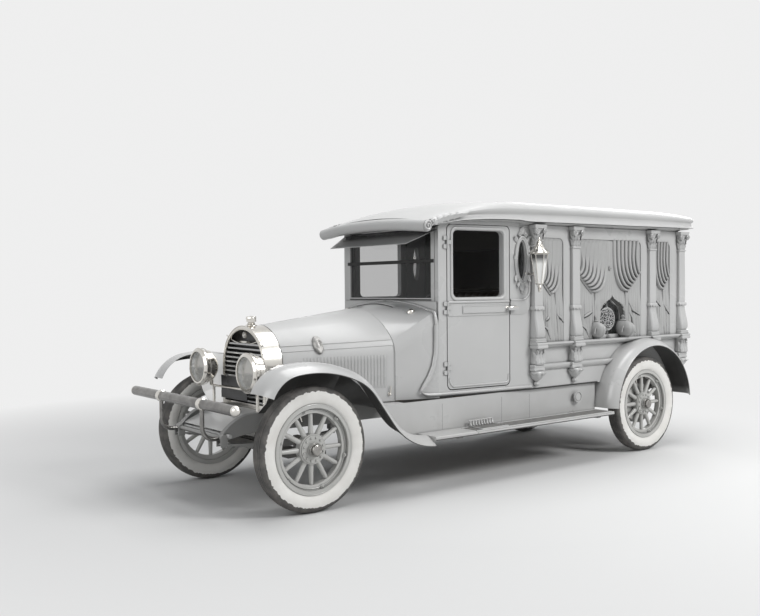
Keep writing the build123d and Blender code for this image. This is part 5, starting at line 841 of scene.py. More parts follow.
def pleat(x, z):
    """Relief of the hanging cloth behind the drapes: fine above, broad and broken near the ledge."""
    wander = 0.35 * sin(17 * x + 1.3 * sin(6 * z)) + 0.25 * sin(41 * x)
    fine = rolled(x / 0.021 + wander)
    broad = rolled(x / 0.043 + 1.6 * wander, 0.5)
    low = smooth((1.46 - z) / 0.18)
    return 0.003 * fine * (1 - low) + low * (0.01 * broad + 0.0025 * fine)


def hanging_cloth(shape, front, rear, low_line, edged, rows=30):
    """The pleated ground between two X stations; low_line gives the lower edge at an X."""
    grid = [[] for _ in range(rows + 1)]
    for x in spaced(front, rear, max(8, round((front - rear) / 0.0036))):
        for row, z in zip(grid, spaced(low_line(x), DRAPE_TOP_Z, rows)):
            edge = min(x - rear, front - x) if edged else 1.0
            sink = 0.0055 * (1 - smooth(min(edge, DRAPE_TOP_Z - z) / 0.008))
            row.append((x, DRAPE_Y - 0.002 + pleat(x, z) - sink, z))
    shape.grid(grid)


# (radius, height) of the covered jar, foot to knob
JAR = (
    (0.06, 0.0), (0.064, 0.006), (0.056, 0.012), (0.08, 0.02), (0.104, 0.046), (0.113, 0.076), (0.108, 0.104),
    (0.086, 0.128), (0.052, 0.142), (0.032, 0.147), (0.036, 0.153), (0.026, 0.16), (0.012, 0.164), (0.011, 0.17),
    (0.018, 0.178), (0.019, 0.188), (0.012, 0.197), (0.0, 0.2),
)


def make_jar(shape, x, size):
    """A lobed covered jar in half relief that stands on the ledge, with a hoop in front."""
    profile = [(radius * size, z) for radius, z in JAR]
    lobes = lambda angle, share: 1 + 0.06 * abs(cos(4 * angle)) * (0.1 < share < 0.62)
    shape.lathe(profile, (x, FRAME_Y - 0.002, LEDGE_Z), Z_AXIS, count=64, wave=lobes, squash=0.44)
    loop = []
    for angle in spaced(0.04 * pi, 0.96 * pi, 20):
        loop.append((x + 0.064 * size * cos(angle), FRAME_Y + 0.044, LEDGE_Z + 0.04 + 0.078 * sin(angle)))
    shape.tube(loop, 0.006, sides=8)


def make_ball(shape):
    """A pierced ball of curled leaves on a foot with a spire, in low relief, in the middle of the arch."""
    centre = Vector((-1.283, 0.6775, 1.196))
    wide, deep, high = 0.108, 0.01, 0.1
    inside = lambda value: min(0.99, max(-0.99, value))

    def place(u, v):
        """A point of the front of the ball; u and v run from -1 to 1."""
        w = sqrt(max(0.0, 1 - v * v))
        return centre + Vector((wide * u * w, deep * w * sqrt(max(0.0, 1 - u * u)), high * v))

    for r, v in enumerate(spaced(-0.86, 0.86, 6)):
        for k, u in enumerate(spaced(-0.84, 0.84, 6 if r % 2 else 5)):
            hand = 1 if (r + k) % 2 else -1
            curl, radii = [], []
            for share in spaced(0, 1, 11):
                angle = hand * (0.6 + 5.4 * share) + 1.3 * r + 0.7 * k
                reach = 0.15 * (1 - 0.55 * share)
                curl.append(place(inside(u + reach * cos(angle)), inside(v + reach * sin(angle))))
                radii.append(0.0046 * (1 - 0.45 * share))
            shape.tube(curl, 0.004, sides=6, radii=radii)
    edge = lambda angle: cos(angle) / max(0.02, sqrt(1 - min(0.9996, sin(angle) ** 2))) * 0.999
    shape.tube([place(edge(angle), sin(angle)) for angle in around(48)], 0.003, sides=6, closed=True)
    spire = [(0.0, 0.15), (0.003, 0.142), (0.005, 0.122), (0.009, 0.112), (0.006, 0.106), (0.014, 0.1)]
    shape.lathe(spire + [(0.02, 0.092)], centre, Z_AXIS, count=16, squash=0.5)
    foot = [(0.016, -0.096), (0.009, -0.106), (0.014, -0.116), (0.01, -0.126), (0.022, -0.138), (0.05, -0.15)]
    shape.lathe(foot + [(0.055, -0.166)], centre, Z_AXIS, count=24, squash=0.2)


def opening_frame(shape, outer_x, outer_z, inner_x, inner_z, radius):
    """A flat surround between the columns, with a round-cornered opening and a rabbet at its edge."""
    steps = 8
    outer = [(outer_x[x], outer_z[z]) for x, z in ((1, 1), (0, 1), (0, 0), (1, 0)) for _ in range(steps + 1)]
    loops = [(outer, SIDE_Y + 0.0005), (outer, FRAME_Y)]
    for inset, y in ((-0.004, FRAME_Y), (-0.001, FRAME_Y - 0.002), (0.001, SIDE_Y + 0.0008)):
        loops.append((rounded_loop(inner_x, inner_z, radius, inset, steps), y))
    shape.grid([[(x, y, max(z, LEDGE_Z + 0.0004)) for x, z in loop] for loop, y in loops], closed=True)


def make_drapery():
    """Carved drapes in three bays a side, with their surrounds, ties, cords, jars and the pierced ball."""
    frames, cloth, relief, lines, lining, ball = (Shape() for _ in range(6))
    for (front, rear), ahead, behind in zip(BAYS, COLUMN_X, COLUMN_X[1:]):
        outer, inner_z = (behind + 0.03, ahead - 0.03), (LEDGE_Z - 0.12, DRAPE_TOP_Z)
        opening_frame(frames, outer, (LEDGE_Z, COLUMN_TOP_Z), (rear, front), inner_z, 0.052)
    outline = ogee_line()
    arch_front, arch_rear = outline[0][0], outline[-1][0]

    def arch_low(x):
        """Height of the arch at this X."""
        for (xa, za), (xb, zb) in zip(outline[1:], outline[2:-1]):
            if min(xa, xb) <= x <= max(xa, xb) and xa != xb:
                return za + (zb - za) * (xa - x) / (xa - xb)
        return ARCH_SPRING_Z

    level = lambda x: LEDGE_Z + 0.0004
    for front, rear, low_line, edged in (
        (*BAYS[0], level, True),
        (BAYS[1][0], arch_front, level, False),
        (arch_front, ARCH_X, arch_low, False),
        (ARCH_X, arch_rear, arch_low, False),
        (arch_rear, BAYS[1][1], level, False),
        (*BAYS[2], level, True),
    ):
        hanging_cloth(cloth, front, rear, low_line, edged)
    for swag in SWAGS:
        make_swag(relief, *swag)
    # Painted shadow: each crease and cord gets a dark tube beside its raised lip, standing in for the shade of the
    # turned fold.
    for crease in CREASES:
        line = divided([Vector((x, DRAPE_Y + 0.007, z)) for x, z in crease], 6)
        swell = [sin(pi * (i + 0.5) / len(line)) ** 0.8 for i in range(len(line))]
        ridge = [p + Vector((0.005, 0.001, 0.01)) for p in line]
        relief.tube(ridge, 0.005, sides=8, radii=[0.003 + 0.0085 * v for v in swell])
        lines.tube(line, 0.005, sides=8, radii=[0.0016 + 0.008 * v for v in swell])
    for cord in CORDS:
        line = divided([Vector((x, DRAPE_Y + 0.003, z)) for x, z in cord], 5)
        lines.tube(line, 0.0036, sides=8)
        relief.tube([p + Vector((0.0058, 0.002, 0)) for p in line], 0.0036, sides=8)
    relief.tube([(x, DRAPE_Y + 0.0005, z) for x, z in outline], 0.004, sides=8)
    scroll(relief, (-1.303, DRAPE_Y + 0.008, 1.637), Y_AXIS, 0.017, 0.005)
    make_jar(relief, -1.096, 0.95)
    make_jar(relief, -1.478, 1.1)
    edge = [(OGEE_X + dx, z) for dx, z in OGEE_OPENING]
    edge += [(2 * OGEE_X - x, z) for x, z in edge[-2::-1]]
    # Painted shade: a dark sheet fills the arch's reveal from its moulding back to the opening.
    reveal = ((outline, DRAPE_Y - 0.0015), (edge, 0.6828))
    lining.grid([[(p.x, y, p.y) for p in resampled(line, 30)] for line, y in reveal])
    lining.place_pair("arch_reveal_shade", shadow_gap)
    make_ball(ball)
    for shape, stem, material, sharp in (
        (frames, "bay_frames", body_paint, 38),
        (cloth, "carved_cloth", carved_paint_and_recess_shade, 60),
        (relief, "carved_drapes", carved_paint_and_recess_shade, 50),
        (lines, "carved_shadow_lines", shadow_gap, 38),
    ):
        shape.place_pair(stem, material, stands_for="carved_panels", sharp=sharp)
    ball.place_pair("pierced_ball", body_paint)


def pillar_row(x, half, out, z, corner=0.005, flute=0.0, steps=5, face=20):
    """One level of a square engaged column: out from the wall, across its face and back."""
    row = [(x + half, SIDE_Y - 0.0005, z)]
    turn = [(corner * (1 - cos(pi / 2 * i / steps)), corner * (1 - sin(pi / 2 * i / steps))) for i in range(steps + 1)]
    row += [(x + half - across, out - down, z) for across, down in turn]
    for i in range(1, face):
        share = i / face
        row.append((x + (half - corner) * (1 - 2 * share), out - flute * (1 - abs(cos(5 * pi * share))), z))
    row += [(x - half + across, out - down, z) for across, down in reversed(turn)]
    return row + [(x - half, SIDE_Y - 0.0005, z)]


def pillar(shape, x, levels, corner=0.005, flute=0.0):
    """A square engaged member through (z, half width, outer Y) levels, closed at both ends."""
    first, last = levels[0], levels[-1]
    rows = [pillar_row(x, first[1], SIDE_Y + 0.006, first[0], corner)]
    for k, (z, half, out) in enumerate(levels):
        rows.append(pillar_row(x, half, out, z, corner, flute if 0 < k < len(levels) - 1 else 0.0))
    rows.append(pillar_row(x, last[1], SIDE_Y + 0.006, last[0], corner))
    shape.grid(rows)


# rows: Z, half width, outer Y
FOOT_LEVELS = (
    (1.0304, 0.06, 0.754), (1.034, 0.0612, 0.7555), (1.042, 0.0612, 0.7555), (1.046, 0.057, 0.751),
    (1.05, 0.057, 0.751), (1.053, 0.0592, 0.7535), (1.061, 0.0592, 0.7535), (1.065, 0.054, 0.748),
    (1.068, 0.051, 0.744),
)
VASE_LEVELS = (
    (1.068, 0.05, 0.742), (1.078, 0.053, 0.751), (1.092, 0.0545, 0.7565), (1.11, 0.0545, 0.758), (1.135, 0.0535, 0.756),
    (1.165, 0.052, 0.751), (1.195, 0.0505, 0.745), (1.225, 0.049, 0.7385), (1.255, 0.048, 0.733),
    (1.285, 0.0475, 0.729), (1.306, 0.047, 0.727),
)
SHAFT_LEVELS = (
    (1.318, 0.0475, 0.7275), (1.34, 0.0465, 0.7265), (1.5, 0.0462, 0.7265), (1.7, 0.0452, 0.725),
    (1.808, 0.0448, 0.7245),
)
NECK_LEVELS = (
    (1.803, 0.048, 0.728), (1.806, 0.0515, 0.732), (1.812, 0.053, 0.734), (1.818, 0.0515, 0.732), (1.822, 0.046, 0.726),
)
CAPITAL_LEVELS = (
    (1.82, 0.044, 0.7245), (1.86, 0.045, 0.726), (1.9, 0.048, 0.73), (1.93, 0.053, 0.737), (1.948, 0.059, 0.745),
    (1.952, 0.06, 0.747), (1.956, 0.066, 0.754), (1.966, 0.067, 0.755), (1.97, 0.069, 0.757), (1.9848, 0.07, 0.758),
)
LEDGE_LEVELS = (
    (0.9846, 0.0606, 0.7686), (0.988, 0.063, 0.7705), (0.997, 0.065, 0.7725), (1.005, 0.063, 0.7705),
    (1.0075, 0.0608, 0.7688), (1.011, 0.0608, 0.7688), (1.0135, 0.063, 0.7705), (1.021, 0.065, 0.773),
    (1.0275, 0.063, 0.7705), (1.0302, 0.0608, 0.7688),
)
RAIL_LEVELS = (
    (0.7996, 0.0606, 0.7326), (0.804, 0.0625, 0.735), (0.812, 0.064, 0.737), (0.82, 0.0625, 0.7345),
    (0.823, 0.0606, 0.733), (0.829, 0.0606, 0.733), (0.832, 0.0625, 0.7345), (0.841, 0.064, 0.737),
    (0.848, 0.0625, 0.7345), (0.8524, 0.0606, 0.7326),
)
CONSOLE_LEVELS = (
    (0.9846, 0.048, 0.748), (0.978, 0.048, 0.747), (0.97, 0.043, 0.74), (0.95, 0.043, 0.739), (0.92, 0.048, 0.744),
    (0.89, 0.054, 0.752), (0.866, 0.055, 0.753), (0.858, 0.052, 0.75), (0.8525, 0.05, 0.748),
)
# the last five levels, above the fender that cuts the moulding off
LEDGE_TOP_LEVELS = LEDGE_LEVELS[5:]
# rows: Z, swell, droop of the leafy collar between vase and shaft
COLLAR = (
    (1.33, 0.001, 0.0), (1.329, 0.006, 0.001), (1.32, 0.0105, 0.004), (1.309, 0.0115, 0.011), (1.303, 0.008, 0.012),
    (1.302, 0.0, 0.002),
)
# rows: distance along the side, Z, length, width of the capital's front leaves
CAPITAL_LEAVES = (
    (-0.03, 1.828, 0.05, 0.032), (0, 1.828, 0.054, 0.034), (0.03, 1.828, 0.05, 0.032), (-0.016, 1.862, 0.066, 0.034),
    (0.016, 1.862, 0.066, 0.034),
)
# (radius, Z) of the turned drop
DROP_CUP = (
    (0.0, 0.7996), (0.052, 0.7996), (0.058, 0.79), (0.0585, 0.776), (0.053, 0.76), (0.043, 0.744), (0.03, 0.73),
    (0.018, 0.72),
)
DROP_TIP = ((0.018, 0.72), (0.013, 0.713), (0.02, 0.706), (0.024, 0.697), (0.021, 0.687), (0.012, 0.677), (0.0, 0.673))


def make_column(shape, x):
    """Foot, fluted vase, leaf collar, square shaft, necking and leafy capital of one engaged column."""
    pillar(shape, x, FOOT_LEVELS)
    pillar(shape, x, VASE_LEVELS, 0.02, 0.002)
    pillar(shape, x, SHAFT_LEVELS, 0.004)
    pillar(shape, x, NECK_LEVELS)
    pillar(shape, x, CAPITAL_LEVELS)
    rows = []
    for z, swell, droop in COLLAR:
        row = []
        for px, py, pz in pillar_row(x, 0.047 + swell, 0.7275 + swell, z, 0.008, steps=6, face=24):
            bell = abs(cos(pi * (px - x + (0.7275 - py) * (1 if px > x else -1)) / 0.0315))
            row.append((x + (px - x) * (0.97 + 0.03 * bell), py - 0.0015 * (1 - bell), pz - droop * bell))
        rows.append(row)
    shape.grid(rows)
    for dx, z, length, width in CAPITAL_LEAVES:
        leaf(shape, (x + dx, 0.7255, z), (0, 0.16, 1), Y_AXIS, length, width)
    for hand in (1, -1):
        for y, z in ((0.712, 1.828), (0.718, 1.862)):
            leaf(shape, (x + hand * 0.0455, y, z), (0.1 * hand, 0.05, 1), X_AXIS * hand, 0.06, 0.034)
        scroll(shape, (x + hand * 0.048, 0.7535, 1.932), Y_AXIS, 0.024, 0.0062, hand=-hand)
        scroll(shape, (x + hand * 0.0615, 0.735, 1.932), X_AXIS * hand, 0.02, 0.0055, hand=hand)


def make_bracket(shape, x):
    """The leafy console under the ledge and the turned drop below the lower moulding."""
    pillar(shape, x, CONSOLE_LEVELS, 0.01)
    for dx, length, width in ((-0.034, 0.092, 0.046), (0.034, 0.092, 0.046), (0.0, 0.104, 0.04)):
        leaf(shape, (x + dx, 0.751, 0.864), (dx * 0.8, -0.15, 1), Y_AXIS, length, width, 0.14)
    for hand in (1, -1):
        leaf(shape, (x + hand * 0.053, 0.722, 0.864), (-0.1 * hand, 0, 1), X_AXIS * hand, 0.098, 0.052, 0.12)
        scroll(shape, (x + hand * 0.038, 0.748, 0.968), Y_AXIS, 0.011, 0.0038, 1.4, hand)
    axis = Vector((x, 0.699, 0))
    lobes = lambda angle, share: 1 + 0.07 * abs(cos(2.5 * angle)) * smooth((share - 0.1) * 5)
    shape.lathe(DROP_CUP, axis, Z_AXIS, count=60, wave=lobes)
    for angle in spaced(0, pi, 4):
        out = Vector((cos(angle), sin(angle), 0))
        leaf(shape, axis + out * 0.026 + Z_AXIS * 0.727, (out.x * 0.66, out.y * 0.66, 1), out, 0.07, 0.04, 0.18)
    shape.lathe(DROP_TIP, axis, Z_AXIS, count=32, wave=lambda angle, share: 1 + 0.1 * cos(5 * angle) * (share > 0.3))


def make_columns():
    """The four engaged columns of each side, and the steps that ledge and lower moulding take under them."""
    columns, steps = Shape(), Shape()
    for x in COLUMN_X:
        above_fender = abs(x - REAR_AXLE_X) < BRACKET_REACH
        make_column(columns, x)
        pillar(steps, x, LEDGE_TOP_LEVELS if above_fender else LEDGE_LEVELS)
        if not above_fender:
            make_bracket(columns, x)
            pillar(steps, x, RAIL_LEVELS)
    columns.place_pair("columns", body_paint, stands_for="columns", sharp=42)
    steps.place_pair("moulding_steps", body_paint)


# (radius, Z) of the coach lamp's foot and of its cap, and of the six-sided glass between them
LAMP_FOOT = (
    (0.0, 1.44), (0.008, 1.443), (0.012, 1.452), (0.008, 1.459), (0.014, 1.463), (0.016, 1.47), (0.01, 1.475),
    (0.015, 1.479), (0.018, 1.486), (0.016, 1.493), (0.024, 1.5), (0.029, 1.506),
)
LAMP_CAP = (
    (0.05, 1.742), (0.07, 1.75), (0.08, 1.748), (0.081, 1.755), (0.07, 1.766), (0.054, 1.778), (0.04, 1.794),
    (0.031, 1.812), (0.026, 1.826), (0.02, 1.832), (0.024, 1.838), (0.018, 1.845), (0.01, 1.85), (0.013, 1.857),
    (0.012, 1.864), (0.005, 1.87), (0.004, 1.876), (0.0, 1.88),
)
LAMP_GLASS = ((0.0265, 1.507), (0.043, 1.6), (0.058, 1.7), (0.063, 1.744))
LAMP_X, LAMP_Y, LAMP_ARM_Z = -0.264, 0.812, 1.592


def make_coach_lamps():
    """Six-paned side lamps under scalloped caps, each on an arm from the body."""
    centre, begin = Vector((LAMP_X, LAMP_Y, 0)), radians(15)
    metal, panes = Shape(), Shape()

    def ring(radius, z):
        """The six corners at this height."""
        return [centre + Vector((radius * cos(begin + a), radius * sin(begin + a), z)) for a in around(6)]

    metal.lathe(LAMP_FOOT, centre, Z_AXIS, count=32)
    panes.grid([ring(*level) for level in LAMP_GLASS], closed=True)
    for k in range(6):
        metal.tube([ring(radius + 0.001, z)[k] for radius, z in LAMP_GLASS], 0.0035, sides=8)
    for radius, z, wire in ((0.029, 1.508, 0.0045), (0.064, 1.744, 0.005)):
        corners = ring(radius, z)
        metal.tube(divided(corners + corners[:1], 2)[:-1], wire, sides=8, closed=True)
    scallops = lambda angle, share: 1 + 0.1 * abs(cos(3 * (angle - begin))) ** 0.6 * (0.05 < share < 0.45)
    metal.lathe(LAMP_CAP, centre, Z_AXIS, count=72, wave=scallops)
    arm = ((0.672, LAMP_ARM_Z), (0.72, 1.585), (0.762, LAMP_ARM_Z), (0.772, 1.61))
    metal.tube([(LAMP_X, y, z) for y, z in arm], 0.009, sides=12)
    flange = [(0.022, 0.0), (0.022, 0.004), (0.016, 0.009), (0.009, 0.012)]
    metal.lathe(flange, (LAMP_X, side_y(LAMP_X), LAMP_ARM_Z), Y_AXIS, count=24)
    metal.place_pair("coach_lamp_frames", nickel, stands_for="coach_lamps")
    panes.place_pair("coach_lamp_panes", lamp_panes, stands_for="coach_lamps", smooth=False)


OVAL_X, OVAL_Z = -0.212, 1.7
# rows: place from the middle, way it grows, length and width of each leaf; the second group has a twin
WREATH_LEAVES = ((0.0, 0.205, 0, 1, 0.066, 0.06), (0.0, -0.19, 0, -1, 0.07, 0.056), (0.07, 0.0, 0.25, 1, 0.048, 0.028))
WREATH_PAIRS = (
    (0.05, 0.15, 0.75, 0.9, 0.056, 0.04), (0.058, -0.12, 0.35, -1, 0.062, 0.036),
    (0.026, -0.178, 0.6, -0.8, 0.052, 0.034),
)


def make_oval_frames():
    """A wreath of moulding and leaves round each oval window, with a drop below it."""
    shape = Shape()
    for wide, high, wire in ((0.056, 0.168, 0.0095), (0.07, 0.186, 0.012)):
        ring = [on_side(OVAL_X + wide * cos(a), OVAL_Z + high * sin(a), 0.004) for a in around(72)]
        shape.tube(ring, wire, closed=True)
    twins = tuple((-dx, dz, -ux, *rest) for dx, dz, ux, *rest in WREATH_PAIRS)
    for dx, dz, ux, uz, length, width in WREATH_LEAVES + WREATH_PAIRS + twins:
        root, up = on_side(OVAL_X + dx, OVAL_Z + dz, 0.008), (ux, -ux * tan(SIDE_LEAN), uz)
        leaf(shape, root, up, SIDE_OUT, length, width, 0.22)
    for hand in (1, -1):
        scroll(shape, on_side(OVAL_X + hand * 0.03, OVAL_Z + 0.205, 0.012), SIDE_OUT, 0.017, 0.005, 1.6, hand)
    drop = [(0, 0), (0.012, -0.004), (0.016, -0.016), (0.011, -0.03), (0.014, -0.038), (0.009, -0.048), (0, -0.052)]
    foot = on_side(OVAL_X, OVAL_Z - 0.222, 0.006)
    shape.lathe(drop, foot, Z_AXIS, count=20, wave=lambda angle, share: 1 + 0.08 * cos(5 * angle))
    shape.place_pair("oval_frames", roof_paint)


def strip(shape, centres, half_width, lift, place=on_side, sides=7):
    """A half-round moulding along (x, z) stations on the side."""
    line = [Vector(p) for p in centres]
    rows = []
    for i, spot in enumerate(line):
        along = (line[min(i + 1, len(line) - 1)] - line[max(i - 1, 0)]).normalized()
        normal = Vector((-along.y, along.x))
        row = []
        for k in range(sides + 2):
            angle = pi * k / (sides + 1)
            edge = spot + normal * (half_width * cos(angle))
            row.append(place(edge.x, edge.y, lift * sin(angle) ** 0.8 - 0.0008))
        rows.append(row)
    shape.grid(rows)


# the bottom rail's end on the cowl, and the moulding that sweeps down to it, as (x, z, y)
RAIL_HOOK = (
    (0.782, 0.7, 0.57), (0.757, 0.686, 0.575), (0.725, 0.679, 0.582), (0.68, 0.676, 0.59), (0.64, 0.676, 0.596),
    (0.596, 0.676, 0.602),
)
COWL_SWEEP = (
    (0.652, 1.205, 0.6), (0.652, 1.09, 0.6), (0.655, 0.99, 0.598), (0.676, 0.89, 0.594), (0.712, 0.812, 0.588),
    (0.752, 0.752, 0.581), (0.786, 0.712, 0.574),
)
# the foot of the hoop round the cowl's rear edge, as (x, y, z)
HOOP_FOOT = ((0.646, 0.576, 1.297), (0.649, 0.59, 1.265), (0.651, 0.598, 1.23), (0.652, 0.602, 1.195))
HANDLE_X, HANDLE_Z = -0.05, 1.322


def add_door_trim(shape):
    """Belt band with its blank plate, window moulding and low bead of a cab door."""
    plaque(shape, (-0.07, 0.534), (1.264, 1.362), 0.004, 0.0045, 0.002)
    strip(shape, [(x, 1.372) for x in spaced(0.534, -0.07, 12)], 0.011, 0.012)
    plaque(shape, (-0.046, 0.402), (1.282, 1.346), 0.004, 0.01, 0.002)
    picture_frame(shape, (-0.036, 0.392), (1.292, 1.336), 0.003, 0.006, 0.013)
    picture_frame(shape, (-0.016, 0.489), (1.406, 1.929), 0.034, 0.022, 0.009)
    front = arc_points((0.526, 0.79), (0, -1), (0.49, 0.727), 5)
    rear = arc_points((-0.03, 0.727), (-1, 0), (-0.064, 0.765), 5)
    strip(shape, [*front, (0.2, 0.727), *rear, (-0.064, 0.79)], 0.008, 0.008)


def add_handle(shape):
    """A lever handle on its rose."""
    rose = [(0.0, 0.014), (0.01, 0.013), (0.017, 0.006), (0.019, 0.0)]
    shape.lathe(rose, on_side(HANDLE_X, HANDLE_Z, 0.006), SIDE_OUT, count=28)
    lever = ((0, 0, 0.018), (-0.003, 0, 0.036), (-0.018, 0.002, 0.04), (-0.055, 0.005, 0.04), (-0.09, 0, 0.038))
    path = [on_side(HANDLE_X + dx, HANDLE_Z + dz, lift) for dx, dz, lift in lever]
    shape.tube(path, 0.007, sides=12, radii=[0.008, 0.0078, 0.0075, 0.0085, 0.0045])


def quarter_line(z, rise):
    """A line on the quarter panel that turns up at its rear end."""
    return [Vector((-0.088, z))] + arc_points((-0.205, z), (-1, 0), (-0.291, z + rise), 8)


def add_quarter_trim(shape):
    """Belt moulding and belt band of the quarter panel, and the body's bottom rail."""
    curve = [Vector((-0.088, 1.381))] + arc_points((-0.205, 1.381), (-1, 0), (-0.29, 1.465), 8)
    strip(shape, [*curve, (-0.29, 1.6), (-0.29, 1.82)], 0.01, 0.011)
    rows = []
    for share, lift in ((0.0, -0.001), (0.0, 0.003), (0.02, 0.0045), (1.0, 0.0045)):
        band = zip(quarter_line(1.264, 0.046), quarter_line(1.372, 0.046))
        rows.append([on_side(*a.lerp(b, share), lift) for a, b in band])
    shape.grid(rows)
    strip(shape, [(x, 0.676) for x in spaced(0.6, -0.3, 24)], 0.014, 0.016)


def add_cowl_trim(shape):
    """The rail's hook on the cowl, the moulding that sweeps down to it, and the hoop over the cowl."""
    arch = spaced(0, pi, 7)
    rows = []
    for i, (x, z, y) in enumerate(RAIL_HOOK):
        half = 0.014 * min(1.0, 0.25 + 0.5 * i)
        rows.append([(x, y + 0.016 * max(0.0, sin(a)) ** 0.8 - 0.001, z + half * cos(a)) for a in arch])
    shape.grid(rows)
    rows = []
    for i, (x, z, y) in enumerate(COWL_SWEEP):
        along = Vector(COWL_SWEEP[min(i + 1, 6)]) - Vector(COWL_SWEEP[max(i - 1, 0)])
        normal = Vector((-along.y, along.x)).normalized() * (0.018 if i < 6 else 0.007)
        rows.append([(x + normal.x * cos(a), y + 0.018 * sin(a) - 0.002, z + normal.y * cos(a)) for a in arch])
    shape.grid(rows)
    left, right = ([Vector((x, hand * y, z)) for x, y, z in HOOP_FOOT] for hand in (1, -1))
    crown = [cowl_point(0.642, y, 0.002) for y in spaced(-0.558, 0.558, 40)]
    shape.tube(right[::-1] + crown + left, 0.012)


def make_side_trim():
    """Mouldings of doors, quarter panels and cowl, the door handles, and a painted shadow line above the sill."""
    door, handle, body, gap = (Shape() for _ in range(4))
    add_door_trim(door)
    add_handle(handle)
    add_quarter_trim(body)
    add_cowl_trim(body)
    # Painted shadow: a dark tube along the body's bottom edge stands in for the shade beneath it.
    gap.tube([on_side(x, 0.6545, 0.0035) for x in spaced(0.62, -1.14, 40)], 0.0055, sides=8)
    doors = ("door_left", "door_right")
    handle.place_pair("door_handle_levers", nickel, doors)
    gap.place_pair("sill_shadow_line", shadow_gap)
    door.place_pair("door_trim", body_paint, doors)
    body.place_pair("body_trim", body_paint)


def make_rear_trim():
    """Mouldings of the rear door, a frame round it, and a tail lamp."""
    door, body, lamp, lens = (Shape() for _ in range(4))
    picture_frame(door, (-0.3, 0.3), (1.32, 1.74), 0.06, 0.024, 0.011, on_rear)
    plaque(door, (-0.36, 0.36), (0.945, 1.205), 0.02, 0.006, 0.005, on_rear)
    picture_frame(door, (-0.385, 0.385), (0.92, 1.23), 0.026, 0.016, 0.01, on_rear)
    door.place("rear_door_trim", body_paint, "rear_door")
    picture_frame(body, (-0.556, 0.556), (0.826, 1.898), 0.012, 0.016, 0.01, on_rear)
    for z in (1.945, 0.792):
        strip(body, [(y, z) for y in spaced(0.6, -0.6, 16)], 0.011, 0.012, on_rear)
    body.place("rear_wall_trim", body_paint)
    start, foot, end = (on_rear(0.6, 0.74, back) for back in (-0.004, 0.022, 0.05))
    lamp.tube([start, end], 0.007, sides=12)
    drum = [(0.0, 0.0), (0.026, 0.002), (0.03, 0.01), (0.03, 0.052), (0.036, 0.056), (0.036, 0.064), (0.031, 0.066)]
    lamp.lathe(drum, foot, -X_AXIS, count=36)
    lens.lathe([(0.031, 0.064), (0.022, 0.07), (0.0, 0.073)], foot, -X_AXIS, count=36)
    lamp.place("tail_lamp", black_enamel)
    lens.place("tail_lamp_lens", red_glass)


# rows: X and rise of the cowl's vent lid
VENT_LID = ((0.77, 0.003), (0.766, 0.01), (0.74, 0.008), (0.71, 0.005), (0.685, 0.003), (0.668, 0.0))


def make_cowl_fittings():
    """Vent lid with its dark slot, a small bright lamp on each side, and the wall under the windscreen."""
    lid, slot, lamp, wall = (Shape() for _ in range(4))
    sides = (-0.235, 0.235)
    across = spaced(*sides, 16)
    lid.grid([[cowl_point(x, y, 0.0 if y in sides else lift) for y in across] for x, lift in VENT_LID])
    lid.place("cowl_vent_lid", roof_paint)
    slot.tube([cowl_point(0.7725, y, 0.002) for y in spaced(-0.23, 0.23, 16)], 0.0032, sides=8)
    slot.place("cowl_vent_slot", black_enamel)
    hood = [(0.0, 0.02), (0.01, 0.018), (0.018, 0.011), (0.023, 0.0), (0.025, -0.01)]
    lamp.lathe(hood, cowl_point(0.728, 0.405, 0.004), (0.1, 0.45, 1), count=28, squash=1.5)
    lamp.place_pair("cowl_lamps", nickel)
    wall.block((0.634, 0, 1.305), (0.008, 1.17, 0.15), 0.002)
    wall.place("cowl_rear_wall", body_paint)


MAT_FRONT_X, MAT_REAR_X, MAT_IN_Y, MAT_OUT_Y = 0.47, -1.1, 0.706, 0.852
MAT_LOW_Z, MAT_GROOVE_Z, MAT_RIB_Z, MAT_LINES = 0.414, 0.4165, 0.4185, 56
STEP_FRONT_X, STEP_REAR_X = 0.416, 0.146
SEAM_X, SEAM_HALF = (0.676, 0.046, -0.274), 0.0012


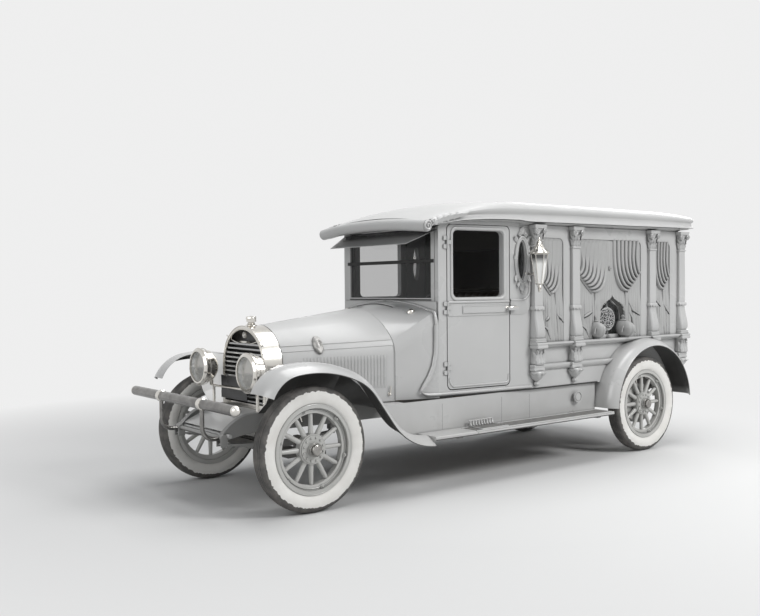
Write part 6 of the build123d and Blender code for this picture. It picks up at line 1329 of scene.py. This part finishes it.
def make_boards():
    """Ribbed mats, board edges, valance seams, step pads with their bright plates, and side bosses."""
    mat, edge, seam, step, plate, boss = (Shape() for _ in range(6))
    tops = [(y, MAT_RIB_Z if k % 2 else MAT_GROOVE_Z) for k, y in enumerate(spaced(MAT_IN_Y, MAT_OUT_Y, MAT_LINES))]
    mat.grid([[(x, y, z) for y, z in tops] for x in (MAT_FRONT_X, MAT_REAR_X)])
    for x, first, last in ((MAT_FRONT_X, MAT_IN_Y, MAT_OUT_Y), (MAT_REAR_X, MAT_OUT_Y, MAT_IN_Y)):
        mat.grid([[(x, first, z), (x, last, z)] for z in (MAT_LOW_Z, MAT_GROOVE_Z)])
    mat.place_pair("board_mats", mat_rubber, sharp=20)
    for y, z, wire in ((0.862, 0.414, 0.0065), (0.702, 0.416, 0.0045)):
        edge.tube([(x, y, z) for x in spaced(MAT_FRONT_X + 0.02, MAT_REAR_X, 8)], wire)
    edge.tube([(x, 0.868, 0.4) for x in (MAT_FRONT_X + 0.005, MAT_REAR_X - 0.005)], 0.007)
    edge.place_pair("board_edges", body_paint)
    for x in SEAM_X:
        seam.grid([[(x - SEAM_HALF, 0.6905, z), (x + SEAM_HALF, 0.6905, z)] for z in (0.425, 0.62)])
    seam.place_pair("valance_seams", shadow_gap)
    middle, length = (STEP_FRONT_X + STEP_REAR_X) / 2, STEP_FRONT_X - STEP_REAR_X
    step.block((middle, 0.778, 0.4215), (length - 0.024, 0.15, 0.004), 0.001)
    step.place_pair("step_pads", mat_rubber)
    corners = ((STEP_FRONT_X, 0.7), (STEP_FRONT_X, 0.856), (STEP_REAR_X, 0.856), (STEP_REAR_X, 0.7))
    plate.tube([(x, y, 0.422) for x, y in corners], 0.0055, sides=8, closed=True)
    for x in spaced(STEP_FRONT_X - 0.018, STEP_REAR_X + 0.018, 8):
        plate.tube([(x, 0.712, 0.424), (x - 0.004, 0.7, 0.44), (x - 0.006, 0.694, 0.466)], 0.0065, sides=8)
    plate.tube([(STEP_FRONT_X - 0.008, 0.694, 0.462), (STEP_REAR_X + 0.006, 0.694, 0.466)], 0.005, sides=8)
    plate.place_pair("step_plates", roof_paint)
    disc = [(0.0, 0.01), (0.03, 0.01), (0.034, 0.005), (0.039, 0.005), (0.042, 0.011), (0.047, 0.011), (0.05, 0.0)]
    boss.lathe(disc, (-0.874, 0.688, 0.545), Y_AXIS, count=48)
    boss.place_pair("side_bosses", body_paint)


# the left headlamp's glass
LENS_X, LENS_Y, LENS_Z, LENS_RADIUS = 2.156, 0.352, 0.918, 0.1115
FLUTES, FLUTE_PITCH = 12, 0.0125


def make_lamp_glasses():
    """Fluted lamp glasses over a bright bowl."""
    glass, bowl, flutes = Shape(), Shape(), Shape()
    centre = Vector((LENS_X, LENS_Y, LENS_Z))
    rows = []
    for share in spaced(0, 1, 8):
        row = []
        for angle in [*around(96), 2 * pi]:
            y, z = LENS_RADIUS * share * cos(angle), LENS_RADIUS * share * sin(angle)
            flute = 0.0012 * cos(2 * pi * y / FLUTE_PITCH) * (z < 0.012) * smooth((1 - share) * 8)
            row.append(centre + Vector((0.006 * (1 - share * share) + flute, y, z)))
        rows.append(row)
    glass.grid(rows)
    for y in spaced(-0.092, 0.092, FLUTES - 1):
        drop = sqrt(max(0.0, 0.108**2 - y * y))
        path = ((0.0015, y, -drop), (0.0075, y, -drop / 2), (0.0075, y, -0.006))
        flutes.tube([centre + Vector(p) for p in path], 0.0024, sides=6)
    dish = [(0.1105, 0.0), (0.1, -0.022), (0.08, -0.045), (0.05, -0.064), (0.02, -0.074), (0.0, -0.076)]
    bowl.lathe(dish, centre - X_AXIS * 0.004, X_AXIS, count=48)
    glass.place_pair("lamp_glasses", lens_glass, stands_for="headlamp_glasses")
    flutes.place_pair("lamp_flutes", lens_glass)
    bowl.place_pair("lamp_bowls", reflector)


def make_headlamp_trim():
    """A bead on each lamp's rim and one on its body."""
    beads = Shape()
    for x, radius in ((2.15, 0.1365), (2.118, 0.134)):
        ring = [(x, LENS_Y + radius * cos(a), LENS_Z + radius * sin(a)) for a in around(72)]
        beads.tube(ring, 0.003, sides=8, closed=True)
    beads.place_pair("lamp_beads", nickel)


def make_bumper_clamps():
    """Split rings that hold the bar on its arms, and the rod between the spring eyes."""
    rings, rod = Shape(), Shape()
    half = [(0.034, -0.02), (0.04, -0.018), (0.0415, -0.012), (0.04, -0.004)]
    for y in (-0.312, 0.312):
        rings.lathe(half + [(radius, -along) for radius, along in half[::-1]], (2.469, y, 0.732), Y_AXIS, count=40)
    rings.place("bumper_clamps", nickel)
    rod.tube([(2.296, -0.38, 0.505), (2.296, 0.38, 0.505)], 0.013, sides=16)
    rod.place("horn_rod", body_paint)


# Roof

# rows: X, then the Z of the groove under the roll and of the drip lip's lower edge
ROOF_LINES = (
    (0.84, 1.944, 1.922), (0.771, 1.972, 1.944), (0.651, 2.006, 1.967), (0.505, 2.03, 1.989), (0.356, 2.043, 2.002),
    (0.202, 2.052, 2.01), (0.043, 2.057, 2.013), (-0.15, 2.06, 2.013), (-0.185, 2.061, 2.003), (-0.8, 2.066, 2.004),
    (-1.5, 2.066, 2.007), (-2.05, 2.067, 2.013), (-2.52, 2.066, 2.017),
)
ROOF_RIDGE_Z, ROOF_LEVEL_FRONT, ROOF_LEVEL_REAR = 2.195, -0.124, -1.724
ROOF_BROW_RADIUS, ROOF_FALL_RADIUS = 2.675, 9.0
# the arc of the roof's sides in plan, and its ends
ROOF_PLAN_X, ROOF_PLAN_Y, ROOF_PLAN_RADIUS = -1.5265, -17.6441, 18.4594
ROOF_FRONT_X, ROOF_CORNER_X, ROOF_CORNER, ROOF_REAR_X, ROOF_REAR_BOW = 0.801, -2.404, 0.062, -2.504, 0.038
# rows: inset, share of the way from the roof's edge down to the groove, share from the groove to the lip
ROOF_SECTION = (
    (0.056, -0.05, 0), (0.038, 0.02, 0), (0.022, 0.12, 0), (0.009, 0.27, 0), (0.0015, 0.44, 0), (0.0, 0.58, 0),
    (0.003, 0.74, 0), (0.01, 0.88, 0), (0.019, 0.98, 0), (0.0205, 1, 0.08), (0.0185, 1, 0.32), (0.013, 1, 0.55),
    (0.005, 1, 0.78), (0.0005, 1, 0.86), (0.0, 1, 0.97), (0.003, 1, 1.0), (0.03, 1, 0.97), (0.042, 1, 0.97),
    (0.043, 1, 1.12), (0.048, 1, 1.2), (0.056, 1, 1.22), (0.064, 1, 1.22), (0.068, 1, 1.1), (0.15, 1, 1.1),
)
# the rolled brow: X, half its length, Z, and radius of the roll
BROW_X, BROW_HALF, BROW_Z, BROW_RADIUS = 0.792, 0.664, 1.943, 0.0445
# rows: X, Z, length, width and rise of the leaves behind the brow's volute
ROOF_LEAVES = (
    (0.752, 1.972, 0.075, 0.05, 0.34), (0.706, 1.988, 0.08, 0.052, 0.3), (0.652, 2.004, 0.085, 0.05, 0.24),
    (0.594, 2.018, 0.085, 0.046, 0.18), (0.536, 2.03, 0.09, 0.038, 0.13),
)
# (distance off the side, Z) of the cornice's bead and cove
CORNICE = (
    (0.0005, 1.964), (0.008, 1.966), (0.0105, 1.9715), (0.008, 1.977), (0.0055, 1.9795), (0.01, 1.987), (0.022, 1.9935),
)


def roof_lines(x):
    """Groove and lip heights at this X."""
    for (xa, *a), (xb, *b) in zip(ROOF_LINES, ROOF_LINES[1:]):
        if xb <= x <= xa:
            return [p + (q - p) * (xa - x) / (xa - xb) for p, q in zip(a, b)]
    return ROOF_LINES[0][1:] if x > 0 else ROOF_LINES[-1][1:]


def roof_top(x, y):
    """Height of the crowned roof."""
    if x > ROOF_LEVEL_FRONT:
        drop = ROOF_BROW_RADIUS - sqrt(ROOF_BROW_RADIUS**2 - (x - ROOF_LEVEL_FRONT) ** 2)
    elif x < ROOF_LEVEL_REAR:
        drop = ROOF_FALL_RADIUS - sqrt(ROOF_FALL_RADIUS**2 - (x - ROOF_LEVEL_REAR) ** 2)
    else:
        drop = 0.0
    return ROOF_RIDGE_Z - drop - (0.055 + 0.03 * smooth(x / 0.8)) * (y / 0.832) ** 2


def roof_edge_y(x):
    """Half the roof's width at this X."""
    return ROOF_PLAN_Y + sqrt(ROOF_PLAN_RADIUS**2 - (x - ROOF_PLAN_X) ** 2)


def roof_outline():
    """The roof's plan on the left, from the brow's corner to the middle of the rear, as (point, inward normal)."""
    points = [Vector((x, roof_edge_y(x))) for x in spaced(ROOF_FRONT_X, ROOF_CORNER_X, 59)]
    wide = points[-1].y - ROOF_CORNER
    for angle in spaced(0, pi / 2, 8)[1:]:
        points.append(Vector((ROOF_CORNER_X - ROOF_CORNER * sin(angle), wide + ROOF_CORNER * cos(angle))))
    points += [Vector((ROOF_REAR_X + ROOF_REAR_BOW * (y / wide) ** 2, y)) for y in spaced(wide, 0, 12)[1:]]
    out = []
    for i, p in enumerate(points):
        along = (points[min(i + 1, len(points) - 1)] - points[max(i - 1, 0)]).normalized()
        out.append((p, Vector((-along.y, along.x)) if i < len(points) - 1 else Vector((1, 0))))
    return out


def make_roof():
    """Crowned roof whose edge is a roll, a cove and a drip lip, with a rolled brow, volutes and leaves."""
    rim, crown, lining, line = [], [], [], []
    for point, inward in roof_outline():
        groove, lip = roof_lines(point.x)
        edge = roof_top(*point)
        row = []
        for inset, upper, lower in ROOF_SECTION:
            spot = point + inward * inset
            row.append(Vector((*spot, edge + (groove - edge) * upper + (lip - groove) * lower)))
        row[0].z = roof_top(*row[0].xy)
        rim.append(row)
        spine = Vector((min(max(point.x, -2.0), ROOF_FRONT_X), 0.0))
        crown.append([Vector((*p, roof_top(*p))) for p in spaced(row[0].xy, spine, 12)])
        inner = point + inward * 0.15
        inside = lambda p: roof_top(*p) - 0.045 - 0.02 * smooth((p.x - 0.4) / 0.3)
        lining.append([Vector((*inner, row[-1].z))] + [Vector((*p, inside(p))) for p in spaced(inner, spine, 6)])
    skin, ceiling = Shape().grid(rim).grid(crown).both_sides(), Shape().grid(lining).both_sides()
    skin.place("roof_skin", roof_paint, stands_for="roof", sharp=50)
    ceiling.place("roof_ceiling", dark_felt, stands_for="roof", sharp=50)
    for y in spaced(-BROW_HALF, BROW_HALF, 40):
        bow = 1 - (y / BROW_HALF) ** 2
        line.append((BROW_X + 0.03 * bow, y, BROW_Z + 0.034 * bow))
    brow = Shape().tube(line, BROW_RADIUS, sides=24)
    joint = [(x - 0.1, y, roof_top(x - 0.1, y)) for x, y, z in line]
    brow.grid([joint, [(x - 0.01, y, z + BROW_RADIUS - 0.001) for x, y, z in line]])
    brow.place("roof_brow", roof_paint, stands_for="roof", sharp=50)
    below = ((0.018, 0.038), (0.06, 0.03), (0.15, -0.012))
    under = Shape().grid([[(x - back, 0.95 * y, z - drop) for x, y, z in line] for back, drop in below])
    under.place("roof_brow_lining", dark_felt, stands_for="roof")
    ends = Shape()
    scroll(ends, (BROW_X, BROW_HALF + 0.008, BROW_Z), Y_AXIS, 0.04, 0.0095, 1.7)
    for x, z, length, width, rise in ROOF_LEAVES:
        y = roof_edge_y(ROOF_FRONT_X) + (ROOF_FRONT_X - x) * 0.118
        leaf(ends, (x, y + 0.001, z), (-1, 0.118, rise), (0, 1, 0.35), 1.25 * length, 1.2 * width, 0.2)
        scroll(ends, (x - 0.012, y + 0.008, z + 0.006), (0, 1, 0.2), 0.017, 0.0055, 1.4)
    ends.place_pair("roof_scrolls", roof_paint, stands_for="roof")


def make_cornice():
    """Bead and cove between the panelled side and the roof's drip lip, and the header over the cab's door."""
    shape, rows = Shape(), []
    for i, x in enumerate(spaced(-0.178, -2.32, 60)):
        lip, face = roof_lines(x)[1], side_y(x)
        reach = roof_edge_y(x) - face
        nose = sqrt(1 - (1 - min(1.0, i / 2)) ** 2)
        section = (*CORNICE, (reach - 0.05, lip - 0.006), (reach - 0.026, lip - 0.002))
        rows.append([(x, face + out * nose, z) for out, z in section])
    shape.grid(rows)
    rows = []
    for x in spaced(0.52, -0.18, 30):
        lip, face = roof_lines(x)[1], side_y(x)
        section = ((face + 0.001, 1.97), (face + 0.005, 1.974), (face + 0.006, lip - 0.012))
        rows.append([(x, y, z) for y, z in (*section, (roof_edge_y(x) - 0.03, lip - 0.003))])
    shape.grid(rows)
    shape.place_pair("cornice", body_paint)


# Cab


def make_windscreen_parts():
    """Dark bar between the panes and a bead under the lower one."""
    shape = Shape()
    bar_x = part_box("windscreen_frame")[1][0] + 0.001
    shape.block((bar_x, 0, 1.69), (0.006, 1.1, 0.027), 0.002)
    shape.tube([(bar_x, -0.52, 1.392), (bar_x, 0.52, 1.392)], 0.0045, sides=8)
    shape.place("windscreen_bar", shadow_gap)


def make_lining():
    """Dark trim on the cab's rear wall and a curtain behind each pierced arch."""
    trim, curtain = Shape(), Shape()
    trim.block((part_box("partition")[1][0] + 0.004, 0, 1.025), (0.006, 1.24, 0.55), 0.002)
    trim.place("partition_trim", leather)
    folds = [(x, 0.625 + 0.004 * sin(i * 1.4)) for i, x in enumerate(spaced(-1.5, -1.13, 40))]
    curtain.grid([[(x, y, z) for x, y in folds] for z in (1.02, 1.43)])
    curtain.place_pair("arch_curtain", dark_felt)


def evaluated(item):
    """A new mesh of the object with its modifiers applied."""
    return bpy.data.meshes.new_from_object(item.evaluated_get(bpy.context.evaluated_depsgraph_get()))


def swollen(mesh, steps=20, pressure=4.0, cap=0.024):
    """Points of the mesh after it was blown up as cloth, each moved by no more than the cap."""
    scene = bpy.context.scene
    probe = link("cloth_probe", mesh.copy())
    cloth = probe.modifiers.new("cloth", "CLOTH")
    cloth.settings.use_pressure = True
    cloth.settings.uniform_pressure_force = pressure
    cloth.settings.effector_weights.gravity = 0
    cloth.point_cache.frame_start, cloth.point_cache.frame_end = 1, steps
    for step in range(1, steps + 1):
        scene.frame_set(step)
    blown = probe.evaluated_get(bpy.context.evaluated_depsgraph_get()).data
    points = []
    for before, after in zip(mesh.vertices, blown.vertices):
        shift = after.co - before.co
        points.append(before.co + shift * min(1.0, cap / max(shift.length, 1e-9)))
    spare = probe.data
    bpy.data.objects.remove(probe)
    bpy.data.meshes.remove(spare)
    scene.frame_set(1)
    return points


PAD_SLACK, PAD_VOXEL, PAD_PIPING = 0.016, 0.009, 0.012
CHANNEL_PITCH, CHANNEL_DEPTH = 0.086, 0.013


def make_pad(name, thick, across):
    """A stuffed pad in its node's place; thick is the axis out of its face, which is sewn in channels along across."""
    low, high = (Vector(corner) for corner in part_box(name))
    centre, size = (low + high) / 2, high - low - Vector((1, 1, 1)) * 2 * PAD_SLACK
    shape = Shape().block(centre, size, bevel=0.018)
    mesh = bpy.data.meshes.new(name + "_pad")
    mesh.from_pydata(shape.points, [], shape.faces)
    blank = link("pad_blank", mesh)
    remesh = blank.modifiers.new("remesh", "REMESH")
    remesh.mode, remesh.voxel_size = "VOXEL", PAD_VOXEL
    dense = evaluated(blank)
    bpy.data.objects.remove(blank)
    for vertex, point in zip(dense.vertices, swollen(dense)):
        vertex.co = point
    pad = link(name + "_pad", dense)
    pad.modifiers.new("finer", "SUBSURF").levels = 1
    finer = evaluated(pad)
    pad.modifiers.clear()
    pad.data = finer
    for vertex in finer.vertices:
        p = vertex.co
        if p[thick] - centre[thick] > 0.15 * size[thick]:
            inside = smooth((size[across] / 2 + 0.004 - abs(p[across] - centre[across])) / 0.05)
            ridge = abs(sin(pi * (p.y - centre.y) / CHANNEL_PITCH)) ** 0.45
            p[thick] -= CHANNEL_DEPTH * (1 - ridge) * inside
        for axis in range(3):
            p[axis] = min(max(p[axis], low[axis] + 0.001), high[axis] - 0.001)
    finer.materials.clear()
    finer.materials.append(leather)
    finer.shade_smooth()
    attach(pad, "body")
    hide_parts(name)
    spans = [(low[axis] + PAD_PIPING, high[axis] - PAD_PIPING) for axis in (1, across)]
    path = []
    for y, w in rounded_loop(*spans, 0.03):
        point = Vector((0, y, 0))
        point[thick], point[across] = high[thick] - 0.02, w
        path.append(point)
    Shape().tube(path, 0.004, sides=8, closed=True).place(name + "_piping", leather)


dress_nodes()
for wheel in WHEELS:
    make_tyre(*wheel)
    make_wheel_fittings(*wheel)
make_hood_details()
make_radiator_dressing()
make_drapery()
make_columns()
make_roof()
make_cornice()
make_windscreen_parts()
make_lining()
make_headlamp_trim()
make_bumper_clamps()
make_pad("seat_cushion", 2, 0)
make_pad("seat_back", 0, 2)
make_coach_lamps()
make_oval_frames()
make_side_trim()
make_rear_trim()
make_cowl_fittings()
make_boards()
make_lamp_glasses()


# Stage

BACKDROP = (0.86, 0.86, 0.86, 1)
FLOOR_HALF = 60.0
# rows: name, place, aim, size, watts
LAMPS = (
    ("key", (-3.0, 8.0, 6.5), (-0.3, 0.3, 1.0), 3.0, 600),
    ("top", (-0.5, 0.5, 7.5), (-0.5, 0.0, 0.5), 5.0, 350),
    ("rear", (-7.0, -2.0, 4.5), (-1.5, 0.0, 1.0), 4.0, 200),
    ("front", (8.0, 2.0, 4.0), (0.5, 0.0, 0.8), 4.0, 160),
)


def seen_rays(tree):
    """1 for rays that show the backdrop itself: straight from the camera, in gloss or through glass."""
    rays = node(tree, "LightPath").outputs
    mirrored = node(tree, "Math", {0: rays["Is Camera Ray"], 1: rays["Is Glossy Ray"]}, operation="MAXIMUM")
    either = {0: mirrored.outputs[0], 1: rays["Is Transmission Ray"]}
    return node(tree, "Math", either, operation="MAXIMUM").outputs[0]


def show_backdrop(tree, share, lit, kind, output):
    """Replaces the lit shader by the plain backdrop where the share is 1."""
    plain = node(tree, kind, {"Color": BACKDROP}).outputs[0]
    blend = node(tree, "MixShader", {"Fac": share, 1: lit, 2: plain})
    tree.links.new(blend.outputs["Shader"], tree.nodes[output].inputs["Surface"])


def make_stage():
    """A matt pale floor that turns into the plain backdrop further out, a pale sky and soft lamps."""
    scene = bpy.context.scene
    scene.view_settings.view_transform = "Standard"
    size = FLOOR_HALF
    plane = bpy.data.meshes.new("floor_plane")
    plane.from_pydata([(-size, -size, 0), (size, -size, 0), (size, size, 0), (-size, size, 0)], [], [(0, 1, 2, 3)])
    finish = Finish("stage floor", (0.6, 0.6, 0.595), 0.95)
    far = finish.math("MULTIPLY", finish.remap(finish.reach((1, 1, 1)), 2.6, 6.5), seen_rays(finish.tree))
    show_backdrop(finish.tree, far, finish.shader.outputs["BSDF"], "Emission", "Material Output")
    plane.materials.append(finish.material)
    link("stage_floor", plane)
    scene.world = bpy.data.worlds.new("studio")
    scene.world.use_nodes = True
    tree = scene.world.node_tree
    sky = tree.nodes["Background"]
    sky.inputs["Color"].default_value = (0.86, 0.89, 0.93, 1)
    sky.inputs["Strength"].default_value = 0.34
    show_backdrop(tree, seen_rays(tree), sky.outputs["Background"], "Background", "World Output")
    for name, place, aim, size, watts in LAMPS:
        light = bpy.data.lights.new(name, "AREA")
        light.size, light.energy = size, watts
        lamp = link(name, light)
        lamp.location = place
        lamp.rotation_euler = (Vector(place) - Vector(aim)).to_track_quat("Z", "Y").to_euler()


def make_camera():
    """The photograph's camera, solved from the wheels and the body's long lines."""
    yaw, pitch, roll = radians(-127.12), radians(-1.69), radians(-0.53)
    focal_px, width_px, height_px, principal = 904.49, 760, 616, (360.67, 313.79)
    look = Vector((cos(yaw) * cos(pitch), sin(yaw) * cos(pitch), sin(pitch)))
    level = look.cross(Z_AXIS).normalized()
    upright = level.cross(look)
    right = level * cos(roll) + upright * sin(roll)
    up = upright * cos(roll) - level * sin(roll)
    data = bpy.data.cameras.new("photo_camera")
    data.sensor_width = 36.0
    data.lens = focal_px * data.sensor_width / width_px
    data.shift_x = (width_px / 2 - principal[0]) / width_px
    data.shift_y = (principal[1] - height_px / 2) / width_px
    data.clip_end = 200.0
    camera = link("photo_camera", data)
    turn = Matrix((right, up, -look)).transposed().to_4x4()
    camera.matrix_world = Matrix.Translation((5.221, 5.696, 1.495)) @ turn
    bpy.context.scene.camera = camera


make_stage()
make_camera()
